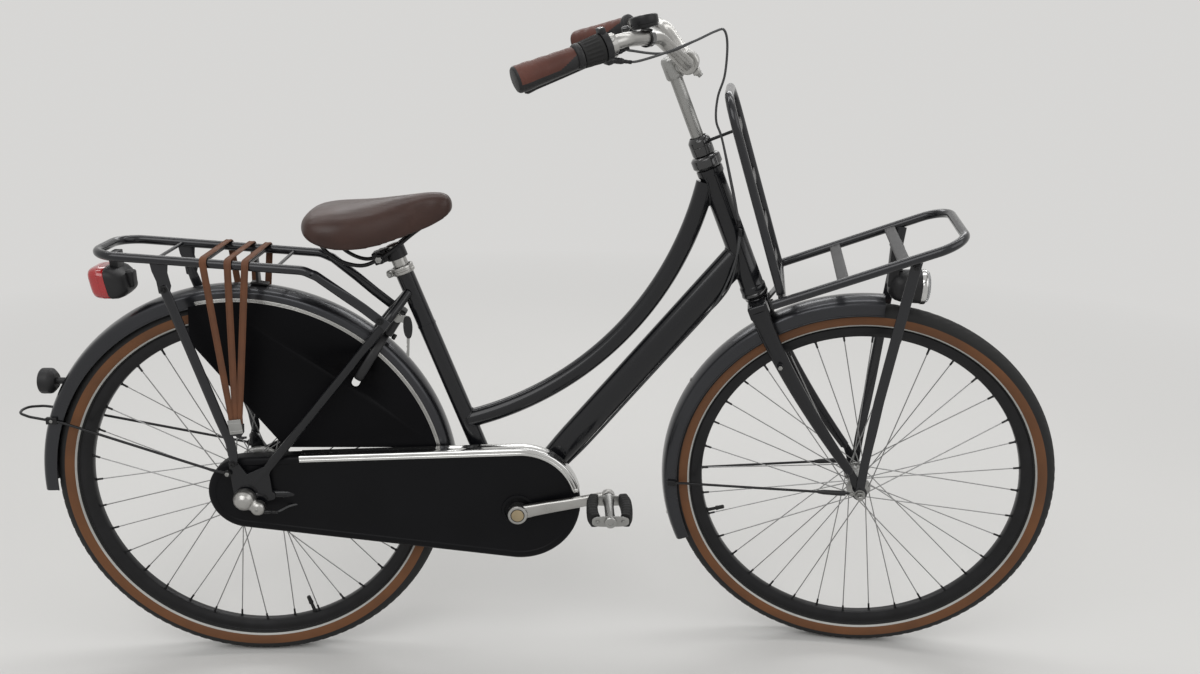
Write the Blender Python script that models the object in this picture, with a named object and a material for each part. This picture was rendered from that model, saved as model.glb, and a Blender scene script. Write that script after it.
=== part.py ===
"""Transport bicycle with a low curved frame, front and rear carriers and a closed chain case.

Metres, +Z up, +X to the front wheel, +Y to the bicycle's left. The rear axle starts at x = 0 and
the floor at z = 0; the last step moves the whole part so that its box stands centred on the origin.
Pieces that steer are drawn straight ahead, below an empty on the steering axis that is turned to rest.
"""

import math

import bmesh
import bpy
from mathutils import Matrix, Vector

# Clearances
GAP = 0.0003
RUNNING_GAP = 0.001

# Wheels: 28 inch, tyre 47-622
BEAD_R = 0.311
TYRE_HEIGHT = 0.047
TYRE_WIDTH = 0.047
TYRE_WALL = 0.0028
RIM_DEPTH = 0.0205
RIM_WIDTH = 0.0264
RIM_WALL = 0.0016
SPOKES = 36
SPOKE_D = 0.0023
SPOKE_CROSS = 3
VALVE_L = 0.045
VALVE_R = 0.0032
WHEEL_SIDES = 36

# Layout: places are drawn for a wheel of 0.358 m radius and grow or shrink with it
WHEEL_R = BEAD_R + TYRE_HEIGHT
DRAWN_WHEEL_R = 0.358
SCALE = WHEEL_R / DRAWN_WHEEL_R
WHEELBASE = 1.143 * SCALE
BB_X = 0.495 * SCALE
BB_Z = 0.322 * SCALE
HEAD_ANGLE = math.radians(67.5)
FORK_RAKE = 0.060 * SCALE
STEER_REST = math.radians(-10.8)
SEAT_ANGLE = math.radians(69.4)
SEAT_TUBE_SETBACK = 0.035 * SCALE
CRANK_REST = math.radians(12.4)

# Frame tubes
HEAD_TUBE_D = 0.043
HEAD_TUBE_BORE = 0.034
HEAD_LOW_Z = 0.729 * SCALE
HEAD_HIGH_Z = 0.950 * SCALE
TOP_TUBE_D = 0.0345
TOP_TUBE_BEND_R = 0.584 * SCALE
TOP_TUBE_HEAD_Z = 0.930 * SCALE
TOP_TUBE_SEAT_Z = 0.480 * SCALE
DOWN_TUBE_HIGH = 0.054
DOWN_TUBE_WIDE = 0.038
DOWN_TUBE_HEAD_Z = 0.797 * SCALE
SEAT_TUBE_D = 0.0325
SEAT_TUBE_BORE = 0.0276
SEAT_TUBE_TOP_Z = 0.772 * SCALE
SEAT_TUBE_BORE_L = 0.24
SEAM_Z = 0.662 * SCALE
BB_SHELL_D = 0.042
BB_SHELL_W = 0.068
BB_BORE = 0.0345
SEAT_STAY_D = 0.016
SEAT_STAY_TOP_Z = 0.730 * SCALE
CHAIN_STAY_D = 0.016
DROPOUT_T = 0.006
REAR_OLD = 0.127

# Fork and headset
FRONT_OLD = 0.100
STEERER_D = 0.0286
CROWN_Z = 0.7046 * SCALE
CROWN_W = 0.106
BLADE_TOP = (0.034, 0.020)
BLADE_TIP = (0.017, 0.013)
BLADE_TOP_Y = 0.046
CUP_LOW_D = 0.047
CUP_LOW_H = 0.012
CUP_HIGH_D = 0.053
CUP_HIGH_H = 0.024
LOCK_NUT_D = 0.040
LOCK_NUT_H = 0.034

# Stem and handlebar
QUILL_D = 0.0222
QUILL_L = 0.215
STEM_HEAD_Z = 1.118 * SCALE
STEM_REACH = 0.028
STEM_CLAMP_D = 0.038
STEM_CLAMP_W = 0.036
BAR_D = 0.0222
BAR_CLAMP_D = 0.0254
GRIP_L = 0.125
GRIP_D = 0.034
SHIFTER_L = 0.052
SHIFTER_D = 0.044

# Fenders
FENDER_REAR_GAP = 0.024
FENDER_FRONT_GAP = 0.017
FENDER_REAR_R = WHEEL_R + FENDER_REAR_GAP
FENDER_FRONT_R = WHEEL_R + FENDER_FRONT_GAP
FENDER_W = 0.059
FENDER_DEPTH = 0.030
FENDER_T = 0.0015
FENDER_WIRE_D = 0.005

# Carriers
RACK_TUBE_D = 0.016
RACK_HALF_W = 0.070
RACK_REAR_X = -0.222 * SCALE
RACK_TOP_Z = 0.806 * SCALE
RACK_SLOPE = math.radians(-4.2)
RACK_BEND_X = 0.138 * SCALE
CARRIER_HALF_W = 0.112
CARRIER_BACK_X = WHEELBASE - 0.188 * SCALE
CARRIER_BACK_Z = 0.741 * SCALE
CARRIER_SLOPE = math.radians(22.2)
CARRIER_L = 0.335 * SCALE
UPRIGHT_HALF_W = 0.092
UPRIGHT_TOP_Z = 1.083 * SCALE
UPRIGHT_TOP_X = WHEELBASE - 0.281 * SCALE
UPRIGHT_FOOT_X = WHEELBASE - 0.171 * SCALE

# Drive
TEETH_RING = 38
TEETH_SPROCKET = 18
CHAIN_PITCH = 0.0127
CHAIN_LINE = 0.0445
CHAIN_W = 0.008
CRANK_L = 0.170
CRANK_T = 0.014
CRANK_FACE_Y = 0.0725
CASE_REAR_R = 0.070
CASE_FRONT_R = 0.111
CASE_FACE_Y = 0.0615
CASE_T = 0.002
CASE_INNER_Y = 0.0325
CASE_FRONT_SHIFT = (0.005, 0.010)

# Saddle post
POST_D = 0.0270
POST_L = 0.250
POST_TOP_Z = 0.812 * SCALE

# Ring lock
LOCK_ANGLE = math.radians(45.0)
LOCK_FOOT_R = 0.2838 * SCALE
LOCK_TILT = math.radians(57.5)
LOCK_RING_R = 0.0550
LOCK_BAR_D = 0.0085
LOCK_WALL = 0.0022
LOCK_THICK = 0.016

REAR_AXLE = Vector((0.0, 0.0, WHEEL_R))
FRONT_AXLE = Vector((WHEELBASE, 0.0, WHEEL_R))
BB = Vector((BB_X, 0.0, BB_Z))
STEER_UP = Vector((-math.cos(HEAD_ANGLE), 0.0, math.sin(HEAD_ANGLE)))
STEER_FORE = Vector((math.sin(HEAD_ANGLE), 0.0, math.cos(HEAD_ANGLE)))
STEER_FOOT = FRONT_AXLE - FORK_RAKE * STEER_FORE
SEAT_UP = Vector((-math.cos(SEAT_ANGLE), 0.0, math.sin(SEAT_ANGLE)))
SEAT_FOOT = BB - Vector((SEAT_TUBE_SETBACK, 0.0, 0.0))
X_AXIS = Vector((1.0, 0.0, 0.0))
Y_AXIS = Vector((0.0, 1.0, 0.0))
Z_AXIS = Vector((0.0, 0.0, 1.0))


# Scene and materials

def clear_scene():
    for obj in list(bpy.data.objects):
        bpy.data.objects.remove(obj, do_unlink=True)


def new_material(name, colour, roughness, metallic):
    material = bpy.data.materials.new(name)
    material.use_nodes = True
    shader = material.node_tree.nodes["Principled BSDF"]
    shader.inputs["Base Color"].default_value = (*colour, 1.0)
    shader.inputs["Roughness"].default_value = roughness
    shader.inputs["Metallic"].default_value = metallic
    return material


# Points and outlines

def rear_at(x, y, z):
    """A drawn place of the frame, fitted to the wheel size."""
    return Vector((x * SCALE, y, z * SCALE))


def front_at(x, y, z):
    """A drawn place at x from the front axle, fitted to the wheel size."""
    return Vector((WHEELBASE + x * SCALE, y, z * SCALE))


def fitted(outline):
    """A drawn outline of (x, z) pairs, fitted to the wheel size."""
    return [(x * SCALE, z * SCALE) for x, z in outline]


def steer_at(z):
    """The point of the steering axis at a height."""
    return STEER_FOOT + STEER_UP * ((z - STEER_FOOT.z) / STEER_UP.z)


def seat_at(z):
    """The point of the seat tube's axis at a height."""
    return SEAT_FOOT + SEAT_UP * ((z - SEAT_FOOT.z) / SEAT_UP.z)


def mirrored(point):
    return Vector((point.x, -point.y, point.z))


def circle(radius_a, radius_b, sides, turn=0.0):
    step = 2.0 * math.pi / sides
    return [(radius_a * math.cos(turn + i * step), radius_b * math.sin(turn + i * step))
            for i in range(sides)]


def box_section(width, height):
    return [(-width / 2, -height / 2), (width / 2, -height / 2),
            (width / 2, height / 2), (-width / 2, height / 2)]


def arc(centre, radius, start, end, steps):
    """Points of an arc in a plane, angles in radians, both ends included."""
    return [(centre[0] + radius * math.cos(start + (end - start) * i / steps),
             centre[1] + radius * math.sin(start + (end - start) * i / steps))
            for i in range(steps + 1)]


def tangent_loop(c0, r0, c1, r1, steps):
    """The outline of a belt round two circles, counter-clockwise, starting below the first."""
    dx, dz = c1[0] - c0[0], c1[1] - c0[1]
    along = math.atan2(dz, dx)
    spread = math.acos((r0 - r1) / math.hypot(dx, dz))
    first = arc(c0, r0, along + spread, along + 2 * math.pi - spread, steps)
    second = arc(c1, r1, along - spread, along + spread, steps)
    return first + second


def rounded_path(points, radius, steps=4):
    """A polyline of vectors with its inner corners turned into arcs."""
    result = [points[0]]
    for before, corner, after in zip(points, points[1:], points[2:]):
        into = (before - corner).normalized()
        out = (after - corner).normalized()
        half = into.angle(out) / 2
        reach = min(radius / math.tan(half), (before - corner).length * 0.49,
                    (after - corner).length * 0.49)
        start = corner + into * reach
        end = corner + out * reach
        bend = reach * math.tan(half)
        centre = corner + (into + out).normalized() * (bend / math.sin(half))
        turn = math.pi - 2 * half
        for i in range(steps + 1):
            share = i / steps
            a = math.sin((1 - share) * turn) / math.sin(turn)
            b = math.sin(share * turn) / math.sin(turn)
            result.append(centre + (start - centre) * a + (end - centre) * b)
    result.append(points[-1])
    return result


def smooth_path(points, steps):
    """A Catmull-Rom curve through the points."""
    padded = [2 * points[0] - points[1]] + list(points) + [2 * points[-1] - points[-2]]
    result = []
    for p0, p1, p2, p3 in zip(padded, padded[1:], padded[2:], padded[3:]):
        for i in range(steps):
            t = i / steps
            result.append(0.5 * (2 * p1 + (p2 - p0) * t + (2 * p0 - 5 * p1 + 4 * p2 - p3) * t * t
                                 + (3 * p1 - p0 - 3 * p2 + p3) * t * t * t))
    result.append(points[-1].copy())
    return result


def hole_radius(radius, gap, sides):
    """The corner radius of a faceted hole that clears a round piece by a gap."""
    return (radius + gap) / math.cos(math.pi / sides)


# Solids

def new_object(name, verts, faces):
    mesh = bpy.data.meshes.new(name)
    mesh.from_pydata([tuple(v) for v in verts], [], faces)
    work = bmesh.new()
    work.from_mesh(mesh)
    bmesh.ops.recalc_face_normals(work, faces=work.faces)
    work.to_mesh(mesh)
    work.free()
    obj = bpy.data.objects.new(name, mesh)
    bpy.context.scene.collection.objects.link(obj)
    return obj


def loft(name, rings, closed=False):
    """A solid through rings of equal count, with flat caps unless it closes on itself."""
    count = len(rings[0])
    verts = [point for ring in rings for point in ring]
    faces = []
    spans = len(rings) if closed else len(rings) - 1
    for i in range(spans):
        j = (i + 1) % len(rings)
        for k in range(count):
            m = (k + 1) % count
            faces.append((i * count + k, i * count + m, j * count + m, j * count + k))
    if not closed:
        faces.append(tuple(range(count)))
        faces.append(tuple(range(len(verts) - count, len(verts))))
    return new_object(name, verts, faces)


def sweep(name, path, section, side=None, closed=False, scales=None):
    """Carry a section of (side, up) pairs along a path. A fixed side keeps it from twisting."""
    count = len(path)
    rings = []
    lateral = side
    for i, point in enumerate(path):
        before = path[i - 1] if (i > 0 or closed) else point
        after = path[(i + 1) % count] if (i < count - 1 or closed) else point
        into = (point - before).normalized() if i > 0 or closed else (after - point).normalized()
        out = (after - point).normalized() if i < count - 1 or closed else into
        tangent = (into + out).normalized()
        if side is None:
            if lateral is None:
                guide = Z_AXIS if abs(tangent.z) < 0.9 else X_AXIS
                lateral = tangent.cross(guide).normalized()
            lateral = (lateral - tangent * lateral.dot(tangent)).normalized()
            across = lateral
        else:
            across = (side - tangent * side.dot(tangent)).normalized()
        up = across.cross(tangent)
        scale = scales[i] if scales else 1.0
        sa, sb = scale if isinstance(scale, tuple) else (scale, scale)
        rings.append([point + across * (a * sa) + up * (b * sb) for a, b in section])
    return loft(name, rings, closed)


def tube(name, path, diameter, sides=8, side=None, closed=False, scales=None):
    return sweep(name, path, circle(diameter / 2, diameter / 2, sides, math.pi / sides), side, closed,
                 scales)


def basis(axis):
    """Two directions square to an axis."""
    guide = X_AXIS if abs(axis.normalized().x) < 0.9 else Z_AXIS
    first = (guide - axis * guide.dot(axis) / axis.length_squared).normalized()
    return first, axis.normalized().cross(first)


def rod(name, centre, axis, stations, sides, turn=0.0):
    """A solid of revolution from (distance along, radius) stations."""
    first, second = basis(axis)
    along = axis.normalized()
    rings = []
    for distance, radius in stations:
        rings.append([centre + along * distance + first * a + second * b
                      for a, b in circle(radius, radius, sides, turn)])
    return loft(name, rings)


def turned_ring(name, centre, axis, profile, sides, turn=0.0):
    """A ring of revolution from a closed profile of (distance along, radius) points."""
    first, second = basis(axis)
    along = axis.normalized()
    rings = []
    for i in range(sides):
        angle = turn + 2 * math.pi * i / sides
        radial = first * math.cos(angle) + second * math.sin(angle)
        rings.append([centre + along * a + radial * r for a, r in profile])
    return loft(name, rings, closed=True)


def plate(name, outline, low, high, origin=None, u=None, v=None):
    """A flat outline of (u, v) pairs made thick along u x v; by default x and z, thick along -y."""
    origin = origin or Vector((0.0, 0.0, 0.0))
    u = u or X_AXIS
    v = v or Z_AXIS
    normal = u.cross(v)
    rings = [[origin + u * a + v * b + normal * level for a, b in outline] for level in (low, high)]
    return loft(name, rings)


def block(name, centre, size, u=None, v=None):
    """A box by its centre and its size along u, v and u x v."""
    outline = box_section(size[0], size[1])
    return plate(name, outline, -size[2] / 2, size[2] / 2, centre, u or X_AXIS, v or Y_AXIS)


def apply_boolean(base, others, operation):
    for other in others:
        modifier = base.modifiers.new(operation, "BOOLEAN")
        modifier.operation = operation
        modifier.solver = "EXACT"
        modifier.object = other
    graph = bpy.context.evaluated_depsgraph_get()
    mesh = bpy.data.meshes.new_from_object(base.evaluated_get(graph))
    base.modifiers.clear()
    base.data = mesh
    for other in others:
        bpy.data.objects.remove(other, do_unlink=True)
    return base


def fuse(base, *others):
    return apply_boolean(base, others, "UNION")


def cut(base, *cutters):
    return apply_boolean(base, cutters, "DIFFERENCE")


def finish(obj, name, material, origin, parent=None, smooth=30.0):
    """Name the solid, put its origin where it turns or stands, and give it its material."""
    obj.name = name
    obj.data.name = name
    obj.data.transform(Matrix.Translation(-origin))
    base = parent["straight_origin"] if parent else (0.0, 0.0, 0.0)
    obj.location = origin - Vector(base)
    if parent:
        obj.parent = parent
    obj.data.materials.clear()
    obj.data.materials.append(material)
    obj.data.shade_smooth()
    obj.data.set_sharp_from_angle(angle=math.radians(smooth))
    return obj


# Wheels

WHEEL_TURN = math.pi / WHEEL_SIDES
RIM_TOP_R = BEAD_R + 0.0058
RIM_INNER_R = RIM_TOP_R - RIM_DEPTH
AXLE_D = 0.010
HUB_SIDES = 16


def build_tyre(axle):
    half_bead = RIM_WIDTH / 2 - RIM_WALL - GAP
    half = TYRE_WIDTH / 2
    low = BEAD_R + 0.0008
    middle = BEAD_R + TYRE_HEIGHT * 0.52
    right = [(half_bead, low), (half_bead + 0.0004, RIM_TOP_R + 0.0006), (half, middle),
             (half * 0.74, WHEEL_R - 0.0075)]
    inner = [(half_bead - TYRE_WALL, low), (half - TYRE_WALL, middle), (half * 0.45, WHEEL_R - 0.0070)]
    profile = right + [(0.0, WHEEL_R)] + [(-a, r) for a, r in reversed(right)]
    profile += [(-a, r) for a, r in inner] + list(reversed(inner))
    return turned_ring("tyre", axle, Y_AXIS, profile, WHEEL_SIDES, WHEEL_TURN)


def build_rim(axle, valve_angle):
    half = RIM_WIDTH / 2
    lip = half - RIM_WALL
    shoulder = RIM_INNER_R + RIM_DEPTH * 0.45
    profile = [(half, RIM_TOP_R), (half, shoulder), (half * 0.55, RIM_INNER_R),
               (-half * 0.55, RIM_INNER_R), (-half, shoulder), (-half, RIM_TOP_R),
               (-lip, BEAD_R), (lip, BEAD_R)]
    rim = turned_ring("rim", axle, Y_AXIS, profile, WHEEL_SIDES, WHEEL_TURN)
    inward = Vector((-math.cos(valve_angle), 0.0, -math.sin(valve_angle)))
    top = axle - inward * (BEAD_R - 0.004)
    stations = [(0.0, VALVE_R), (VALVE_L - 0.014, VALVE_R), (VALVE_L - 0.014, VALVE_R * 1.3),
                (VALVE_L, VALVE_R * 1.2)]
    return fuse(rim, rod("valve", top, inward, stations, 6))


def spoke_path(axle, index, flanges):
    """A spoke from its flange hole to its nipple, crossing three others of its own side."""
    side = -1 if index % 2 else 1
    leading = (index // 2) % 2
    flange_y, flange_r, flange_t = flanges[side]
    rim_angle = 2 * math.pi * index / SPOKES
    lean = 2 * math.pi * SPOKE_CROSS / (SPOKES / 2)
    hub_angle = rim_angle - lean if leading else rim_angle + lean
    reach = flange_r - 0.0035
    shift = (flange_t / 2 + SPOKE_D * 0.15) * (1 if leading else -1)
    hub = Vector((reach * math.cos(hub_angle), side * (flange_y + shift), reach * math.sin(hub_angle)))
    end_r = RIM_INNER_R * math.cos(math.pi / WHEEL_SIDES) - GAP
    rim = Vector((end_r * math.cos(rim_angle), side * RIM_WIDTH * 0.13, end_r * math.sin(rim_angle)))
    return [axle + hub, axle + rim]


def build_hub(axle, flanges, body_r, half_w):
    """A hub shell with two flanges and all its spokes as one piece."""
    bore = hole_radius(AXLE_D / 2, GAP, HUB_SIDES)
    profile = [(-half_w, bore), (-half_w, bore + 0.0045)]
    for side in (-1, 1):
        y, r, t = flanges[side]
        y *= side
        edges = [(y - t / 2, body_r), (y - t / 2, r), (y + t / 2, r), (y + t / 2, body_r)]
        profile += edges
    profile += [(half_w, bore + 0.0045), (half_w, bore)]
    hub = turned_ring("hub", axle, Y_AXIS, profile, HUB_SIDES)
    spokes = [tube("spoke", spoke_path(axle, i, flanges), SPOKE_D, 3) for i in range(SPOKES)]
    return fuse(hub, *spokes)


FRONT_FLANGE = (0.0290, 0.0225, 0.0030)
FRONT_HUB_BODY_R = 0.0140
FRONT_HUB_HALF_W = 0.0360
REAR_FLANGE = (0.0275, 0.0370, 0.0034)
REAR_HUB_BODY_R = 0.0290
REAR_HUB_HALF_W = 0.0330


def build_front_wheel(steering, mats):
    flanges = {1: FRONT_FLANGE, -1: FRONT_FLANGE}
    finish(build_tyre(FRONT_AXLE), "front_tyre", mats["tyre"], FRONT_AXLE, steering)
    finish(build_rim(FRONT_AXLE, math.radians(-162)), "front_rim", mats["rim"], FRONT_AXLE, steering)
    hub = build_hub(FRONT_AXLE, flanges, FRONT_HUB_BODY_R, FRONT_HUB_HALF_W)
    finish(hub, "front_hub_with_spokes", mats["alloy"], FRONT_AXLE, steering)


def build_rear_wheel(mats):
    flanges = {1: REAR_FLANGE, -1: REAR_FLANGE}
    finish(build_tyre(REAR_AXLE), "rear_tyre", mats["tyre"], REAR_AXLE)
    finish(build_rim(REAR_AXLE, math.radians(-72)), "rear_rim", mats["rim"], REAR_AXLE)
    hub = build_hub(REAR_AXLE, flanges, REAR_HUB_BODY_R, REAR_HUB_HALF_W)
    finish(hub, "rear_hub_with_spokes", mats["alloy"], REAR_AXLE)


def axle_rod(centre, half_l, old, outer_t, nut_r):
    """An axle with its locknuts inside the ends and its nuts outside them, as one turned piece."""
    r = AXLE_D / 2
    inner = old / 2 - GAP
    outer = old / 2 + outer_t + GAP
    right = [(inner - 0.010, r), (inner - 0.010, r * 1.9), (inner, r * 1.9), (inner, r),
             (outer, r), (outer, nut_r), (outer + 0.0085, nut_r), (outer + 0.0085, r), (half_l, r * 0.9)]
    left = [(-a, radius) for a, radius in reversed(right)]
    return rod("axle", centre, Y_AXIS, left + right, 6, math.pi / 6)


# Frame

STAY_ANGLE = math.atan2(SEAT_STAY_TOP_Z - WHEEL_R, seat_at(SEAT_STAY_TOP_Z).x)
STAY_OUTER_Y = REAR_OLD / 2 + DROPOUT_T / 2
STAY_UP = Vector((math.cos(STAY_ANGLE), 0.0, math.sin(STAY_ANGLE)))
BRIDGE_D = 0.010
BRIDGE_R = FENDER_REAR_R + GAP + BRIDGE_D / 2
CHAIN_STAY_POINTS = [rear_at(*p) for p in ((0.472, 0.0290, 0.326), (0.420, 0.0310, 0.331),
                                           (0.330, 0.0385, 0.338), (0.110, 0.0480, 0.3535),
                                           (0.042, 0.0590, 0.3575), (0.018, 0.0635, 0.358))]


def stay_point(r, y):
    return REAR_AXLE + STAY_UP * r + Y_AXIS * y


def seat_stay_path(side):
    top = seat_at(SEAT_STAY_TOP_Z)
    stations = [(0.030, STAY_OUTER_Y), (0.100, STAY_OUTER_Y), (0.145, 0.0650), (0.300, 0.0560),
                (0.390, 0.0505), (0.425, 0.0490), (0.452, 0.0300)]
    path = [stay_point(r * SCALE, side * y) for r, y in stations]
    return path + [Vector((top.x - 0.004, side * 0.013, top.z - 0.003))]


def dropout_outline():
    """The rear end seen from the right: a foot round the axle and two ears for the tubes."""
    ear = REAR_AXLE + STAY_UP * 0.062
    lower = arc((0.0, WHEEL_R), 0.021, math.radians(200), math.radians(300), 3)
    nose = arc((0.046, WHEEL_R - 0.001), 0.0085, math.radians(-80), math.radians(70), 2)
    front_ear = arc((ear.x, ear.z), 0.009, math.radians(-40), math.radians(110), 2)
    rear_ear = arc((-0.016, WHEEL_R + 0.062), 0.009, math.radians(60), math.radians(190), 2)
    return lower + nose + front_ear + [(0.006, WHEEL_R + 0.042)] + rear_ear


def build_dropout(side):
    low, high = REAR_OLD / 2, REAR_OLD / 2 + DROPOUT_T
    levels = (low, high) if side < 0 else (-high, -low)
    outer = plate("dropout", dropout_outline(), *levels)
    slot_r = hole_radius(AXLE_D / 2, GAP, 8)
    slot = arc((0.0, WHEEL_R), slot_r, math.radians(90), math.radians(270), 4)
    slot += [(0.012, WHEEL_R - slot_r), (0.012, WHEEL_R + slot_r)]
    level = -side * (low + DROPOUT_T / 2)
    return cut(outer, plate("slot", slot, level - DROPOUT_T, level + DROPOUT_T))


def top_tube_path():
    head = steer_at(TOP_TUBE_HEAD_Z) - STEER_FORE * 0.014
    seat = seat_at(TOP_TUBE_SEAT_Z)
    chord = head - seat
    across = Vector((-chord.z, 0.0, chord.x)).normalized()
    rise = math.sqrt(TOP_TUBE_BEND_R ** 2 - (chord.length / 2) ** 2)
    centre = (head + seat) / 2 + across * rise
    start = math.atan2(head.z - centre.z, head.x - centre.x)
    end = math.atan2(seat.z - centre.z, seat.x - centre.x)
    return [Vector((x, 0.0, z)) for x, z in arc((centre.x, centre.z), TOP_TUBE_BEND_R, start, end, 12)]


def build_frame(mats):
    head_l = (HEAD_HIGH_Z - HEAD_LOW_Z) / STEER_UP.z
    r = HEAD_TUBE_D / 2
    stations = [(0.0, r + 0.002), (0.010, r + 0.002), (0.014, r), (head_l - 0.014, r),
                (head_l - 0.010, r + 0.002), (head_l, r + 0.002)]
    frame = rod("frame", steer_at(HEAD_LOW_Z), STEER_UP, stations, 16)
    top = tube("top", top_tube_path(), TOP_TUBE_D, 10, Y_AXIS)
    down_foot = BB + Vector((0.004, 0.0, 0.005))
    down_head = steer_at(DOWN_TUBE_HEAD_Z)
    down_path = [down_foot, down_foot.lerp(down_head, 0.22), down_head]
    down = sweep("down", down_path, circle(DOWN_TUBE_WIDE / 2, DOWN_TUBE_HIGH / 2, 12), Y_AXIS,
                 scales=[(1.15, 0.76), (1.0, 0.98), (1.0, 1.0)])
    seat_l = (SEAT_TUBE_TOP_Z - SEAT_FOOT.z) / SEAT_UP.z
    seam = (SEAM_Z - SEAT_FOOT.z) / SEAT_UP.z
    sr = SEAT_TUBE_D / 2
    seat = rod("seat", SEAT_FOOT, SEAT_UP,
               [(-0.004, sr), (seam, sr), (seam, sr + 0.0008), (seam + 0.004, sr + 0.0008),
                (seam + 0.004, sr), (seat_l, sr)], 14)
    shell = rod("shell", BB, Y_AXIS, [(-BB_SHELL_W / 2, BB_SHELL_D / 2), (BB_SHELL_W / 2, BB_SHELL_D / 2)],
                18)
    pieces = [top, down, seat, shell]
    for side in (-1, 1):
        pieces.append(tube("seat_stay", seat_stay_path(side), SEAT_STAY_D, 8, Y_AXIS,
                           scales=[(0.5, 1.0), (0.5, 1.0)] + [1.0] * 6))
        stay = [Vector((x, side * y, z)) for x, y, z in CHAIN_STAY_POINTS]
        pieces.append(tube("chain_stay", stay, CHAIN_STAY_D, 8, Y_AXIS))
        pieces.append(build_dropout(side))
    bridge = stay_point(BRIDGE_R, 0.0)
    pieces.append(rod("bridge", bridge, Y_AXIS, [(-0.050, BRIDGE_D / 2), (0.050, BRIDGE_D / 2)], 8))
    pieces.append(block("stand_plate", rear_at(0.4225, 0.0, 0.329), (0.050, 0.062, 0.006)))
    bracket_y = (STAND_BRACKET_Y[0] + STAND_BRACKET_Y[1]) / 2
    pieces.append(block("bracket", Vector((STAND_PIVOT.x, bracket_y, STAND_PIVOT.z + 0.010)),
                        (0.024, STAND_BRACKET_Y[1] - STAND_BRACKET_Y[0], 0.036)))
    pieces.append(rod("pin", Vector((STAND_PIVOT.x, STAND_BRACKET_Y[1] - 0.002, STAND_PIVOT.z)), Y_AXIS,
                      [(0.0, 0.004), (0.0155, 0.004), (0.0155, 0.007), (0.0175, 0.007)], 8))
    fender_tab_x = FENDER_REAR_R + GAP + 0.0015
    pieces.append(block("fender_tab", Vector((fender_tab_x, 0.0, 0.343 * SCALE)), (0.003, 0.018, 0.040)))
    plate_x = 0.400 * SCALE
    pieces.append(block("tab_foot", Vector(((fender_tab_x + plate_x) / 2, 0.0, 0.329 * SCALE)),
                        (plate_x - fender_tab_x + 0.0028, 0.018, 0.005)))
    fuse(frame, *pieces)
    cut(frame,
        rod("head_bore", steer_at(HEAD_LOW_Z), STEER_UP,
            [(-0.02, HEAD_TUBE_BORE / 2), (head_l + 0.02, HEAD_TUBE_BORE / 2)], 16),
        rod("seat_bore", SEAT_FOOT, SEAT_UP,
            [(seat_l - SEAT_TUBE_BORE_L, SEAT_TUBE_BORE / 2), (seat_l + 0.02, SEAT_TUBE_BORE / 2)], 14),
        rod("shell_bore", BB, Y_AXIS, [(-0.06, BB_BORE / 2), (0.06, BB_BORE / 2)], 18))
    finish(frame, "main_frame", mats["frame"], BB)


def build_head_bearings(steering, mats):
    bore_low = hole_radius(STEERER_D / 2, RUNNING_GAP, 16)
    low_top = steer_at(HEAD_LOW_Z) - STEER_UP * GAP
    low = turned_ring("cup", low_top, -STEER_UP,
                      [(0.0, bore_low), (0.0, CUP_LOW_D / 2), (CUP_LOW_H * 0.4, CUP_LOW_D / 2 + 0.001),
                       (CUP_LOW_H, CUP_LOW_D / 2 - 0.003), (CUP_LOW_H, bore_low)], 16)
    finish(low, "headset_lower_cup", mats["black"], steer_at(HEAD_LOW_Z))
    high_foot = steer_at(HEAD_HIGH_Z) + STEER_UP * GAP
    r = CUP_HIGH_D / 2
    high = turned_ring("cup", high_foot, STEER_UP,
                       [(0.0, bore_low), (0.0, r - 0.005), (0.006, r), (CUP_HIGH_H - 0.004, r),
                        (CUP_HIGH_H, r - 0.005), (CUP_HIGH_H, bore_low)], 16)
    finish(high, "headset_upper_cup", mats["black"], steer_at(HEAD_HIGH_Z))
    nut_foot = steer_at(HEAD_HIGH_Z) + STEER_UP * (GAP + CUP_HIGH_H + RUNNING_GAP)
    bore = hole_radius(STEERER_D / 2, GAP, 16)
    n = LOCK_NUT_D / 2
    nut = turned_ring("nut", nut_foot, STEER_UP,
                      [(0.0, bore), (0.0, n - 0.002), (0.003, n), (LOCK_NUT_H - 0.008, n),
                       (LOCK_NUT_H - 0.001, n - 0.005), (LOCK_NUT_H - 0.001, bore)], 16)
    hook = upright_point(UPRIGHT_BAR_Z[0], 0.0) - UPRIGHT_FORE * (UPRIGHT_BAR_T / 2 + GAP)
    start = nut_foot + STEER_UP * 0.020 + STEER_FORE * (n - 0.003)
    rod_r = 0.0028
    fuse(nut, tube("stay", [start, hook - X_AXIS * rod_r * 0.2], 2 * rod_r, 6))
    finish(nut, "headset_lock_nut", mats["black"], nut_foot, steering)


def build_bottom_bracket(mats):
    bore = hole_radius(0.0085, GAP, 12)
    outer = BB_BORE / 2 * math.cos(math.pi / 18) - GAP
    half = BB_SHELL_W / 2
    unit = turned_ring("unit", BB, Y_AXIS,
                       [(-half - 0.002, bore), (-half - 0.002, outer), (half + 0.002, outer),
                        (half + 0.002, bore)], 12)
    finish(unit, "bottom_bracket_unit", mats["steel"], BB)


def build_rear_axle(mats):
    axle = axle_rod(REAR_AXLE, 0.082, REAR_OLD, DROPOUT_T, 0.0095)
    finish(axle, "rear_axle", mats["steel"], REAR_AXLE)


# Fork and steering column

CROWN_H = 0.026
CROWN_DEEP = 0.036
TIP_T = 0.005
TIP_R = 0.014
CROWN_TOP = steer_at(HEAD_LOW_Z) - STEER_UP * (GAP + CUP_LOW_H + RUNNING_GAP)
NUT_FOOT = steer_at(HEAD_HIGH_Z) + STEER_UP * (GAP + CUP_HIGH_H + RUNNING_GAP)
QUILL_SIDES = 12


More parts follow.
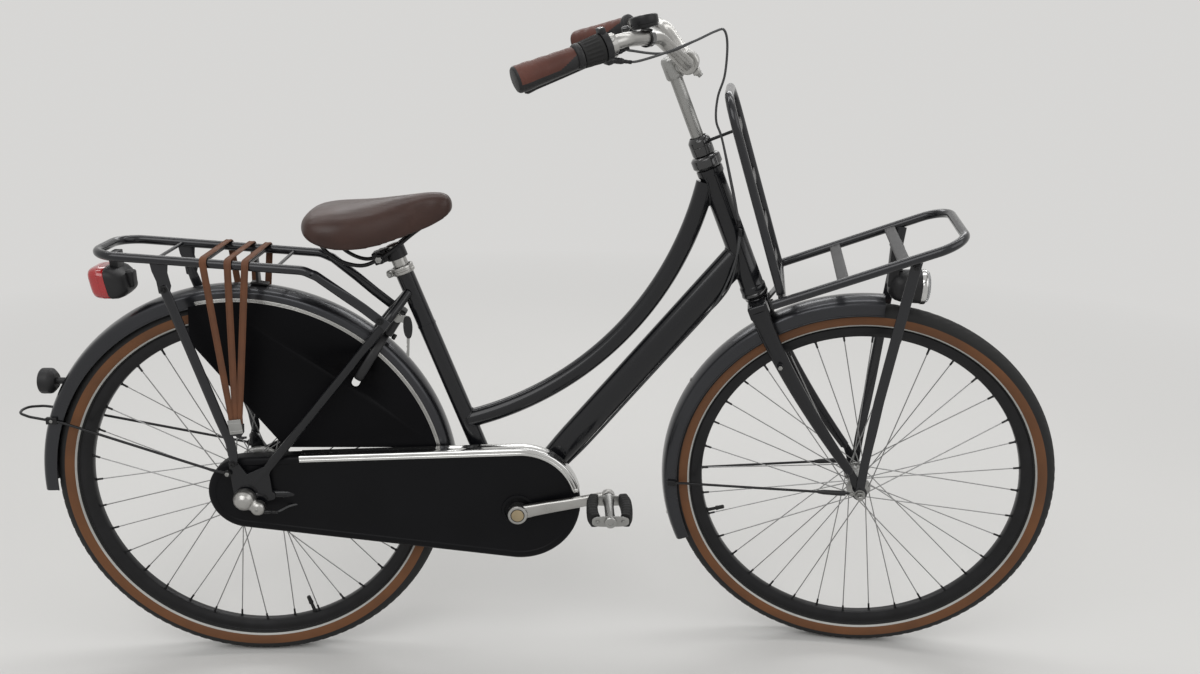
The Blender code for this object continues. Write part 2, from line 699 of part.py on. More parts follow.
def build_fork(steering, mats):
    crown_centre = CROWN_TOP - STEER_UP * (CROWN_H / 2)
    crown = block("crown", crown_centre, (CROWN_DEEP, CROWN_W, CROWN_H), STEER_FORE, Y_AXIS)
    column_l = (NUT_FOOT - crown_centre).length + LOCK_NUT_H - 0.003
    pieces = [rod("steerer", crown_centre, STEER_UP,
                  [(0.0, STEERER_D / 2), (column_l, STEERER_D / 2)], 16)]
    boss_l = (crown_centre - STEER_FOOT).length
    boss_l -= math.sqrt((FENDER_FRONT_R + 2 * GAP) ** 2 - (FORK_RAKE - 0.010) ** 2)
    pieces.append(rod("boss", crown_centre, -STEER_UP, [(0.0, 0.010), (boss_l, 0.010)], 8))
    shares = [0.0, 0.30, 0.55, 0.75, 0.88, 1.0]
    foot_z = FRONT_AXLE.z + 0.024
    tip_y = FRONT_OLD / 2 + TIP_T / 2
    for side in (-1, 1):
        path = []
        scales = []
        for t in shares:
            z = CROWN_Z + (foot_z - CROWN_Z) * t
            y = BLADE_TOP_Y + (tip_y + 0.002 - BLADE_TOP_Y) * t
            path.append(steer_at(z) + STEER_FORE * (FORK_RAKE * t ** 1.65 * 0.93) + Y_AXIS * side * y)
            wide = BLADE_TOP[1] + (BLADE_TIP[1] - BLADE_TOP[1]) * t
            deep = BLADE_TOP[0] + (BLADE_TIP[0] - BLADE_TOP[0]) * t
            scales.append((wide / BLADE_TOP[1], deep / BLADE_TOP[0]))
        pieces.append(sweep("blade", path, circle(BLADE_TOP[1] / 2, BLADE_TOP[0] / 2, 8), Y_AXIS,
                            scales=scales))
        low = FRONT_OLD / 2
        levels = (low, low + TIP_T) if side < 0 else (-low - TIP_T, -low)
        foot = path[-1] - FRONT_AXLE
        tip = [(-0.012, 0.004)] + arc((0.0, 0.0), TIP_R, math.radians(180), math.radians(390), 6)
        tip += [(foot.x + 0.007, foot.z + 0.003), (foot.x - 0.006, foot.z + 0.008)]
        pieces.append(plate("tip", tip, *levels, Vector((FRONT_AXLE.x, 0.0, FRONT_AXLE.z))))
    plug = steer_at(PLUG_Z) + STEER_FORE * 0.004 - Y_AXIS * 0.050
    pieces.append(rod("plug", plug, -Y_AXIS, [(0.0, 0.006), (0.014, 0.006), (0.014, 0.004), (0.018, 0.004)],
                      8))
    fork = fuse(crown, *pieces)
    slot_r = hole_radius(AXLE_D / 2, GAP, 8)
    cutters = [rod("axle_hole", FRONT_AXLE, Y_AXIS, [(-0.07, slot_r), (0.07, slot_r)], 8)]
    top = NUT_FOOT + STEER_UP * LOCK_NUT_H
    bore = hole_radius(QUILL_D / 2, GAP, QUILL_SIDES)
    cutters.append(rod("bore", top, -STEER_UP, [(-0.01, bore), (QUILL_L + 0.012, bore)], QUILL_SIDES))
    cut(fork, *cutters)
    finish(fork, "fork", mats["frame"], STEER_FOOT, steering)


PLUG_Z = 0.606 * SCALE


def build_front_axle(steering, mats):
    axle = axle_rod(FRONT_AXLE, 0.076, FRONT_OLD, TIP_T + EYELET_T + GAP, 0.0090)
    finish(axle, "front_axle", mats["steel"], FRONT_AXLE, steering)


EYELET_T = 0.003
STEM_HEAD = steer_at(STEM_HEAD_Z)
BAR_CENTRE = STEM_HEAD + STEER_FORE * STEM_REACH


def build_stem(steering, mats):
    bottom = NUT_FOOT + STEER_UP * (LOCK_NUT_H - QUILL_L)
    quill_l = (STEM_HEAD - bottom).length
    stem = rod("stem", bottom, STEER_UP, [(0.0, QUILL_D / 2), (quill_l, QUILL_D / 2)], QUILL_SIDES)
    head = rod("head", STEM_HEAD - STEER_UP * 0.018, STEER_UP,
               [(0.0, 0.0135), (0.004, 0.0160), (0.034, 0.0160), (0.040, 0.012)], 12)
    arm = sweep("arm", [STEM_HEAD - STEER_UP * 0.002, BAR_CENTRE],
                circle(STEM_CLAMP_W * 0.38, 0.0125, 10), Y_AXIS, scales=[(1.1, 1.1), (1.0, 1.0)])
    clamp = rod("clamp", BAR_CENTRE, Y_AXIS,
                [(-STEM_CLAMP_W / 2, STEM_CLAMP_D / 2), (STEM_CLAMP_W / 2, STEM_CLAMP_D / 2)], 14)
    fuse(stem, head, arm, clamp)
    bore = hole_radius(BAR_CLAMP_D / 2, GAP, BAR_SIDES)
    cut(stem, rod("bore", BAR_CENTRE, Y_AXIS, [(-0.03, bore), (0.03, bore)], BAR_SIDES, BAR_TURN))
    finish(stem, "stem", mats["polished"], STEM_HEAD, steering)


# Handlebar and what is clamped to it

BAR_SIDES = 12
BAR_TURN = 0.0
BAR_CLAMP_HALF = 0.032
BAR_POINTS = [(-0.044 * SCALE, 0.085, 0.048 * SCALE), (-0.087 * SCALE, 0.198, 0.054 * SCALE),
              (-0.234 * SCALE, 0.286, 0.002 * SCALE)]


def bar_path(side):
    """The bar's centre line from the clamp to one end."""
    points = [BAR_CENTRE + Y_AXIS * side * BAR_CLAMP_HALF]
    points += [BAR_CENTRE + Vector((x, side * y, z)) for x, y, z in BAR_POINTS]
    return rounded_path(points, 0.040, 3)


def bar_point(side, s):
    """The point and direction of the straight grip part at a distance from the bar's end."""
    end = BAR_CENTRE + Vector((BAR_POINTS[2][0], side * BAR_POINTS[2][1], BAR_POINTS[2][2]))
    bend = BAR_CENTRE + Vector((BAR_POINTS[1][0], side * BAR_POINTS[1][1], BAR_POINTS[1][2]))
    along = (bend - end).normalized()
    return end + along * s, along


def build_handlebar(steering, mats):
    left = bar_path(1)
    right = bar_path(-1)
    path = list(reversed(right)) + left
    middle = len(right)
    scales = [1.0] * len(path)
    thick = BAR_CLAMP_D / BAR_D
    scales[middle - 1] = thick
    scales[middle] = thick
    bar = tube("bar", path, BAR_D, BAR_SIDES, None, scales=scales)
    finish(bar, "handlebar", mats["polished"], BAR_CENTRE, steering)


def clamp_ring(centre, along, length, outer_r, bar_r=BAR_D / 2):
    inner = hole_radius(bar_r, GAP, BAR_SIDES)
    return turned_ring("ring", centre, along,
                       [(-length / 2, inner), (-length / 2, outer_r), (length / 2, outer_r),
                        (length / 2, inner)], BAR_SIDES)


GRIP_PAD = 0.004
SLEEVE_START = 0.1065
HOUSING_START = 0.1415
BRACKET_START = 0.1535


def build_grips(steering, mats):
    bore = hole_radius(BAR_D / 2, GAP, BAR_SIDES)
    small = GRIP_D / 2
    big = small + 0.0035
    for side, name, length in ((-1, "grip_right", SLEEVE_START - 0.001), (1, "grip_left", GRIP_L + 0.010)):
        end, along = bar_point(side, 0.0)
        stations = [(-GRIP_PAD, big - 0.002), (-GRIP_PAD + 0.002, big), (0.008, big),
                    (0.030, small + 0.002), (0.060, small + 0.001), (length - 0.012, small),
                    (length - 0.007, small + 0.003), (length, small + 0.003)]
        grip = rod("grip", end, along, stations, 16)
        cut(grip, rod("bore", end, along, [(-GAP, bore), (length + 0.01, bore)], BAR_SIDES))
        finish(grip, name, mats["leather"], end, steering)


GRIP_OUT = Vector((0.513, 0.858, 0.0))


def grip_frame(side):
    """Directions at the grip: along the bar, towards the middle of the bicycle, and up."""
    _, along = bar_point(side, 0.0)
    inward = Vector((-GRIP_OUT.x, -side * GRIP_OUT.y, 0.0))
    inward = (inward - along * inward.dot(along)).normalized()
    up = (Z_AXIS - along * along.z).normalized()
    return along, inward, up


LEVER_PIVOT_S = 0.1650
LEVER_D = 0.009


def lever_pivot():
    along, inward, up = grip_frame(-1)
    point, _ = bar_point(-1, LEVER_PIVOT_S)
    return point + inward * 0.024 - up * 0.016, (inward * 0.55 + up * 0.83).normalized()


LEVER_HUB = (0.0065, 0.0075)
BRACKET_PLATE_T = 0.003


def bracket_frame():
    """The bracket's ring centre and the direction and length from it to the lever's pivot."""
    centre, along = bar_point(-1, BRACKET_START + 0.005)
    pivot, _ = lever_pivot()
    reach = pivot - centre
    return centre, along, reach.normalized(), reach.length


def brake_cable_start():
    along, inward, up = grip_frame(-1)
    centre, _ = bar_point(-1, BRACKET_START + 0.005)
    return centre + inward * 0.0095 - up * 0.0172 + along * 0.017, along


def build_lever_bracket(steering, mats):
    centre, along, reach, length = bracket_frame()
    bracket = clamp_ring(centre, along, 0.010, BAR_D / 2 + 0.0050)
    pivot, axis = lever_pivot()
    across = axis.cross(reach).normalized()
    spread = LEVER_HUB[0] + GAP + BRACKET_PLATE_T / 2
    arm_end = length - LEVER_HUB[1] - 0.001
    arm = block("arm", centre + reach * ((0.0135 + arm_end) / 2),
                (arm_end - 0.0135, 0.010, 2 * spread + BRACKET_PLATE_T), reach, across)
    pieces = [arm, rod("pin", pivot, axis, [(-spread, 0.0035), (spread, 0.0035)], 8)]
    for level in (-spread, spread):
        pieces.append(block("cheek", pivot + axis * level - reach * 0.0028, (0.0185, 0.014, BRACKET_PLATE_T),
                            reach, across))
    start, _ = brake_cable_start()
    pieces.append(rod("nozzle", start - along * GAP, -along, [(0.0, 0.0036), (0.0150, 0.0036)], 8))
    web_foot = centre + along * 0.0018
    drop = start - along * 0.0152 - web_foot
    pieces.append(rod("web", web_foot, drop.normalized(), [(0.0135, 0.0030), (drop.length, 0.0030)], 8))
    fuse(bracket, *pieces)
    finish(bracket, "brake_lever_bracket", mats["polished"], centre, steering)


def build_brake_lever(steering, mats):
    along, inward, up = grip_frame(-1)
    pivot, axis = lever_pivot()
    bore = hole_radius(0.0035, GAP, 8)
    half, outer = LEVER_HUB
    lever = rod("lever", pivot, axis, [(-half, outer), (half, outer)], 10)
    points = [pivot, bar_point(-1, 0.135)[0] + inward * 0.033 - up * 0.022,
              bar_point(-1, 0.090)[0] + inward * 0.037 - up * 0.026,
              bar_point(-1, 0.045)[0] + inward * 0.040 - up * 0.029,
              bar_point(-1, 0.018)[0] + inward * 0.044 - up * 0.031]
    blade = tube("blade", smooth_path(points, 2), LEVER_D, 6, axis,
                 scales=[(0.9, 0.8)] * 8 + [(1.2, 1.1)])
    fuse(lever, blade)
    cut(lever, rod("bore", pivot, axis, [(-0.02, bore), (0.02, bore)], 8))
    finish(lever, "brake_lever", mats["black_metal"], pivot, steering)


def shifter_lobe():
    along, inward, up = grip_frame(-1)
    place, _ = bar_point(-1, HOUSING_START)
    return place + along * 0.0055 - up * (SHIFTER_D / 2 - 0.001) + inward * 0.004


def build_shifter(steering, mats):
    along, inward, up = grip_frame(-1)
    start, _ = bar_point(-1, SLEEVE_START)
    bore = hole_radius(BAR_D / 2, GAP, BAR_SIDES)
    r = SHIFTER_D / 2
    length = HOUSING_START - SLEEVE_START - 0.001
    sleeve = turned_ring("sleeve", start, along,
                         [(0.0, bore), (0.0, GRIP_D / 2 + 0.003), (length * 0.4, r - 0.001),
                          (length - 0.006, r), (length, r), (length, bore)], 16)
    finish(sleeve, "shifter_sleeve", mats["rubber"], start, steering)
    place, _ = bar_point(-1, HOUSING_START)
    housing = turned_ring("housing", place, along,
                          [(0.0, bore), (0.0, r + 0.0015), (0.0105, r + 0.0015), (0.011, r - 0.002),
                           (0.011, bore)], 16)
    window = block("window", place + along * 0.0050 + up * (r + 0.001), (0.010, 0.018, 0.012), along,
                   inward)
    lobe = shifter_lobe()
    adjuster = tube("adjuster", [lobe, lobe.lerp(CABLE_START, 0.6), CABLE_START], 0.0095, 8, up,
                    scales=[1.2, 1.0, 0.8])
    fuse(housing, window, block("lobe", lobe, (0.011, 0.022, 0.014), along, inward), adjuster)
    finish(housing, "shifter_housing", mats["black"], place, steering)


STRIKER_GAP = 0.0009
BELL_R = 0.0225
BELL_H = 0.020
BELL_AXIS = Vector((-0.16, 0.10, 0.98)).normalized()


def build_bell(steering, mats):
    place, along = bell_place()
    bell = clamp_ring(place, along, 0.012, BAR_D / 2 + 0.0035)
    drum = place + BELL_AXIS * 0.017 + Vector((-0.006, -0.004, 0.0))
    stations = [(0.0, BELL_R * 0.93), (0.002, BELL_R), (BELL_H - 0.004, BELL_R), (BELL_H, BELL_R * 0.82)]
    post = rod("post", place + BELL_AXIS * (BAR_D / 2 + 0.001), BELL_AXIS, [(0.0, 0.007), (0.008, 0.007)], 8)
    fuse(bell, post, rod("drum", drum, BELL_AXIS, stations, 18))
    aft = (BELL_AXIS * BELL_AXIS.x - X_AXIS).normalized()
    striker_foot = drum + BELL_AXIS * 0.0050 + aft * (BELL_R + STRIKER_GAP)
    striker = rod("striker", striker_foot, aft, [(0.0, 0.0020), (0.0025, 0.0020), (0.0025, 0.0042),
                                                 (0.004, 0.0048), (0.0120, 0.0048), (0.0140, 0.0034)], 8)
    finish(bell, "bell", mats["black"], place, steering)
    finish(striker, "bell_striker", mats["black"], striker_foot, steering)


def bell_place():
    bend = BAR_CENTRE + Vector((BAR_POINTS[0][0], -BAR_POINTS[0][1], BAR_POINTS[0][2]))
    outer = BAR_CENTRE + Vector((BAR_POINTS[1][0], -BAR_POINTS[1][1], BAR_POINTS[1][2]))
    along = (outer - bend).normalized()
    return bend + along * 0.042, along


# Front carrier

CARRIER_FORE = Vector((math.cos(CARRIER_SLOPE), 0.0, math.sin(CARRIER_SLOPE)))
CARRIER_UP = Vector((-math.sin(CARRIER_SLOPE), 0.0, math.cos(CARRIER_SLOPE)))
CARRIER_BACK = Vector((CARRIER_BACK_X, 0.0, CARRIER_BACK_Z))
CARRIER_CORNER = 0.050
CARRIER_BARS = (0.018 * SCALE, 0.125 * SCALE, 0.228 * SCALE)
CARRIER_STRUT_W = 0.018
CARRIER_STRUT_T = 0.004
UPRIGHT_BAR_Z = (1.020 * SCALE, 0.930 * SCALE, 0.850 * SCALE, 0.780 * SCALE)
UPRIGHT_BAR_T = 0.003
UPRIGHT_TUBE_D = 0.015
UPRIGHT_TOP = Vector((UPRIGHT_TOP_X, 0.0, UPRIGHT_TOP_Z))


def carrier_point(along, y, rise=0.0):
    return CARRIER_BACK + CARRIER_FORE * along + Y_AXIS * y + CARRIER_UP * rise


UPRIGHT_FOOT = Vector((UPRIGHT_FOOT_X, 0.0, 0.0))
UPRIGHT_FOOT.z = CARRIER_BACK_Z + (UPRIGHT_FOOT_X - CARRIER_BACK_X) * math.tan(CARRIER_SLOPE)
UPRIGHT_FOOT += CARRIER_UP * (RACK_TUBE_D / 2 + GAP)
UPRIGHT_RISE = (UPRIGHT_TOP - UPRIGHT_FOOT).normalized()
UPRIGHT_FORE = UPRIGHT_RISE.cross(Y_AXIS) * -1


def upright_point(z, y):
    share = (z - UPRIGHT_FOOT.z) / (UPRIGHT_TOP.z - UPRIGHT_FOOT.z)
    return UPRIGHT_FOOT.lerp(UPRIGHT_TOP, share) + Y_AXIS * y


def build_front_rack(steering, mats):
    half = CARRIER_HALF_W
    corners = [carrier_point(0.0, -half), carrier_point(CARRIER_L, -half), carrier_point(CARRIER_L, half),
               carrier_point(0.0, half)]
    rack = tube("loop", rounded_path(corners, CARRIER_CORNER, 3), RACK_TUBE_D, 8, CARRIER_UP)
    pieces = []
    back = CARRIER_BARS[0]
    pieces.append(rod("back_bar", carrier_point(back, -half), Y_AXIS,
                      [(0.0, RACK_TUBE_D / 2 - 0.001), (2 * half, RACK_TUBE_D / 2 - 0.001)], 8))
    for along in CARRIER_BARS[1:]:
        pieces.append(block("cross", carrier_point(along, 0.0, 0.001), (0.024, 2 * half, 0.003),
                            CARRIER_FORE, Y_AXIS))
    crown_face = CROWN_TOP - STEER_UP * (CROWN_H / 2) + STEER_FORE * (CROWN_DEEP / 2 + GAP)
    tab_end = carrier_point(back, 0.0)
    tab_foot = crown_face + STEER_FORE * 0.0015
    pieces.append(block("tab", tab_foot, (0.003, 0.036, 0.024), STEER_FORE, Y_AXIS))
    pieces.append(sweep("neck", [tab_foot + STEER_FORE * 0.0010 + STEER_UP * 0.006, tab_end],
                        box_section(0.036, 0.004), Y_AXIS))
    for side in (-1, 1):
        top = carrier_point(CARRIER_BARS[2] + 0.022, side * (half - 0.007), -0.004)
        eye_y = FRONT_OLD / 2 + TIP_T + GAP + EYELET_T / 2
        eye = FRONT_AXLE + Y_AXIS * side * eye_y
        path = [top, front_at(0.029, side * 0.085, 0.690), front_at(0.015, side * 0.0615, 0.550),
                front_at(0.003, side * eye_y, 0.420), eye + Z_AXIS * 0.008]
        pieces.append(sweep("strut", path, box_section(CARRIER_STRUT_T, CARRIER_STRUT_W), Y_AXIS,
                            scales=[(1.0, 1.0), (1.0, 1.0), (1.0, 1.0), (0.75, 0.9), (0.75, 0.9)]))
        low = eye_y - EYELET_T / 2
        levels = (low, low + EYELET_T) if side < 0 else (-low - EYELET_T, -low)
        pieces.append(plate("eyelet", circle(0.0125, 0.0125, 12), *levels,
                            Vector((FRONT_AXLE.x, 0.0, FRONT_AXLE.z))))
    rack = fuse(rack, *pieces)
    hole = hole_radius(AXLE_D / 2, GAP, 8)
    cut(rack, rod("hole", FRONT_AXLE, Y_AXIS, [(-0.09, hole), (0.09, hole)], 8))
    finish(rack, "front_rack_platform", mats["rack"], carrier_point(0.0, 0.0), steering)


def build_upright(steering, mats):
    half = UPRIGHT_HALF_W
    corners = [UPRIGHT_FOOT - Y_AXIS * half, UPRIGHT_TOP - Y_AXIS * half, UPRIGHT_TOP + Y_AXIS * half,
               UPRIGHT_FOOT + Y_AXIS * half]
    loop = tube("loop", rounded_path(corners, CARRIER_CORNER, 4), UPRIGHT_TUBE_D, 8, UPRIGHT_FORE)
    bars = [block("bar", upright_point(z, 0.0), (2 * half, 0.020, UPRIGHT_BAR_T), Y_AXIS, UPRIGHT_RISE)
            for z in UPRIGHT_BAR_Z]
    fuse(loop, *bars)
    finish(loop, "front_rack_upright", mats["rack"], UPRIGHT_FOOT, steering)


LAMP_CENTRE = front_at(0.053, 0.0, 0.752)
LAMP_R = 0.030
LAMP_L = 0.072


def build_headlight(steering, mats):
    back = LAMP_CENTRE - X_AXIS * (LAMP_L / 2)
    lens_t = 0.010
    stations = [(0.0, LAMP_R * 0.45), (0.006, LAMP_R * 0.72), (0.022, LAMP_R * 0.95),
                (LAMP_L - lens_t - 0.012, LAMP_R), (LAMP_L - lens_t - GAP, LAMP_R)]
    body = rod("body", back, X_AXIS, stations, 16)
    foot = carrier_point(CARRIER_BARS[2], 0.0, -0.0005 - GAP)
    hanger_t = 0.005
    hanger = block("hanger", foot - CARRIER_UP * (hanger_t / 2), (0.022, 0.040, hanger_t), CARRIER_FORE,
                   Y_AXIS)
    web = block("web", Vector((foot.x, 0.0, (foot.z + LAMP_CENTRE.z) / 2 - 0.003)),
                (0.018, 0.028, foot.z - LAMP_CENTRE.z - 0.006))
    fuse(body, hanger, web)
    finish(body, "headlight_body", mats["black"], LAMP_CENTRE, steering)
    face = back + X_AXIS * (LAMP_L - lens_t)
    lens = rod("lens", face, X_AXIS, [(0.0, LAMP_R * 0.96), (0.006, LAMP_R * 0.96),
                                      (lens_t, LAMP_R * 0.80)], 16)
    finish(lens, "headlight_lens", mats["lens"], face, steering)


# Fenders

REAR_FENDER_SPAN = (-2.0, 181.0, 20)
FRONT_FENDER_SPAN = (88.0, 203.7, 14)


def fender_profile(crown_r):
    """The fender's section as (across, radius) pairs, outer side first."""
    half = FENDER_W / 2
    edge = crown_r - FENDER_DEPTH
    outer = [(-half, edge), (-half, crown_r - 0.014), (-half * 0.62, crown_r - 0.0032), (0.0, crown_r),
             (half * 0.62, crown_r - 0.0032), (half, crown_r - 0.014), (half, edge)]
    thin = half - FENDER_T
    inner = [(thin, edge), (thin, crown_r - 0.0148), (thin * 0.60, crown_r - 0.0050),
             (0.0, crown_r - FENDER_T), (-thin * 0.60, crown_r - 0.0050), (-thin, crown_r - 0.0148),
             (-thin, edge)]
    return outer + inner


def build_fender(axle, crown_r, start, end, steps):
    rings = []
    for i in range(steps + 1):
        angle = math.radians(start + (end - start) * i / steps)
        radial = Vector((math.cos(angle), 0.0, math.sin(angle)))
        rings.append([axle + Y_AXIS * a + radial * r for a, r in fender_profile(crown_r)])
    return loft("fender", rings)


def build_rear_fender(mats):
    fender = build_fender(REAR_AXLE, FENDER_REAR_R, *REAR_FENDER_SPAN)
    touch = FENDER_W / 2 + FENDER_WIRE_D / 2 - 0.0006
    clear = REAR_OLD / 2 + DROPOUT_T + GAP + FENDER_WIRE_D / 2
    half = [rear_at(-0.030, clear, 0.404), rear_at(-0.060, clear - 0.002, 0.4115),
            rear_at(-0.325, touch + 0.0006, 0.486), rear_at(-0.345, touch, 0.490),
            rear_at(-0.385, 0.028, 0.4965), rear_at(-0.407, 0.017, 0.499), rear_at(-0.411, 0.0, 0.499)]
    path = half + [mirrored(p) for p in reversed(half[:-1])]
    fuse(fender, tube("wire", path, FENDER_WIRE_D, 5, Z_AXIS))
    finish(fender, "rear_fender", mats["fender"], REAR_AXLE)


def build_front_fender(steering, mats):
    fender = build_fender(FRONT_AXLE, FENDER_FRONT_R, *FRONT_FENDER_SPAN)
    touch = FENDER_W / 2 + FENDER_WIRE_D / 2 - 0.0006
    clear = FRONT_OLD / 2 + TIP_T + EYELET_T + 2 * GAP + FENDER_WIRE_D / 2
    wires = []
    for side in (-1, 1):
        path = [front_at(-0.356, side * touch, 0.3375), front_at(-0.328, side * (touch + 0.0004), 0.3395),
                front_at(-0.038, side * (clear + 0.004), 0.362),
                front_at(-0.016, side * (clear + 0.004), 0.3632)]
        wires.append(tube("wire", path, FENDER_WIRE_D, 5, Z_AXIS))
        wires.append(rod("clip", front_at(-0.016, side * (clear - 0.0025), 0.3632), Y_AXIS * side,
                         [(0.0, 0.0045), (0.009, 0.0045)], 8))
    fuse(fender, *wires)
    finish(fender, "front_fender", mats["fender"], FRONT_AXLE, steering)


# Rear carrier

RACK_CORNER = 0.045
RACK_STRUT_T = 0.0052
RACK_RODS = (-0.113 * SCALE, -0.035 * SCALE, 0.037 * SCALE, 0.087 * SCALE)
RACK_ROD_D = 0.006


def rack_height(x):
    return RACK_TOP_Z + (x - RACK_REAR_X) * math.tan(RACK_SLOPE)


def build_rear_rack(mats):
    half = RACK_HALF_W
    bend = Vector((RACK_BEND_X - 0.004, -half, rack_height(RACK_BEND_X - 0.004)))
    tail = rear_at(0.156, -half, 0.7695)
    rear = Vector((RACK_REAR_X, -half, RACK_TOP_Z))
    side_path = [tail, bend, rear]
    corners = side_path + [mirrored(p) for p in reversed(side_path)]
    rack = tube("loop", rounded_path(corners, RACK_CORNER, 3), RACK_TUBE_D, 8)
    pieces = []
    for x in RACK_RODS:
        pieces.append(rod("rod", Vector((x, -half, rack_height(x))), Y_AXIS,
                          [(0.0, RACK_ROD_D / 2), (2 * half, RACK_ROD_D / 2)], 6))
    foot_low = WHEEL_R + FENDER_REAR_R
    foot = [(0.017, foot_low + 0.0005), (0.060, foot_low - 0.0038), (0.046 * SCALE, 0.786 * SCALE),
            (0.028 * SCALE, 0.788 * SCALE)]
    pieces.append(plate("foot", foot, -0.009, 0.009))
    lobe_y = REAR_OLD / 2 + DROPOUT_T + GAP
    for side in (-1, 1):
        path = [rear_at(0.153, side * half, 0.7720), rear_at(0.200, side * 0.0655, 0.7350),
                rear_at(0.230, side * 0.0597, 0.7105), rear_at(0.271, side * 0.0597, 0.6765)]
        pieces.append(tube("tail", path, RACK_TUBE_D, 8, Y_AXIS,
                           scales=[(1.0, 1.0), (0.7, 1.0), (0.27, 1.1), (0.27, 1.1)]))
        ear = fitted([(-0.126, 0.740), (-0.086, 0.730), (-0.080, 0.796), (-0.132, 0.799)])
        ear_low = half - 0.0015
        levels = (ear_low, ear_low + 0.003) if side < 0 else (-ear_low - 0.003, -ear_low)
        pieces.append(plate("ear", ear, *levels))
        foot_y = lobe_y + RACK_STRUT_T / 2
        path = [rear_at(-0.105, side * half, 0.752), rear_at(-0.099, side * (half - 0.0003), 0.732),
                rear_at(-0.030, side * 0.0745, 0.508), Vector((-0.017, side * foot_y, WHEEL_R + 0.108)),
                Vector((-0.0135, side * foot_y, WHEEL_R + 0.076)),
                Vector((-0.0155, side * foot_y, WHEEL_R + 0.061))]
        pieces.append(sweep("strut", path, circle(0.0045, 0.0095, 8, math.pi / 8), Y_AXIS,
                            scales=[(0.8, 0.8), (1.0, 1.0), (1.0, 1.0), (RACK_STRUT_T / 0.0085, 1.0),
                                    (RACK_STRUT_T / 0.0085, 1.0), (RACK_STRUT_T / 0.0085, 0.6)]))
    fuse(rack, *pieces)
    finish(rack, "rear_rack", mats["rack"], Vector((RACK_REAR_X, 0.0, RACK_TOP_Z)))


LIGHT_X = (RACK_REAR_X - 0.024, RACK_REAR_X + 0.043)
LIGHT_Z = (RACK_TOP_Z - 0.094, RACK_TOP_Z - 0.029)
LIGHT_HALF_W = 0.0425
LENS_L = 0.018


def build_rear_light(mats):
    low, high = LIGHT_Z
    middle = (low + high) / 2
    height = high - low
    rings = []
    shares = ((LIGHT_X[0] + LENS_L + GAP, 1.0, 1.0), (LIGHT_X[1] - 0.017, 1.0, 0.94),
              (LIGHT_X[1], 0.80, 0.55))
    for x, wide, tall in shares:
        outline = circle(1.0, 1.0, 12, math.pi / 12)
        rings.append([Vector((x, LIGHT_HALF_W * wide * math.copysign(abs(a) ** 0.55, a),
                              middle + height / 2 * tall * math.copysign(abs(b) ** 0.55, b)))
                      for a, b in outline])
    body = loft("light", rings)
    top = RACK_TOP_Z - RACK_TUBE_D / 2 - GAP
    body = fuse(body, block("tab", Vector((RACK_REAR_X + 0.006, 0.0, (top + high - 0.010) / 2)),
                            (0.016, 0.030, top - high + 0.010)))
    finish(body, "rear_light_body", mats["black"], Vector((LIGHT_X[1], 0.0, middle)))
    rings = []
    for x, share in ((LIGHT_X[0] + LENS_L, 0.98), (LIGHT_X[0] + 0.005, 0.94), (LIGHT_X[0], 0.80)):
        outline = circle(1.0, 1.0, 12, math.pi / 12)
        rings.append([Vector((x, LIGHT_HALF_W * share * math.copysign(abs(a) ** 0.55, a),
                              middle + height / 2 * share * math.copysign(abs(b) ** 0.55, b)))
                      for a, b in outline])
    finish(loft("lens", rings), "rear_light_lens", mats["red"], Vector((LIGHT_X[0], 0.0, middle)))


REFLECTOR_Z = 0.556 * SCALE
REFLECTOR_R = 0.0235
REFLECTOR_X = (-0.366 * SCALE, -0.366 * SCALE + 0.026)


def build_reflector(mats):
    x0, x1 = REFLECTOR_X
    centre = Vector((x0, 0.0, REFLECTOR_Z))
    r = REFLECTOR_R
    housing = rod("reflector", centre, X_AXIS,
                  [(0.0, r - 0.002), (0.002, r), (0.016, r), (x1 - x0, r * 0.62)], 16)
    rise = REFLECTOR_Z - WHEEL_R
    crown_x = -math.sqrt((FENDER_REAR_R + 2 * GAP) ** 2 - (rise - 0.006) ** 2)
    stem = rod("stem", centre + X_AXIS * 0.018, X_AXIS, [(0.0, 0.006), (crown_x - x0 - 0.016, 0.006)], 8)
    fuse(housing, stem)
    cut(housing, build_fender(REAR_AXLE, FENDER_REAR_R + GAP, *REAR_FENDER_SPAN))
    finish(housing, "rear_reflector", mats["black"], centre)


STRAP_X = (-0.031 * SCALE, 0.010 * SCALE, 0.039 * SCALE)
STRAP_W = 0.012
STRAP_T = 0.0025
STRAP_END = rear_at(0.0, 0.0825, 0.500)


def build_straps(mats):
    half = RACK_HALF_W
    reach = RACK_TUBE_D / 2 + 0.0013 + STRAP_T / 2
    pieces = []
    for i, x in enumerate(STRAP_X):
        top = rack_height(x)
        low_x = (i - 1) * 0.0075
        turn = [(half + reach * math.cos(a), reach * math.sin(a))
                for a in (math.radians(5), math.radians(45), math.radians(88))]
        side_path = [Vector((low_x, STRAP_END.y, STRAP_END.z - 0.002)),
                     Vector((low_x, STRAP_END.y, STRAP_END.z + 0.018))]
        side_path += [Vector((x, y, top + z)) for y, z in turn]
        path = [mirrored(p) for p in side_path] + list(reversed(side_path))
        pieces.append(sweep("band", path, box_section(STRAP_W, STRAP_T), X_AXIS,
                            scales=[0.8, 0.9] + [1.0] * (len(path) - 4) + [0.9, 0.8]))
    for side in (-1, 1):
        pieces.append(block("end", Vector((0.0, side * STRAP_END.y, STRAP_END.z - 0.008)),
                            (0.028, 0.0045, 0.024)))
    finish(fuse(*pieces), "elastic_straps", mats["strap"], Vector((0.010, 0.0, rack_height(0.010))))


# Guards beside the rear wheel and the chain case

GUARD_T = 0.0012
GUARD_R = 0.3545 * SCALE


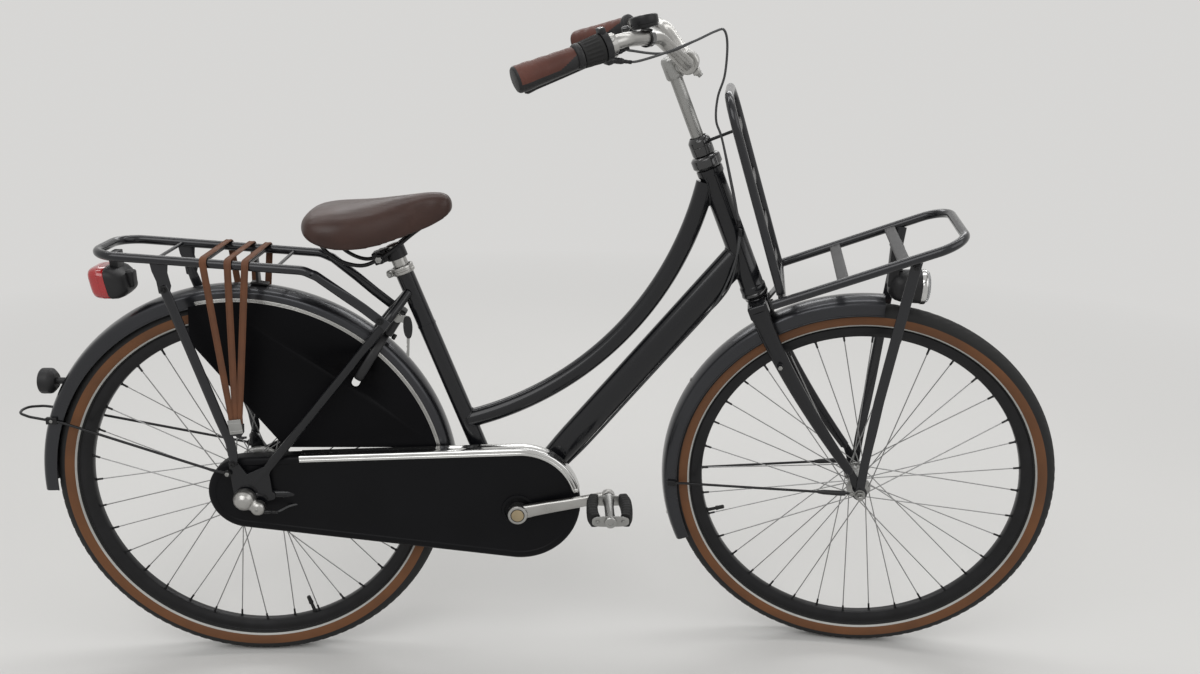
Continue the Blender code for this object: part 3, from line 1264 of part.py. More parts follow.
def guard_outline():
    """Seen from the right: the fender's edge as an arc, a notch for the lock, and the lower edge."""
    start = math.asin((0.436 * SCALE - WHEEL_R) / GUARD_R)
    points = arc((0.0, WHEEL_R), GUARD_R, start, LOCK_ANGLE - 0.041, 6)
    notch = math.degrees(LOCK_ANGLE)
    for share, half in ((0.846, 3.0), (0.793, 1.9), (0.793, -1.9), (0.846, -3.0)):
        angle = math.radians(notch - half)
        r = GUARD_R * share
        points.append((r * math.cos(angle), WHEEL_R + r * math.sin(angle)))
    points += arc((0.0, WHEEL_R), GUARD_R, LOCK_ANGLE + 0.041, math.radians(103.2), 7)
    return points + fitted([(-0.085, 0.640), (0.068, 0.437)])


def build_guards(mats):
    low = FENDER_W / 2 + GAP
    for side, name in ((-1, "coat_guard_right"), (1, "coat_guard_left")):
        levels = (low, low + GUARD_T) if side < 0 else (-low - GUARD_T, -low)
        guard = plate("guard", guard_outline(), *levels)
        finish(guard, name, mats["guard"], rear_at(0.10, side * low, 0.60))


CASE_FRONT = (BB_X + CASE_FRONT_SHIFT[0], BB_Z + CASE_FRONT_SHIFT[1])
CASE_SIDES = 14


def case_loop(shrink):
    return tangent_loop((0.0, WHEEL_R), CASE_REAR_R - shrink, CASE_FRONT, CASE_FRONT_R - shrink, CASE_SIDES)


def build_chain_case(mats):
    inner_plate_y = CASE_INNER_Y + 0.0015
    outer = plate("case", case_loop(0.0), inner_plate_y + GAP, CASE_FACE_Y)
    hollow = plate("hollow", case_loop(CASE_T), inner_plate_y - 0.002, CASE_FACE_Y - CASE_T)
    cut(outer, hollow)
    stay_slot = fitted([(0.0, 0.3485), (0.050, 0.3465), (0.056, 0.3305), (0.094, 0.3305), (0.094, 0.3640),
                        (0.0, 0.3685)])
    cutters = [plate("slot", stay_slot, CASE_FACE_Y - 0.01, CASE_FACE_Y + 0.01),
               rod("axle_hole", Vector((0.0, -CASE_FACE_Y - 0.01, WHEEL_R)), Y_AXIS,
                   [(0.0, 0.0115), (0.02, 0.0115)], 12),
               rod("crank_hole", Vector((BB_X, -CASE_FACE_Y - 0.01, BB_Z)), Y_AXIS,
                   [(0.0, 0.022), (0.02, 0.022)], 16)]
    cut(outer, *cutters)
    finish(outer, "chain_case_outer", mats["case"], rear_at(0.25, -CASE_FACE_Y, 0.34))
    inner = plate("inner", case_loop(0.0005), CASE_INNER_Y, inner_plate_y)
    long_slot = fitted([(0.215, 0.3260), (0.495, 0.3040), (0.495, 0.3400), (0.215, 0.3590)])
    cutters = [plate("slot", long_slot, CASE_INNER_Y - 0.01, CASE_INNER_Y + 0.01),
               rod("hub_hole", Vector((0.0, -CASE_INNER_Y - 0.01, WHEEL_R)), Y_AXIS,
                   [(0.0, 0.016), (0.02, 0.016)], 12),
               rod("shell_hole", Vector((BB_X, -CASE_INNER_Y - 0.01, BB_Z)), Y_AXIS,
                   [(0.0, 0.0225), (0.02, 0.0225)], 16)]
    cut(inner, *cutters)
    finish(inner, "chain_case_inner", mats["case"], rear_at(0.25, -CASE_INNER_Y, 0.34))
    build_case_trim(mats)


TRIM_T = 0.0012
TRIM_W = 0.009
TRIM_START_X = 0.100
TRIM_END = math.radians(14)


def build_case_trim(mats):
    """A strip along the case's upper outer edge, lying on its face and its rim."""
    along = math.atan2(CASE_FRONT[1] - WHEEL_R, CASE_FRONT[0])
    spread = math.acos((CASE_REAR_R - CASE_FRONT_R) / math.hypot(CASE_FRONT[0], CASE_FRONT[1] - WHEEL_R))
    top_angle = along + spread
    normal = (math.cos(top_angle), math.sin(top_angle))
    stations = []
    foot = (CASE_REAR_R * normal[0], WHEEL_R + CASE_REAR_R * normal[1])
    share = (TRIM_START_X - foot[0]) / (CASE_FRONT[0] + CASE_FRONT_R * normal[0] - foot[0])
    head = (CASE_FRONT[0] + CASE_FRONT_R * normal[0], CASE_FRONT[1] + CASE_FRONT_R * normal[1])
    for t in (share, 0.5, 0.8):
        stations.append(((foot[0] + (head[0] - foot[0]) * t, foot[1] + (head[1] - foot[1]) * t), normal))
    for i in range(8):
        angle = top_angle + (TRIM_END - top_angle) * i / 7
        out = (math.cos(angle), math.sin(angle))
        point = (CASE_FRONT[0] + CASE_FRONT_R * out[0], CASE_FRONT[1] + CASE_FRONT_R * out[1])
        stations.append((point, out))
    face = -CASE_FACE_Y
    outline = [(face - GAP - TRIM_T, -TRIM_W), (face - GAP - TRIM_T, GAP + TRIM_T * 0.4),
               (face - TRIM_T * 0.3, GAP + TRIM_T + GAP), (face + 0.012, GAP + TRIM_T + GAP),
               (face + 0.012, 2 * GAP), (face - GAP, 2 * GAP), (face - GAP, -TRIM_W)]
    rings = []
    for (x, z), out in stations:
        rings.append([Vector((x + out[0] * rise, y, z + out[1] * rise)) for y, rise in outline])
    finish(loft("trim", rings), "chain_case_trim", mats["chrome"], rear_at(0.30, face, 0.44))


# Drive

RING_R = CHAIN_PITCH / (2 * math.sin(math.pi / TEETH_RING))
SPROCKET_R = CHAIN_PITCH / (2 * math.sin(math.pi / TEETH_SPROCKET))
TOOTH = 0.0030
CHAIN_WALL = 0.0012


def toothed_outline(centre, teeth, pitch_r):
    points = []
    for i in range(teeth):
        for share, r in ((0.0, pitch_r + TOOTH), (0.5, pitch_r - TOOTH)):
            angle = 2 * math.pi * (i + share) / teeth
            points.append((centre[0] + r * math.cos(angle), centre[1] + r * math.sin(angle)))
    return points


def build_chain(mats):
    """The chain as one band: two side walls joined outside the teeth."""
    lift = TOOTH + 0.0012
    inner = tangent_loop((0.0, WHEEL_R), SPROCKET_R - 0.0028, (BB_X, BB_Z), RING_R - 0.0028, 12)
    cover = tangent_loop((0.0, WHEEL_R), SPROCKET_R + lift, (BB_X, BB_Z), RING_R + lift, 12)
    outer = tangent_loop((0.0, WHEEL_R), SPROCKET_R + lift + CHAIN_WALL, (BB_X, BB_Z),
                         RING_R + lift + CHAIN_WALL, 12)
    half = CHAIN_W / 2
    wall = half - CHAIN_WALL
    rings = []
    for a, b, c in zip(inner, cover, outer):
        section = [(a, -half), (c, -half), (c, half), (a, half), (a, wall), (b, wall), (b, -wall),
                   (a, -wall)]
        rings.append([Vector((p[0], -CHAIN_LINE + y, p[1])) for p, y in section])
    finish(loft("chain", rings, closed=True), "chain", mats["steel"], rear_at(0.25, -CHAIN_LINE, 0.34))


SPROCKET_T = 0.0020


def build_sprocket(mats):
    bore = hole_radius(AXLE_D / 2, GAP, 12)
    level = CHAIN_LINE
    disc = plate("sprocket", toothed_outline((0.0, WHEEL_R), TEETH_SPROCKET, SPROCKET_R),
                 level - SPROCKET_T / 2, level + SPROCKET_T / 2)
    sleeve = rod("sleeve", Vector((0.0, -0.0528, WHEEL_R)), Y_AXIS,
                 [(0.0, 0.0120), (0.0528 - 0.0358, 0.0120)], 12)
    fuse(disc, sleeve)
    cut(disc, rod("bore", Vector((0.0, -0.07, WHEEL_R)), Y_AXIS, [(0.0, bore), (0.05, bore)], 12))
    finish(disc, "sprocket", mats["steel"], REAR_AXLE)


CRANK_FORE = Vector((math.cos(CRANK_REST), 0.0, math.sin(CRANK_REST)))
SPINDLE_D = 0.012
SPINDLE_L = 0.100
BB_AXLE_R = 0.0085
PEDAL_START = 0.010


def crank_end(side):
    fore = CRANK_FORE if side < 0 else -CRANK_FORE
    return BB + fore * CRANK_L


def crank_arm(side):
    """A tapering arm that steps outward from the boss to the pedal's eye."""
    fore = CRANK_FORE if side < 0 else -CRANK_FORE
    out = Y_AXIS * side
    face = CRANK_FACE_Y
    path = [BB + out * face, BB + fore * 0.045 + out * (face + 0.001),
            BB + fore * 0.110 + out * (face + 0.006),
            BB + fore * CRANK_L + out * (face + 0.008)]
    arm = sweep("arm", path, circle(CRANK_T / 2, 0.0135, 8, math.pi / 8), Y_AXIS,
                scales=[(1.0, 1.0), (0.95, 0.86), (0.9, 0.76), (0.9, 0.72)])
    eye = BB + fore * CRANK_L + out * (face + 0.008)
    eye_rod = rod("eye", eye - out * 0.0065, out, [(0.0, 0.0125), (0.0135, 0.0125)], 12)
    spindle = rod("spindle", eye, out, [(0.0, SPINDLE_D / 2), (SPINDLE_L, SPINDLE_D / 2)], 10)
    boss = rod("boss", BB + out * (face - 0.011), out, [(0.0, 0.0170), (0.020, 0.0185), (0.023, 0.016)], 14)
    return fuse(arm, eye_rod, spindle, boss)


def build_cranks(mats):
    right = crank_arm(-1)
    ring = plate("ring", toothed_outline((BB_X, BB_Z), TEETH_RING, RING_R), CHAIN_LINE - 0.0012,
                 CHAIN_LINE + 0.0012)
    web = rod("web", BB - Y_AXIS * (CHAIN_LINE - 0.001), -Y_AXIS, [(0.0, 0.0200), (0.024, 0.0165)], 14)
    fuse(right, ring, web)
    bore = hole_radius(BB_AXLE_R, GAP, 12)
    cut(right, rod("bore", BB - Y_AXIS * 0.03, -Y_AXIS, [(0.0, bore), (0.045, bore)], 12))
    finish(right, "crank_right", mats["polished"], BB)
    left = crank_arm(1)
    axle_l = CRANK_FACE_Y + 0.072
    fuse(left, rod("axle", BB + Y_AXIS * CRANK_FACE_Y, -Y_AXIS, [(0.0, BB_AXLE_R), (axle_l, BB_AXLE_R)], 12))
    finish(left, "crank_left", mats["polished"], BB)


PEDAL_L = 0.092
PEDAL_BLOCK = (0.020, 0.027)
PEDAL_OFFSET = 0.0265


def build_pedals(mats):
    for side, name in ((-1, "pedal_right"), (1, "pedal_left")):
        out = Y_AXIS * side
        start = crank_end(side) + out * (CRANK_FACE_Y + 0.008 + PEDAL_START)
        barrel = rod("pedal", start, out, [(0.0, 0.0115), (0.014, 0.0100), (0.030, 0.0085),
                                           (PEDAL_L - 0.004, 0.0085), (PEDAL_L, 0.0105),
                                           (PEDAL_L + 0.005, 0.0095)], 12)
        pieces = []
        for level in (0.008, PEDAL_L - 0.002):
            pieces.append(block("end", start + out * level, (2 * PEDAL_OFFSET + 0.012, 0.0022, 0.019)))
        for fore in (-1, 1):
            deep, tall = PEDAL_BLOCK
            path = [start + out * 0.004 + X_AXIS * fore * PEDAL_OFFSET,
                    start + out * (PEDAL_L * 0.30) + X_AXIS * fore * (PEDAL_OFFSET + 0.004),
                    start + out * (PEDAL_L * 0.70) + X_AXIS * fore * (PEDAL_OFFSET + 0.004),
                    start + out * (PEDAL_L - 0.006) + X_AXIS * fore * PEDAL_OFFSET]
            pieces.append(sweep("rubber", path, circle(deep / 2, tall / 2, 8, math.pi / 8), X_AXIS,
                                scales=[(0.9, 0.9), (1.0, 1.0), (1.0, 1.0), (0.9, 0.9)]))
        pedal = fuse(barrel, *pieces)
        bore = hole_radius(SPINDLE_D / 2, GAP, 10)
        bore_l = SPINDLE_L - PEDAL_START + 2 * GAP
        cut(pedal, rod("bore", start - out * 0.01, out, [(0.0, bore), (0.01 + bore_l, bore)], 10))
        finish(pedal, name, mats["rubber"], start)


# Hub gear box, rear brake and kickstand

GEAR_Y = -0.0722
GEAR_LOBE = Vector((0.027, -0.0745, WHEEL_R - 0.022))


def build_gear_box(mats):
    foot = Vector((0.0, GEAR_Y, WHEEL_R))
    dome = rod("dome", foot, -Y_AXIS, [(0.0, 0.0160), (0.003, 0.0180), (0.015, 0.0180), (0.021, 0.0150),
                                       (0.025, 0.0090), (0.0265, 0.0030)], 12)
    lobe = rod("lobe", GEAR_LOBE, -Y_AXIS, [(0.0, 0.0120), (0.002, 0.0145), (0.010, 0.0145), (0.015, 0.0110),
                                            (0.0185, 0.0040)], 10)
    neck = block("neck", foot.lerp(GEAR_LOBE, 0.5) - Y_AXIS * 0.0065, (0.028, 0.018, 0.011),
                 Vector((0.76, 0.0, -0.65)).normalized(), Vector((0.65, 0.0, 0.76)).normalized())
    nozzle = rod("nozzle", GEAR_CABLE - X_AXIS * 0.012, X_AXIS, [(0.0, 0.0036), (0.012 - GAP, 0.0036)], 8)
    fuse(dome, lobe, neck, nozzle)
    cut(dome, rod("recess", foot + Y_AXIS * 0.01, -Y_AXIS, [(0.0, 0.0104), (0.0206, 0.0104)], 12))
    finish(dome, "gear_click_box", mats["chrome"], foot)


GEAR_CABLE = Vector((0.0490, -0.0835, WHEEL_R - 0.0255))
BRAKE_Y = (0.0365, 0.0494)
BRAKE_R = 0.048
BRAKE_ARM_T = 0.003
BRAKE_CLAMP_X = 0.125 * SCALE


def chain_stay_point(x, side):
    """The chain stay's centre at a place along the bicycle, and its direction."""
    for a, b in zip(CHAIN_STAY_POINTS, CHAIN_STAY_POINTS[1:]):
        if b.x <= x <= a.x:
            share = (a.x - x) / (a.x - b.x)
            start = Vector((a.x, side * a.y, a.z))
            end = Vector((b.x, side * b.y, b.z))
            return start.lerp(end, share), (end - start).normalized()
    raise ValueError("no chain stay at this place")


def build_rear_brake(mats):
    bore = hole_radius(AXLE_D / 2, GAP, 12)
    low, high = BRAKE_Y
    drum = turned_ring("drum", REAR_AXLE, Y_AXIS,
                       [(low, bore), (low, BRAKE_R - 0.008), (low + 0.003, BRAKE_R), (high - 0.002, BRAKE_R),
                        (high, BRAKE_R - 0.003), (high, bore)], 18)
    stay, along = chain_stay_point(BRAKE_CLAMP_X, 1)
    arm_x = (0.030, BRAKE_CLAMP_X + 0.010)
    centre = Vector(((arm_x[0] + arm_x[1]) / 2, low - 0.001 + BRAKE_ARM_T / 2 - 0.0005, stay.z + 0.001))
    arm = block("arm", centre, (arm_x[1] - arm_x[0], BRAKE_ARM_T, 0.016))
    inner = hole_radius(CHAIN_STAY_D / 2, GAP, 10)
    clamp = turned_ring("clamp", stay, along,
                        [(-0.006, inner), (-0.006, inner + 0.0032), (0.006, inner + 0.0032), (0.006, inner)],
                        10)
    stub = rod("stub", BRAKE_CABLE - X_AXIS * 0.024, X_AXIS, [(0.0, 0.0040), (0.024 - GAP, 0.0040)], 8)
    cut(arm, rod("room", stay - along * 0.03, along, [(0.0, inner), (0.06, inner)], 12))
    fuse(drum, arm, clamp, stub)
    finish(drum, "rear_roller_brake", mats["alloy"], REAR_AXLE)


BRAKE_CABLE = Vector((0.0625, 0.0430, WHEEL_R - 0.024))
STAND_PIVOT = rear_at(0.430, 0.053, 0.300)
STAND_BRACKET_Y = (0.020, 0.046)
STAND_D = 0.016


def build_kickstand(mats):
    hub = rod("hub", STAND_PIVOT - Y_AXIS * (STAND_PIVOT.y - STAND_BRACKET_Y[1] - GAP), Y_AXIS,
              [(0.0, 0.0125), (0.0128, 0.0125)], 12)
    path = [rear_at(0.424, 0.0535, 0.3003), rear_at(0.290, 0.0540, 0.3085), rear_at(0.262, 0.0570, 0.3103),
            rear_at(0.165, 0.0880, 0.3165), rear_at(0.143, 0.0950, 0.3180)]
    leg = tube("leg", path, STAND_D, 8, Y_AXIS, scales=[(0.75, 0.95), (0.85, 0.9), (0.85, 0.85), (0.8, 0.8),
                                                       (1.0, 0.9)])
    fuse(hub, leg)
    bore = hole_radius(0.004, GAP, 8)
    cut(hub, rod("bore", STAND_PIVOT - Y_AXIS * 0.02, Y_AXIS, [(0.0, bore), (0.04, bore)], 8))
    finish(hub, "kickstand_leg", mats["black_metal"], STAND_PIVOT)


# Cables

CABLE_D = 0.0045
CABLE_SIDES = 5
CABLE_START = front_at(-0.4405, -0.1965, 1.1505)
SHIFT_BAR = [(-0.418, -0.180, 1.150), (-0.383, -0.150, 1.159), (-0.337, -0.120, 1.176),
             (-0.308, -0.090, 1.188), (-0.294, -0.075, 1.189), (-0.287, -0.060, 1.164),
             (-0.286, -0.045, 1.115), (-0.293, -0.035, 1.077), (-0.291, -0.030, 1.038),
             (-0.283, -0.030, 1.005), (-0.266, -0.030, 0.919), (-0.251, -0.030, 0.8545)]
BRAKE_BAR = [(-0.416, -0.163, 1.156), (-0.381, -0.140, 1.160), (-0.337, -0.1115, 1.173),
             (-0.309, -0.082, 1.183), (-0.2955, -0.067, 1.183), (-0.2885, -0.052, 1.159),
             (-0.287, -0.037, 1.112), (-0.294, -0.027, 1.075), (-0.292, -0.022, 1.038),
             (-0.284, -0.022, 1.005), (-0.267, -0.022, 0.919), (-0.252, -0.022, 0.8545)]
SHIFT_HEAD = [(-0.255, -0.0340, 0.8475), (-0.257, -0.0335, 0.812), (-0.263, -0.0290, 0.780)]
BRAKE_HEAD = [(-0.255, -0.0265, 0.8475), (-0.2565, -0.0265, 0.812), (-0.259, -0.0255, 0.782)]
SHIFT_TAIL = [(0.528, -0.0060, 0.3050), (0.495, -0.0070, 0.2960), (0.455, -0.0120, 0.2990),
              (0.400, -0.0200, 0.3110), (0.330, -0.0288, 0.3215), (0.275, -0.0345, 0.3260),
              (0.225, -0.0410, 0.3300), (0.160, -0.0500, 0.3345), (0.105, -0.0545, 0.3355),
              (0.078, -0.0635, 0.3345), (0.064, -0.0790, 0.3328)]
BRAKE_TAIL = [(0.528, 0.0015, 0.3050), (0.495, 0.0035, 0.2960), (0.455, 0.0100, 0.2985),
              (0.400, 0.0190, 0.3105), (0.330, 0.0290, 0.3235), (0.230, 0.0365, 0.3300),
              (0.130, 0.0430, 0.3365), (0.090, 0.0430, 0.3350)]
SHIFT_WRAP = [(0.920, 22), (0.860, 52), (0.790, 74), (0.66, 75), (0.45, 75), (0.26, 75), (0.13, 76)]
BRAKE_WRAP = [(0.912, 45), (0.855, 76), (0.790, 94), (0.66, 94), (0.45, 94), (0.26, 94), (0.13, 94)]


def down_tube_point(share, degrees):
    """A cable's place round the down tube: 0 degrees is its right side, 90 its underside."""
    foot = BB + Vector((0.004, 0.0, 0.005))
    head = steer_at(DOWN_TUBE_HEAD_Z)
    along = (head - foot).normalized()
    under = Vector((along.z, 0.0, -along.x))
    lift = CABLE_D / 2 + 0.0010
    wide = DOWN_TUBE_WIDE / 2 + lift
    high = DOWN_TUBE_HIGH / 2 * min(1.0, 0.76 + share) + lift
    angle = math.radians(degrees)
    return foot.lerp(head, share) + under * (high * math.sin(angle)) - Y_AXIS * (wide * math.cos(angle))


def build_cables(steering, mats):
    lobe = shifter_lobe()
    lead = (CABLE_START - lobe).normalized()
    points = [CABLE_START + lead * GAP, CABLE_START + lead * 0.010] + [front_at(*p) for p in SHIFT_BAR]
    finish(tube("cable", smooth_path(points, 2), CABLE_D, CABLE_SIDES), "shift_cable_bar", mats["cable"],
           points[0], steering)
    start, along = brake_cable_start()
    points = [start, start + along * 0.007, start + along * 0.016 - Z_AXIS * 0.005]
    points += [front_at(*p) for p in BRAKE_BAR]
    finish(tube("cable", smooth_path(points, 2), CABLE_D, CABLE_SIDES), "brake_cable_bar", mats["cable"],
           points[0], steering)
    points = [front_at(*p) for p in SHIFT_HEAD] + [down_tube_point(*at) for at in SHIFT_WRAP]
    points += [rear_at(*p) for p in SHIFT_TAIL]
    points += [GEAR_CABLE + X_AXIS * 0.007, GEAR_CABLE + X_AXIS * GAP]
    finish(tube("cable", smooth_path(points, 2), CABLE_D, CABLE_SIDES), "shift_cable_frame", mats["cable"],
           points[0])
    points = [front_at(*p) for p in BRAKE_HEAD] + [down_tube_point(*at) for at in BRAKE_WRAP]
    points += [rear_at(*p) for p in BRAKE_TAIL]
    points += [BRAKE_CABLE + X_AXIS * 0.008, BRAKE_CABLE + X_AXIS * GAP]
    finish(tube("cable", smooth_path(points, 2), CABLE_D, CABLE_SIDES), "brake_cable_frame", mats["cable"],
           points[0])


# Saddle and post

DRAWN_SADDLE = [(0.1235, 0.050, 0.862, 0.846), (0.129, 0.074, 0.873, 0.833),
                (0.145, 0.095, 0.884, 0.820), (0.175, 0.1025, 0.890, 0.809),
                (0.210, 0.099, 0.891, 0.806), (0.245, 0.083, 0.892, 0.808), (0.280, 0.060, 0.895, 0.818),
                (0.310, 0.043, 0.898, 0.830), (0.340, 0.032, 0.901, 0.843),
                (0.362, 0.0265, 0.902, 0.855), (0.376, 0.020, 0.898, 0.864),
                (0.3835, 0.010, 0.888, 0.874)]
SADDLE_STATIONS = [(x * SCALE, half, top * SCALE, low * SCALE) for x, half, top, low in DRAWN_SADDLE]


def saddle_base(x):
    """The height of the saddle's flat underside at a place along it."""
    for a, b in zip(SADDLE_STATIONS, SADDLE_STATIONS[1:]):
        if a[0] <= x <= b[0]:
            share = (x - a[0]) / (b[0] - a[0])
            heights = [low + min(0.018, 0.35 * (top - low)) for _, _, top, low in (a, b)]
            return heights[0] + (heights[1] - heights[0]) * share
    raise ValueError("outside the saddle")


def build_saddle(mats):
    rings = []
    for x, half, top, low in SADDLE_STATIONS:
        base = saddle_base(x)
        tall = top - low
        right = [(0.0, top), (0.35, top - tall * 0.03), (0.66, top - tall * 0.11), (0.88, top - tall * 0.28),
                 (0.99, top - tall * 0.52), (1.0, top - tall * 0.74), (0.95, low + tall * 0.06),
                 (0.88, low), (0.80, low + tall * 0.05), (0.74, base), (0.0, base)]
        section = right + [(-a, z) for a, z in reversed(right[1:-1])]
        rings.append([Vector((x, a * half, z)) for a, z in section])
    finish(loft("saddle", rings), "saddle_cover", mats["saddle"], rear_at(0.25, 0.0, 0.85), smooth=60.0)


SADDLE_CLAMP_Z = 0.797 * SCALE
RAIL_D = 0.007


def build_saddle_frame(mats):
    centre = seat_at(SADDLE_CLAMP_Z)
    bore = hole_radius(POST_D / 2, GAP, 14)
    ring = turned_ring("clamp", centre - SEAT_UP * 0.011, SEAT_UP,
                       [(0.0, bore), (0.0, 0.0185), (0.022, 0.0185), (0.022, bore)], 14)
    hub = rear_at(0.2560, 0.0, 0.7900)
    pieces = [block("bridge", hub, (0.026, 0.030, 0.022), SEAT_UP.cross(Y_AXIS) * -1, Y_AXIS),
              rod("bolt", hub - Y_AXIS * 0.031, Y_AXIS, [(0.0, 0.0085), (0.062, 0.0085)], 10)]
    front = 0.357 * SCALE
    rear = 0.155 * SCALE
    front_top = saddle_base(front - 0.008) - 2 * GAP
    rear_top = min(saddle_base(rear - 0.008), saddle_base(rear + 0.008)) - 2 * GAP
    pieces.append(block("nose", Vector((front, 0.0, front_top - 0.0035)), (0.016, 0.030, 0.007)))
    pieces.append(block("tail", Vector((rear, 0.0, rear_top - 0.0035)), (0.016, 0.106, 0.007)))
    for side in (-1, 1):
        points = [Vector((front, side * 0.010, front_top - 0.0037)), rear_at(0.318, side * 0.016, 0.836),
                  rear_at(0.283, side * 0.0235, 0.808), rear_at(0.256, side * 0.0240, 0.7900),
                  rear_at(0.226, side * 0.0260, 0.7785), rear_at(0.192, side * 0.0350, 0.7880),
                  rear_at(0.165, side * 0.0430, 0.8120), Vector((rear, side * 0.0450, rear_top - 0.0037))]
        pieces.append(tube("rail", points, RAIL_D, 6))
    frame = fuse(ring, *pieces)
    cut(frame, rod("bore", centre - SEAT_UP * 0.03, SEAT_UP, [(0.0, bore), (0.06, bore)], 14))
    finish(frame, "saddle_frame", mats["black_metal"], hub)
    top = seat_at(POST_TOP_Z)
    post = rod("post", top, -SEAT_UP, [(0.0, POST_D / 2 - 0.002), (0.002, POST_D / 2), (POST_L, POST_D / 2)],
               14)
    finish(post, "seatpost", mats["polished"], top)


def build_seat_clamp(mats):
    foot = seat_at(SEAT_TUBE_TOP_Z - 0.012)
    bore = hole_radius(SEAT_TUBE_D / 2, GAP, 14)
    clamp = turned_ring("clamp", foot, SEAT_UP,
                        [(0.0, bore), (0.0, 0.0192), (0.002, 0.0200), (0.012, 0.0200), (0.014, 0.0192),
                         (0.014, bore)], 14)
    aft = Y_AXIS.cross(SEAT_UP)
    aft = aft if aft.x < 0 else -aft
    lug = block("lug", foot + SEAT_UP * 0.007 + aft * 0.0235, (0.012, 0.016, 0.013), aft, Y_AXIS)
    bolt = rod("bolt", foot + SEAT_UP * 0.007 + aft * 0.0245 - Y_AXIS * 0.0125, Y_AXIS,
               [(0.0, 0.0042), (0.025, 0.0042)], 8)
    fuse(clamp, lug, bolt)
    finish(clamp, "seat_clamp", mats["polished"], foot)


# Ring lock

LOCK_OUT = Vector((math.cos(LOCK_TILT), 0.0, math.sin(LOCK_TILT)))
LOCK_NORMAL = Vector((math.sin(LOCK_TILT), 0.0, -math.cos(LOCK_TILT)))
LOCK_FOOT = REAR_AXLE + Vector((math.cos(LOCK_ANGLE), 0.0, math.sin(LOCK_ANGLE))) * LOCK_FOOT_R
LOCK_CENTRE = LOCK_FOOT + LOCK_OUT * LOCK_RING_R
LOCK_SPAN = 125.0
SHACKLE_ARC = (-16.0, 121.0)
KNOB_AT = -8.0
LUG_OUT = 0.030


def lock_point(degrees, radius=LOCK_RING_R):
    angle = math.radians(degrees)
    return LOCK_CENTRE + LOCK_OUT * (radius * math.cos(angle)) + Y_AXIS * (radius * math.sin(angle))


def lock_arc(start, end, steps, radius=LOCK_RING_R):
    return [lock_point(start + (end - start) * i / steps, radius) for i in range(steps + 1)]


def build_lock(mats):
    bar = LOCK_BAR_D / 2 + 2 * GAP
    half_r = bar + LOCK_WALL
    shell = sweep("shell", lock_arc(-LOCK_SPAN, LOCK_SPAN, 14), box_section(LOCK_THICK, 2 * half_r),
                  LOCK_NORMAL)
    box_low, box_high = LOCK_RING_R + half_r - 0.002, 0.107
    rings = []
    for out, half in ((box_low, 0.034), (box_low + 0.018, 0.028), (box_high - 0.008, 0.0205),
                      (box_high, 0.017)):
        centre = LOCK_CENTRE + LOCK_OUT * out
        rings.append([centre + Y_AXIS * a + LOCK_NORMAL * b
                      for a, b in ((-half, -0.004), (half, -0.004), (half, 0.0125), (-half, 0.0125))])
    pieces = [loft("box", rings)]
    for side in (-1, 1):
        mount = LOCK_CENTRE + LOCK_OUT * LUG_OUT - LOCK_NORMAL * 0.0115
        stay_y = 0.0560 - ((mount - REAR_AXLE).dot(STAY_UP) / SCALE - 0.300) * 0.0611
        lug_y = stay_y - SEAT_STAY_D / 2 - 2 * GAP - 0.004
        pieces.append(block("lug", mount + Y_AXIS * side * lug_y, (0.010, 0.008, 0.015), LOCK_OUT, Y_AXIS))
    lock = fuse(shell, *pieces)
    tunnel = tube("tunnel", lock_arc(-LOCK_SPAN - 3, LOCK_SPAN + 3, 26), 2 * hole_radius(bar, 0.0, 6), 6,
                  LOCK_NORMAL)
    face = LOCK_NORMAL * (LOCK_THICK / 2)
    knob_slot = sweep("slot", [p + face for p in lock_arc(KNOB_AT - 4.5, LOCK_SPAN - 4, 14)],
                      box_section(0.012, 0.0056), LOCK_NORMAL)
    cut(lock, tunnel, knob_slot)
    finish(lock, "ring_lock_housing", mats["black"], LOCK_CENTRE)
    shackle = tube("shackle", lock_arc(*SHACKLE_ARC, 14), LOCK_BAR_D, 6, LOCK_NORMAL)
    knob_foot = lock_point(KNOB_AT)
    stem = rod("stem", knob_foot, LOCK_NORMAL, [(0.0, 0.0021), (0.0150, 0.0021)], 8)
    head = rod("head", knob_foot + LOCK_NORMAL * 0.0132, LOCK_NORMAL, [(0.0, 0.0045), (0.006, 0.0055)], 8)
    fuse(shackle, stem, head)
    finish(shackle, "ring_lock_shackle", mats["steel"], LOCK_CENTRE)


KEY_PIVOT = LOCK_CENTRE + LOCK_OUT * 0.094 + LOCK_NORMAL * 0.004 - Y_AXIS * 0.022


def build_key(mats):
    p = KEY_PIVOT
    level = -p.y
    head = plate("key", circle(0.0075, 0.0075, 10), level + 0.003, level + 0.0065, Vector((p.x, 0.0, p.z)))
    link = [(0.0, -0.003), (0.010, -0.008), (0.022, -0.006), (0.022, 0.002), (0.012, 0.006), (0.0, 0.004)]
    bow = [(0.012, 0.003), (0.009, -0.012), (0.0105, -0.028), (0.015, -0.036), (0.021, -0.036),
           (0.0245, -0.026), (0.025, -0.010), (0.021, 0.003)]
    blade = [(0.0145, -0.034), (0.0125, -0.066), (0.0150, -0.074), (0.0175, -0.070), (0.0195, -0.034)]
    origin = Vector((p.x, 0.0, p.z))
    key = fuse(head, plate("link", link, level + 0.0035, level + 0.0060, origin),
               plate("bow", bow, level + 0.0030, level + 0.0068, origin),
               plate("blade", blade, level + 0.0038, level + 0.0060, origin))
    finish(key, "ring_lock_key", mats["steel"], p)


# Assembly

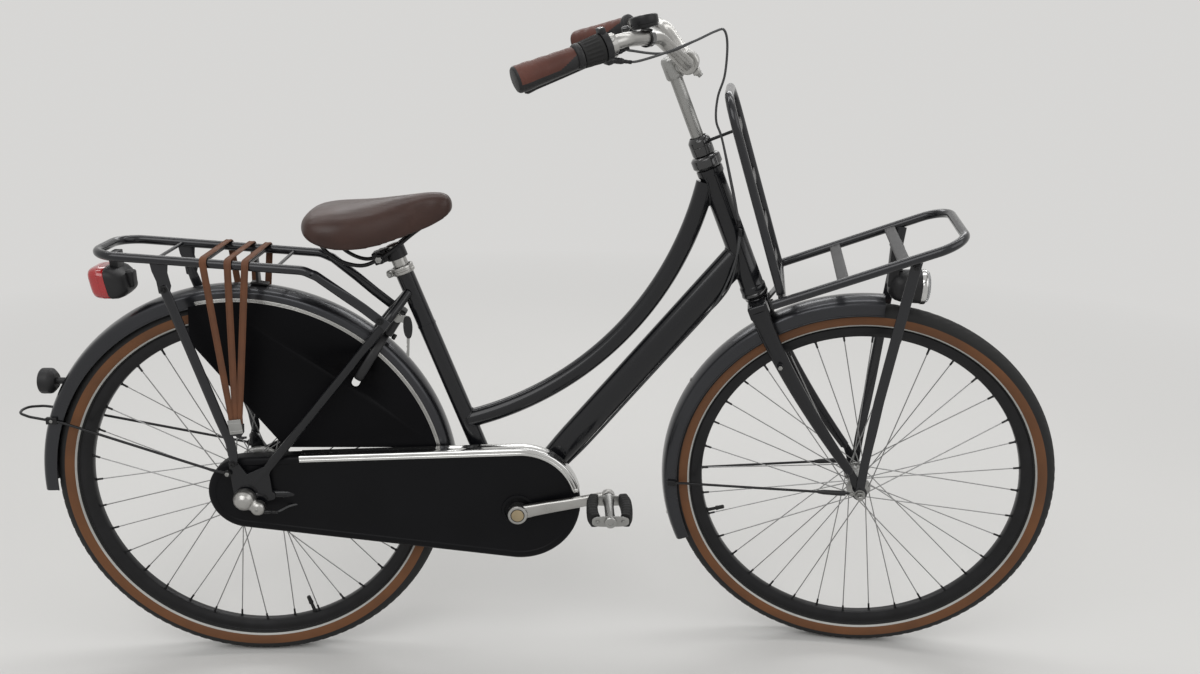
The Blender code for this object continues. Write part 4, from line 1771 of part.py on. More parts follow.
def build_materials():
    palette = {
        "frame": ((0.030, 0.031, 0.036), 0.45, 0.3), "rack": ((0.070, 0.072, 0.078), 0.40, 0.4),
        "fender": ((0.040, 0.041, 0.045), 0.35, 0.3), "tyre": ((0.180, 0.075, 0.040), 0.80, 0.0),
        "rim": ((0.012, 0.012, 0.013), 0.35, 0.3), "alloy": ((0.60, 0.61, 0.62), 0.35, 1.0),
        "polished": ((0.78, 0.78, 0.77), 0.18, 1.0), "chrome": ((0.85, 0.85, 0.85), 0.08, 1.0),
        "steel": ((0.50, 0.50, 0.50), 0.35, 1.0), "black": ((0.018, 0.018, 0.020), 0.50, 0.0),
        "black_metal": ((0.022, 0.022, 0.024), 0.35, 0.5), "rubber": ((0.020, 0.020, 0.021), 0.85, 0.0),
        "leather": ((0.160, 0.055, 0.030), 0.60, 0.0), "saddle": ((0.200, 0.065, 0.035), 0.55, 0.0),
        "strap": ((0.210, 0.085, 0.045), 0.75, 0.0), "guard": ((0.010, 0.010, 0.012), 0.30, 0.0),
        "case": ((0.014, 0.015, 0.018), 0.35, 0.0), "cable": ((0.030, 0.030, 0.030), 0.50, 0.0),
        "lens": ((0.80, 0.82, 0.84), 0.10, 0.0), "red": ((0.35, 0.010, 0.012), 0.20, 0.0),
    }
    return {key: new_material(key, *values) for key, values in palette.items()}


def make_steering():
    """An empty on the steering axis, turned to the rest position."""
    steering = bpy.data.objects.new("steering", None)
    bpy.context.scene.collection.objects.link(steering)
    steering["straight_origin"] = tuple(STEER_FOOT)
    steering.location = STEER_FOOT
    steering.rotation_mode = "QUATERNION"
    steering.rotation_quaternion = Matrix.Rotation(STEER_REST, 4, STEER_UP).to_quaternion()
    return steering


def stand_on_origin():
    """Move everything so that the whole bicycle's box stands centred on the origin."""
    bpy.context.view_layer.update()
    low = Vector((math.inf, math.inf, math.inf))
    high = -low
    for obj in bpy.data.objects:
        if obj.type == "MESH":
            for vertex in obj.data.vertices:
                point = obj.matrix_world @ vertex.co
                low = Vector(map(min, low, point))
                high = Vector(map(max, high, point))
    shift = Vector((-(low.x + high.x) / 2, -(low.y + high.y) / 2, -low.z))
    for obj in bpy.data.objects:
        if obj.parent is None:
            obj.location += shift
    bpy.context.view_layer.update()


def main():
    clear_scene()
    mats = build_materials()
    steering = make_steering()
    build_frame(mats)
    build_head_bearings(steering, mats)
    build_bottom_bracket(mats)
    build_seat_clamp(mats)
    build_rear_fender(mats)
    build_rear_rack(mats)
    build_rear_light(mats)
    build_reflector(mats)
    build_straps(mats)
    build_guards(mats)
    build_chain_case(mats)
    build_chain(mats)
    build_rear_axle(mats)
    build_gear_box(mats)
    build_rear_brake(mats)
    build_kickstand(mats)
    build_cables(steering, mats)
    build_saddle(mats)
    build_saddle_frame(mats)
    build_lock(mats)
    build_key(mats)
    build_fork(steering, mats)
    build_front_axle(steering, mats)
    build_stem(steering, mats)
    build_handlebar(steering, mats)
    build_grips(steering, mats)
    build_lever_bracket(steering, mats)
    build_brake_lever(steering, mats)
    build_shifter(steering, mats)
    build_bell(steering, mats)
    build_front_rack(steering, mats)
    build_upright(steering, mats)
    build_headlight(steering, mats)
    build_front_fender(steering, mats)
    build_front_wheel(steering, mats)
    build_rear_wheel(mats)
    build_sprocket(mats)
    build_cranks(mats)
    build_pedals(mats)
    stand_on_origin()


main()
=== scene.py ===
"""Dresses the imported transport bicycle: materials for every piece, finer wheels, fenders and tubes,
soft saddle, grips and straps, small fasteners, camera, floor and light."""

import math

import bmesh
import bpy
from mathutils import Matrix, Vector


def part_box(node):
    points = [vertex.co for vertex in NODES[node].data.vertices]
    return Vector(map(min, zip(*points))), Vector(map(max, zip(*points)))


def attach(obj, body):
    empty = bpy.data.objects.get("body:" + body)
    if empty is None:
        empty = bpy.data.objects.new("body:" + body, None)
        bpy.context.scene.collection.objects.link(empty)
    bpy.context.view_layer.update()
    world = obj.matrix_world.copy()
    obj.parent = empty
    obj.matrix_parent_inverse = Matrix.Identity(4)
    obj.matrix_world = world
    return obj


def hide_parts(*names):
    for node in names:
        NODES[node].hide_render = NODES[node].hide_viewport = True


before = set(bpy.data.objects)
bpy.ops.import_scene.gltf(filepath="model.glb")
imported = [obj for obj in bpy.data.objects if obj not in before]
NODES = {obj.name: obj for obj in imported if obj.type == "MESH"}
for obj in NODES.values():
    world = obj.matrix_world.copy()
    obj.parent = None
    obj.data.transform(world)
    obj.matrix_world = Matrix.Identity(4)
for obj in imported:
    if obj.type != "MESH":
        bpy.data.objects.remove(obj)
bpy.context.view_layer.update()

# Places shared with the solids, in the straight-ahead layout with the rear axle at x = 0

WHEEL_R = 0.358
WHEELBASE = 1.143
HEAD_ANGLE = math.radians(67.5)
SEAT_ANGLE = math.radians(69.4)
STEER_REST = math.radians(-10.8)
FORK_RAKE = 0.060
X_AXIS = Vector((1.0, 0.0, 0.0))
Y_AXIS = Vector((0.0, 1.0, 0.0))
Z_AXIS = Vector((0.0, 0.0, 1.0))
STEER_UP = Vector((-math.cos(HEAD_ANGLE), 0.0, math.sin(HEAD_ANGLE)))
STEER_FORE = Vector((math.sin(HEAD_ANGLE), 0.0, math.cos(HEAD_ANGLE)))
SEAT_UP = Vector((-math.cos(SEAT_ANGLE), 0.0, math.sin(SEAT_ANGLE)))
REAR_AXLE = Vector((0.0, 0.0, WHEEL_R))
FRONT_AXLE = Vector((WHEELBASE, 0.0, WHEEL_R))
STEER_FOOT = FRONT_AXLE - STEER_FORE * FORK_RAKE
BB = Vector((0.495, 0.0, 0.322))
SEAT_FOOT = BB - Vector((0.035, 0.0, 0.0))
low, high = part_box("rear_tyre")
SHIFT = (low + high) / 2 - REAR_AXLE
TURN = Matrix.Rotation(STEER_REST, 4, STEER_UP)


def steer_at(z):
    """The point of the steering axis at a height."""
    return STEER_FOOT + STEER_UP * ((z - STEER_FOOT.z) / STEER_UP.z)


def seat_at(z):
    """The point of the seat tube's axis at a height."""
    return SEAT_FOOT + SEAT_UP * ((z - SEAT_FOOT.z) / SEAT_UP.z)


def mirrored(point):
    return Vector((point[0], -point[1], point[2]))


def radial(degrees):
    """The direction out from an axle at an angle in the wheel's plane."""
    angle = math.radians(degrees)
    return Vector((math.cos(angle), 0.0, math.sin(angle)))


def squarish(angle, power_c=0.5, power_s=0.5):
    """Cosine and sine of an angle; powers below 1 push them out towards a square."""
    c, s = math.cos(angle), math.sin(angle)
    return math.copysign(abs(c) ** power_c, c), math.copysign(abs(s) ** power_s, s)


# Camera

CAMERA_AT = Vector((0.57033, -1.83438, 1.20752)) + SHIFT
YAW, PITCH, ROLL = 0.04113, 0.29983, 0.01311
ahead = Vector((math.sin(YAW) * math.cos(PITCH), math.cos(YAW) * math.cos(PITCH), -math.sin(PITCH)))
right = Vector((math.cos(YAW), -math.sin(YAW), 0.0))
above = right.cross(ahead)
rolled = right * math.cos(ROLL) + above * math.sin(ROLL)
above = above * math.cos(ROLL) - right * math.sin(ROLL)
camera_data = bpy.data.cameras.new("camera")
camera_data.sensor_width = 36.0
camera_data.lens = 31.5
camera = bpy.data.objects.new("camera", camera_data)
bpy.context.scene.collection.objects.link(camera)
camera.matrix_world = Matrix.Translation(CAMERA_AT) @ Matrix((rolled, above, -ahead)).transposed().to_4x4()
bpy.context.scene.camera = camera
bpy.context.scene.view_settings.view_transform = "Standard"


# Materials

class Shader:
    """A Principled material whose colour, roughness and bump come from procedural nodes."""

    def __init__(self, name, colour, rough, metal=0.0, vary=0.10, patch=7.0, grain=300.0, depth=0.00005,
                 **sockets):
        self.material = bpy.data.materials.new(name)
        self.material.use_nodes = True
        self.tree = self.material.node_tree
        self.shader = self.tree.nodes["Principled BSDF"]
        self.set("Metallic", metal)
        for key, value in sockets.items():
            self.set(key.replace("_", " "), value)
        self.coords = self.node("ShaderNodeTexCoord").outputs["Object"]
        patches = self.noise(patch, 3.0)
        low = [c * (1.0 - vary) for c in colour]
        high = [min(1.0, c * (1.0 + vary)) for c in colour]
        self.recolour(self.ramp(patches, [(0.30, low), (0.70, high)]))
        self.link(self.spread(patches, rough * 0.86, min(1.0, rough * 1.18)), "Roughness")
        self.bump_node = None
        self.emboss(self.noise(grain, 2.0), depth)

    def set(self, socket, value):
        self.shader.inputs[socket].default_value = value

    def node(self, kind, **inputs):
        made = self.tree.nodes.new(kind)
        for key, value in inputs.items():
            made.inputs[key].default_value = value
        return made

    def link(self, output, socket):
        self.tree.links.new(output, self.shader.inputs[socket])

    def join(self, output, node, socket):
        self.tree.links.new(output, node.inputs[socket])

    def noise(self, scale, detail=4.0, rough=0.5, vector=None):
        made = self.node("ShaderNodeTexNoise", Scale=scale, Detail=detail, Roughness=rough)
        self.join(vector or self.coords, made, "Vector")
        return made.outputs["Fac"]

    def spread(self, value, low, high, start=0.3, end=0.7):
        made = self.node("ShaderNodeMapRange")
        made.inputs["From Min"].default_value = start
        made.inputs["From Max"].default_value = end
        made.inputs["To Min"].default_value = low
        made.inputs["To Max"].default_value = high
        self.join(value, made, "Value")
        return made.outputs["Result"]

    def ramp(self, value, stops):
        made = self.node("ShaderNodeValToRGB")
        for element, (place, colour) in zip(made.color_ramp.elements, stops):
            element.position = place
            element.color = (*colour, 1.0)
        self.join(value, made, "Fac")
        return made.outputs["Color"]

    def blend_to(self, factor, colour):
        """Turns the colour so far into a plain one by a factor."""
        made = self.node("ShaderNodeMix")
        made.data_type = "RGBA"
        sockets = {socket.identifier: socket for socket in made.inputs}
        self.tree.links.new(factor, sockets["Factor_Float"])
        self.tree.links.new(self.colour, sockets["A_Color"])
        sockets["B_Color"].default_value = (*colour, 1.0)
        self.recolour(next(o for o in made.outputs if o.identifier == "Result_Color"))

    def recolour(self, output):
        self.colour = output
        self.link(output, "Base Color")

    def emboss(self, height, depth, strength=1.0):
        """Adds a bump layer of a real depth in metres on top of the ones before it."""
        bump = self.node("ShaderNodeBump", Strength=strength, Distance=depth)
        self.join(height, bump, "Height")
        if self.bump_node:
            self.join(self.bump_node.outputs["Normal"], bump, "Normal")
        self.bump_node = bump
        self.link(bump.outputs["Normal"], "Normal")


def speckled(name, colour, rough, metal, **more):
    """Paint with fine metallic flakes."""
    s = Shader(name, colour, rough, metal, patch=5.0, grain=500.0, depth=0.000003, **more)
    s.blend_to(s.spread(s.noise(1600.0, 1.0), 0.0, 1.0, 0.52, 0.66), [c * 1.35 for c in colour])
    return s


def leather(name, colour, rough, pore, depth, **more):
    """Pebbled imitation leather, paler where it is rubbed."""
    s = Shader(name, colour, rough, vary=0.16, patch=16.0, grain=1400.0, depth=0.00004, **more)
    cells = s.node("ShaderNodeTexVoronoi", Scale=pore)
    cells.feature = "SMOOTH_F1"
    s.join(s.coords, cells, "Vector")
    s.emboss(cells.outputs["Distance"], depth, 0.7)
    rub = s.spread(s.noise(24.0, 6.0, 0.65), 0.0, 0.55, 0.5, 0.8)
    s.blend_to(rub, [c * 1.5 + 0.01 for c in colour])
    return s


def metal(name, colour, rough):
    """Plated or polished metal with fine drawn-out marks, and faint darker patches that are partly stains and partly
    painted reflection.
    """
    s = Shader(name, colour, rough, 1.0, vary=0.06, patch=18.0, grain=500.0, depth=0.000003)
    stretch = s.node("ShaderNodeMapping", Scale=(60.0, 900.0, 60.0))
    s.join(s.coords, stretch, "Vector")
    s.emboss(s.noise(1.0, 3.0, 0.6, stretch.outputs["Vector"]), 0.000006, 0.35)
    # Faint darker patches: partly stains, partly painted reflection that stands in for the darker tones mirrored in
    # the metal.
    s.blend_to(s.spread(s.noise(40.0, 3.0), 0.0, 0.4, 0.50, 0.8), [c * 0.72 for c in colour])
    return s


MATS = {}
MATS["frame"] = speckled("frame_paint", (0.007, 0.0074, 0.0090), 0.26, 0.25, Specular_IOR_Level=0.20,
                         Coat_Weight=0.50, Coat_Roughness=0.10)
MATS["rack"] = speckled("rack_paint", (0.013, 0.0135, 0.0160), 0.24, 0.30, Specular_IOR_Level=0.30,
                        Coat_Weight=0.45, Coat_Roughness=0.10)
MATS["fender"] = speckled("fender_paint", (0.030, 0.031, 0.035), 0.29, 0.80, Specular_IOR_Level=0.5,
                          Coat_Weight=0.35, Coat_Roughness=0.14)
MATS["rim"] = Shader("rim_black", (0.010, 0.010, 0.011), 0.34, 0.35, vary=0.2, patch=30.0, grain=800.0,
                     Specular_IOR_Level=0.35)
MATS["alloy"] = metal("alloy", (0.36, 0.36, 0.35), 0.36)
MATS["polished"] = metal("polished_alloy", (0.41, 0.405, 0.39), 0.30)
MATS["chrome"] = metal("chrome", (0.60, 0.60, 0.59), 0.16)
MATS["steel"] = metal("plated_steel", (0.33, 0.33, 0.32), 0.34)
MATS["spoke"] = metal("spoke_steel", (0.32, 0.32, 0.32), 0.38)
MATS["black"] = Shader("moulded_black", (0.013, 0.013, 0.014), 0.46, vary=0.18, patch=25.0, grain=1500.0,
                       depth=0.00006, Specular_IOR_Level=0.35)
MATS["gloss"] = Shader("gloss_black", (0.012, 0.012, 0.013), 0.16, vary=0.2, patch=20.0, grain=500.0,
                       depth=0.00001, Coat_Weight=0.6, Coat_Roughness=0.08)
MATS["black_metal"] = Shader("black_metal", (0.013, 0.013, 0.014), 0.36, 0.3, vary=0.2, patch=30.0,
                             grain=1200.0, depth=0.00003, Specular_IOR_Level=0.35)
MATS["rubber"] = Shader("black_rubber", (0.013, 0.013, 0.013), 0.66, vary=0.25, patch=35.0, grain=1300.0,
                        depth=0.00010, Specular_IOR_Level=0.3)
MATS["guard"] = Shader("guard_sheet", (0.0028, 0.0028, 0.0036), 0.50, vary=0.25, patch=9.0, grain=1800.0,
                       depth=0.00003, Specular_IOR_Level=0.08)
MATS["case"] = Shader("case_plastic", (0.0036, 0.0037, 0.0046), 0.42, vary=0.2, patch=8.0, grain=1100.0,
                      depth=0.00008, Specular_IOR_Level=0.13)
MATS["cable"] = Shader("cable_sleeve", (0.050, 0.051, 0.053), 0.42, vary=0.2, patch=50.0, grain=900.0,
                       depth=0.00003, Specular_IOR_Level=0.4)
MATS["saddle"] = leather("saddle_leather", (0.036, 0.0150, 0.0105), 0.38, pore=520.0, depth=0.00014,
                         Specular_IOR_Level=0.35)
MATS["grip"] = leather("grip_leather", (0.092, 0.032, 0.023), 0.48, pore=700.0, depth=0.00016,
                       Specular_IOR_Level=0.3)
MATS["strap"] = Shader("strap_elastic", (0.126, 0.053, 0.027), 0.72, vary=0.14, patch=40.0, grain=900.0,
                       depth=0.00010, Specular_IOR_Level=0.3)
MATS["tread"] = Shader("tyre_tread", (0.016, 0.016, 0.016), 0.74, vary=0.3, patch=18.0, grain=900.0,
                       depth=0.00020, Specular_IOR_Level=0.3)
MATS["wall"] = Shader("tyre_wall", (0.135, 0.057, 0.024), 0.66, vary=0.16, patch=14.0, grain=700.0,
                      depth=0.00012, Specular_IOR_Level=0.3)
MATS["stripe"] = Shader("tyre_stripe", (0.40, 0.40, 0.38), 0.42, vary=0.08, patch=30.0, grain=1500.0,
                        depth=0.00003)
MATS["red"] = Shader("red_lens", (0.42, 0.012, 0.014), 0.16, vary=0.12, patch=12.0, grain=400.0,
                     depth=0.00003, Coat_Weight=0.8, Transmission_Weight=0.15)
MATS["lens"] = Shader("clear_lens", (0.60, 0.61, 0.62), 0.08, vary=0.03, patch=20.0, grain=300.0,
                      depth=0.00002, Transmission_Weight=0.75)
MATS["reflex"] = Shader("red_reflex", (0.20, 0.012, 0.012), 0.22, vary=0.2, patch=60.0, grain=500.0,
                        depth=0.00030, Coat_Weight=0.7)
MATS["mirror"] = metal("lamp_mirror", (0.55, 0.55, 0.54), 0.10)
MATS["gold"] = metal("dust_cap", (0.42, 0.34, 0.22), 0.34)
ribs = MATS["strap"]
wave = ribs.node("ShaderNodeTexWave", Scale=260.0, Distortion=0.6)
ribs.join(ribs.coords, wave, "Vector")
wave.bands_direction = "Y"
ribs.emboss(wave.outputs["Fac"], 0.00020, 0.6)


# Mesh builders: all work in the straight-ahead layout, and done() puts a piece in its place

FIXED = Matrix.Translation(SHIFT)
STEERED = Matrix.Translation(STEER_FOOT + SHIFT) @ TURN @ Matrix.Translation(-STEER_FOOT)
STEER_BODIES = ("steering", "brake_lever", "shifter_sleeve", "bell_striker", "front_wheel")


def shade(mesh, hard_angle=None):
    """Shades a mesh smooth, with hard edges above an angle in degrees where one is given."""
    for polygon in mesh.polygons:
        polygon.use_smooth = True
    if hard_angle:
        mesh.set_sharp_from_angle(angle=math.radians(hard_angle))


def bake(obj):
    """Applies an object's modifiers to its mesh."""
    graph = bpy.context.evaluated_depsgraph_get()
    mesh = bpy.data.meshes.new_from_object(obj.evaluated_get(graph))
    obj.modifiers.clear()
    obj.data = mesh


def recast(obj, material):
    """Applies the modifiers and gives the smooth result one material."""
    bake(obj)
    obj.data.materials.clear()
    obj.data.materials.append(MATS[material].material)
    shade(obj.data)


def voxels(obj, size):
    remesh = obj.modifiers.new("remesh", "REMESH")
    remesh.mode = "VOXEL"
    remesh.voxel_size = size


def new_piece(name, verts, faces, material, smooth=40.0, indices=None):
    mesh = bpy.data.meshes.new(name)
    mesh.from_pydata([tuple(v) for v in verts], [], faces)
    names = [material] if isinstance(material, str) else material
    for key in names:
        mesh.materials.append(MATS[key].material)
    if indices:
        for polygon, index in zip(mesh.polygons, indices):
            polygon.material_index = index
    work = bmesh.new()
    work.from_mesh(mesh)
    bmesh.ops.recalc_face_normals(work, faces=work.faces)
    work.to_mesh(mesh)
    work.free()
    shade(mesh, smooth)
    obj = bpy.data.objects.new(name, mesh)
    bpy.context.scene.collection.objects.link(obj)
    return obj


def merge(name, pieces):
    """Joins pieces into one object that keeps their materials."""
    work = bmesh.new()
    names = []
    for piece in pieces:
        for key in piece.data.materials:
            if key not in names:
                names.append(key)
        local = [names.index(key) for key in piece.data.materials]
        start = len(work.faces)
        work.from_mesh(piece.data)
        work.faces.ensure_lookup_table()
        for face in work.faces[start:]:
            face.material_index = local[face.material_index]
    mesh = bpy.data.meshes.new(name)
    work.to_mesh(mesh)
    work.free()
    for key in names:
        mesh.materials.append(key)
    for piece in pieces:
        bpy.data.objects.remove(piece)
    obj = bpy.data.objects.new(name, mesh)
    bpy.context.scene.collection.objects.link(obj)
    return obj


def done(name, pieces, body, replaces=()):
    """Joins the pieces, puts them where they lie at rest, and lets them move with their body."""
    pieces = pieces if isinstance(pieces, list) else [pieces]
    obj = merge(name, pieces) if len(pieces) > 1 else pieces[0]
    obj.name = name
    obj.data.name = name
    obj.data.transform(STEERED if body in STEER_BODIES else FIXED)
    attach(obj, body)
    if replaces:
        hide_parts(*replaces)
    return obj


def dress(node, pieces, body):
    """Puts pieces in the place of a node."""
    return done(node + "_dressed", pieces, body, [node])


def bevel(obj, width, segments, angle):
    modifier = obj.modifiers.new("edge", "BEVEL")
    modifier.width = width
    modifier.segments = segments
    modifier.limit_method = "ANGLE"
    modifier.angle_limit = math.radians(angle)


def soften(obj, width):
    """Rounds the edges of an unplaced piece for good."""
    bevel(obj, width, 3, 35.0)
    bake(obj)
    shade(obj.data, 50.0)
    return obj


def spline(p0, p1, p2, p3, t):
    """A point between p1 and p2 on a smooth curve through all four."""
    return 0.5 * (2 * p1 + (p2 - p0) * t + (2 * p0 - 5 * p1 + 4 * p2 - p3) * t * t
                  + (3 * p1 - p0 - 3 * p2 + p3) * t ** 3)


def catmull(points, steps):
    """A smooth path through the points."""
    points = [Vector(p) for p in points]
    padded = [2 * points[0] - points[1]] + points + [2 * points[-1] - points[-2]]
    result = []
    for four in zip(padded, padded[1:], padded[2:], padded[3:]):
        result += [spline(*four, i / steps) for i in range(steps)]
    return result + [points[-1].copy()]


def rounded(points, radius, steps=12):
    """A path whose inner corners are rounded."""
    points = [Vector(p) for p in points]
    result = [points[0]]
    for before, corner, after in zip(points, points[1:], points[2:]):
        into = (before - corner).normalized()
        out = (after - corner).normalized()
        half = into.angle(out) / 2
        if half > math.radians(89):
            result.append(corner)
            continue
        reach = min(radius / math.tan(half), (before - corner).length * 0.49, (after - corner).length * 0.49)
        bend = reach * math.tan(half)
        centre = corner + (into + out).normalized() * (bend / math.sin(half))
        start = corner + into * reach - centre
        end = corner + out * reach - centre
        turn = math.pi - 2 * half
        for i in range(steps + 1):
            share = i / steps
            a = math.sin((1 - share) * turn) / math.sin(turn)
            b = math.sin(share * turn) / math.sin(turn)
            result.append(centre + start * a + end * b)
    return result + [points[-1]]


def finer(path, step):
    """Adds points so that no two lie further apart than a step."""
    result = [path[0]]
    for a, b in zip(path, path[1:]):
        count = max(1, math.ceil((b - a).length / step))
        result += [a.lerp(b, i / count) for i in range(1, count + 1)]
    return result


def shares(path):
    """How far along the path each point lies, from 0 to 1."""
    far = [0.0]
    for a, b in zip(path, path[1:]):
        far.append(far[-1] + (b - a).length)
    return [d / far[-1] for d in far]


def between(table, t):
    """A value read from (place, value) pairs, smoothly between them."""
    for (t0, v0), (t1, v1) in zip(table, table[1:]):
        if t <= t1:
            s = min(1.0, max(0.0, (t - t0) / (t1 - t0)))
            s = s * s * (3 - 2 * s)
            return v0 + (v1 - v0) * s
    return table[-1][1]


def vary(places, *table):
    """The table's value at each place."""
    return [between(table, t) for t in places]


def quads(rows, columns, rows_closed=False, columns_closed=True):
    """The faces between neighbouring rows of a grid of points."""
    faces = []
    for i in range(rows if rows_closed else rows - 1):
        j = (i + 1) % rows
        for k in range(columns if columns_closed else columns - 1):
            n = (k + 1) % columns
            faces.append((i * columns + k, i * columns + n, j * columns + n, j * columns + k))
    return faces


def tube(name, path, across_r, material="frame", sides=24, up_r=None, side=None, square=1.0, closed=False,
         smooth=45.0):
    """A tube along a path; each radius is one number or one for each point.

    With a side the section stays square to it, and across_r lies along it. square below 1 makes the
    section a rounded rectangle.
    """
    path = [Vector(p) for p in path]
    count = len(path)
    wide = across_r if isinstance(across_r, list) else [across_r] * count
    up_r = across_r if up_r is None else up_r
    tall = up_r if isinstance(up_r, list) else [up_r] * count
    verts = []
    across = side
    for i, point in enumerate(path):
        before = path[i - 1] if i or closed else point
        after = path[(i + 1) % count] if i < count - 1 or closed else point
        ahead = (after - before).normalized()
        if across is None:
            across = Y_AXIS if abs(ahead.y) < 0.9 else X_AXIS
        guide = side if side is not None else across
        across = (guide - ahead * guide.dot(ahead)).normalized()
        up = across.cross(ahead)
        for k in range(sides):
            c, s = squarish(2 * math.pi * (k + 0.5) / sides, square, square)
            verts.append(point + across * (wide[i] * c) + up * (tall[i] * s))
    faces = quads(count, sides, closed)
    if not closed:
        faces += [tuple(range(sides)), tuple(range((count - 1) * sides, count * sides))]
    return new_piece(name, verts, faces, material, smooth)


def strip(name, path, width, thick, side, material="rack"):
    """A flat bar with rounded edges. Its width lies along side."""
    return tube(name, path, width / 2, material, 28, thick / 2, side, 0.45, smooth=60.0)


def loft(name, rings, material, smooth=40.0):
    """A closed body through rings of points, with a face at each end."""
    n = len(rings[0])
    verts = [p for ring in rings for p in ring]
    ends = [tuple(range(n)), tuple(range(len(verts) - n, len(verts)))]
    return new_piece(name, verts, quads(len(rings), n) + ends, material, smooth)


def basis(axis):
    axis = Vector(axis).normalized()
    guide = X_AXIS if abs(axis.x) < 0.9 else Z_AXIS
    first = (guide - axis * guide.dot(axis)).normalized()
    return axis, first, axis.cross(first)


def revolve(name, centre, axis, profile, material, steps=48, wave=None, smooth=35.0, strips=None,
            closed=False, start=None):
    """Turns (level, radius) pairs about an axis; wave may move a point by its angle and index."""
    axis, first, second = basis(axis)
    if start is not None:
        first = (start - axis * start.dot(axis)).normalized()
        second = axis.cross(first)
    centre = Vector(centre)
    verts = []
    count = len(profile)
    for i in range(steps):
        angle = 2 * math.pi * i / steps
        out = first * math.cos(angle) + second * math.sin(angle)
        for j, (level, r) in enumerate(profile):
            if wave:
                level, r = wave(angle, j, level, r)
            verts.append(centre + axis * level + out * max(r, 0.00001))
    indices = strips[:count - 1] * steps if strips else None
    return new_piece(name, verts, quads(steps, count, True, closed), material, smooth, indices)


def apart(side, low, high):
    """plate() levels for a sheet between two distances from the middle plane, on one side of it."""
    return (low, high) if side < 0 else (-high, -low)


def plate(name, outline, low, high, material, origin=Vector(), u=X_AXIS, v=Z_AXIS, round_off=0.0):
    """A flat outline of (u, v) pairs made thick along u x v; by default x and z, thick along -y."""
    normal = u.cross(v)
    count = len(outline)
    verts = [origin + u * a + v * b + normal * level for level in (low, high) for a, b in outline]
    faces = [(k, (k + 1) % count, count + (k + 1) % count, count + k) for k in range(count)]
    faces += [tuple(range(count)), tuple(range(count, 2 * count))]
    piece = new_piece(name, verts, faces, material, 35.0)
    return soften(piece, round_off) if round_off else piece


def block(name, centre, size, material, u=X_AXIS, v=Y_AXIS, round_off=0.0008):
    """A box with softened edges, square to u and v."""
    a, b = size[0] / 2, size[1] / 2
    return plate(name, [(-a, -b), (a, -b), (a, b), (-a, b)], -size[2] / 2, size[2] / 2, material, centre,
                 u, v, round_off)


def arc(centre, radius, start, end, steps):
    return [(centre[0] + radius * math.cos(start + (end - start) * i / steps),
             centre[1] + radius * math.sin(start + (end - start) * i / steps))
            for i in range(steps + 1)]


def disc(radius):
    return arc((0.0, 0.0), radius, 0.0, 2 * math.pi * 35 / 36, 35)


def both_ways(half):
    """A profile of (level, radius) pairs from its outer half."""
    return [(-level, r) for level, r in reversed(half)] + half


def belt(c0, r0, c1, r1, steps):
    """The outline of a belt round two circles, counter-clockwise, starting below the first."""
    dx, dz = c1[0] - c0[0], c1[1] - c0[1]
    along = math.atan2(dz, dx)
    spread = math.acos((r0 - r1) / math.hypot(dx, dz))
    return (arc(c0, r0, along + spread, along + 2 * math.pi - spread, steps)
            + arc(c1, r1, along - spread, along + spread, steps))


def bolt(name, centre, axis, radius, height, material="steel", hexed=True, washer=0.0):
    """A hex or round head with a socket, on a washer where one is asked for."""
    foot = Vector(centre)
    axis = Vector(axis).normalized()
    parts = []
    if washer:
        rim = [(-0.0002, 0.0), (-0.0002, washer), (0.0008, washer), (0.0010, washer * 0.95), (0.0010, 0.0)]
        parts.append(revolve("washer", foot, axis, rim, material, 24))
        foot = foot + axis * 0.0010
    top = [(-0.0002, 0.0), (-0.0002, radius), (height * 0.78, radius), (height, radius * 0.86),
           (height, radius * 0.45), (height * 0.72, radius * 0.42), (height * 0.72, 0.0)]
    parts.append(revolve("head", foot, axis, top, material, 6 if hexed else 24, smooth=20.0))
    return merge(name, parts) if len(parts) > 1 else parts[0]


def weld(foot, ahead, wide, tall, axis_at, axis, radius):
    """A rippled bead where a tube of the given half width and height runs into a round tube."""
    ahead = ahead.normalized()
    side = (Y_AXIS - ahead * ahead.y).normalized()
    up = side.cross(ahead)
    ring = []
    for k in range(72):
        a = 2 * math.pi * k / 72
        base = foot + side * (wide * math.cos(a)) + up * (tall * math.sin(a))
        gap = base - axis_at
        flat = gap - axis * gap.dot(axis)
        run = ahead - axis * ahead.dot(axis)
        qa, qb, qc = run.dot(run), 2 * run.dot(flat), flat.dot(flat) - radius * radius
        root = qb * qb - 4 * qa * qc
        if root < 0:
            continue
        ring.append(base + ahead * ((-qb - math.sqrt(root)) / (2 * qa)))
    size = [0.0017 * (1.0 + 0.16 * math.sin(k * 2.1)) for k in range(len(ring))]
    return tube("bead", ring, size, sides=8, closed=True)


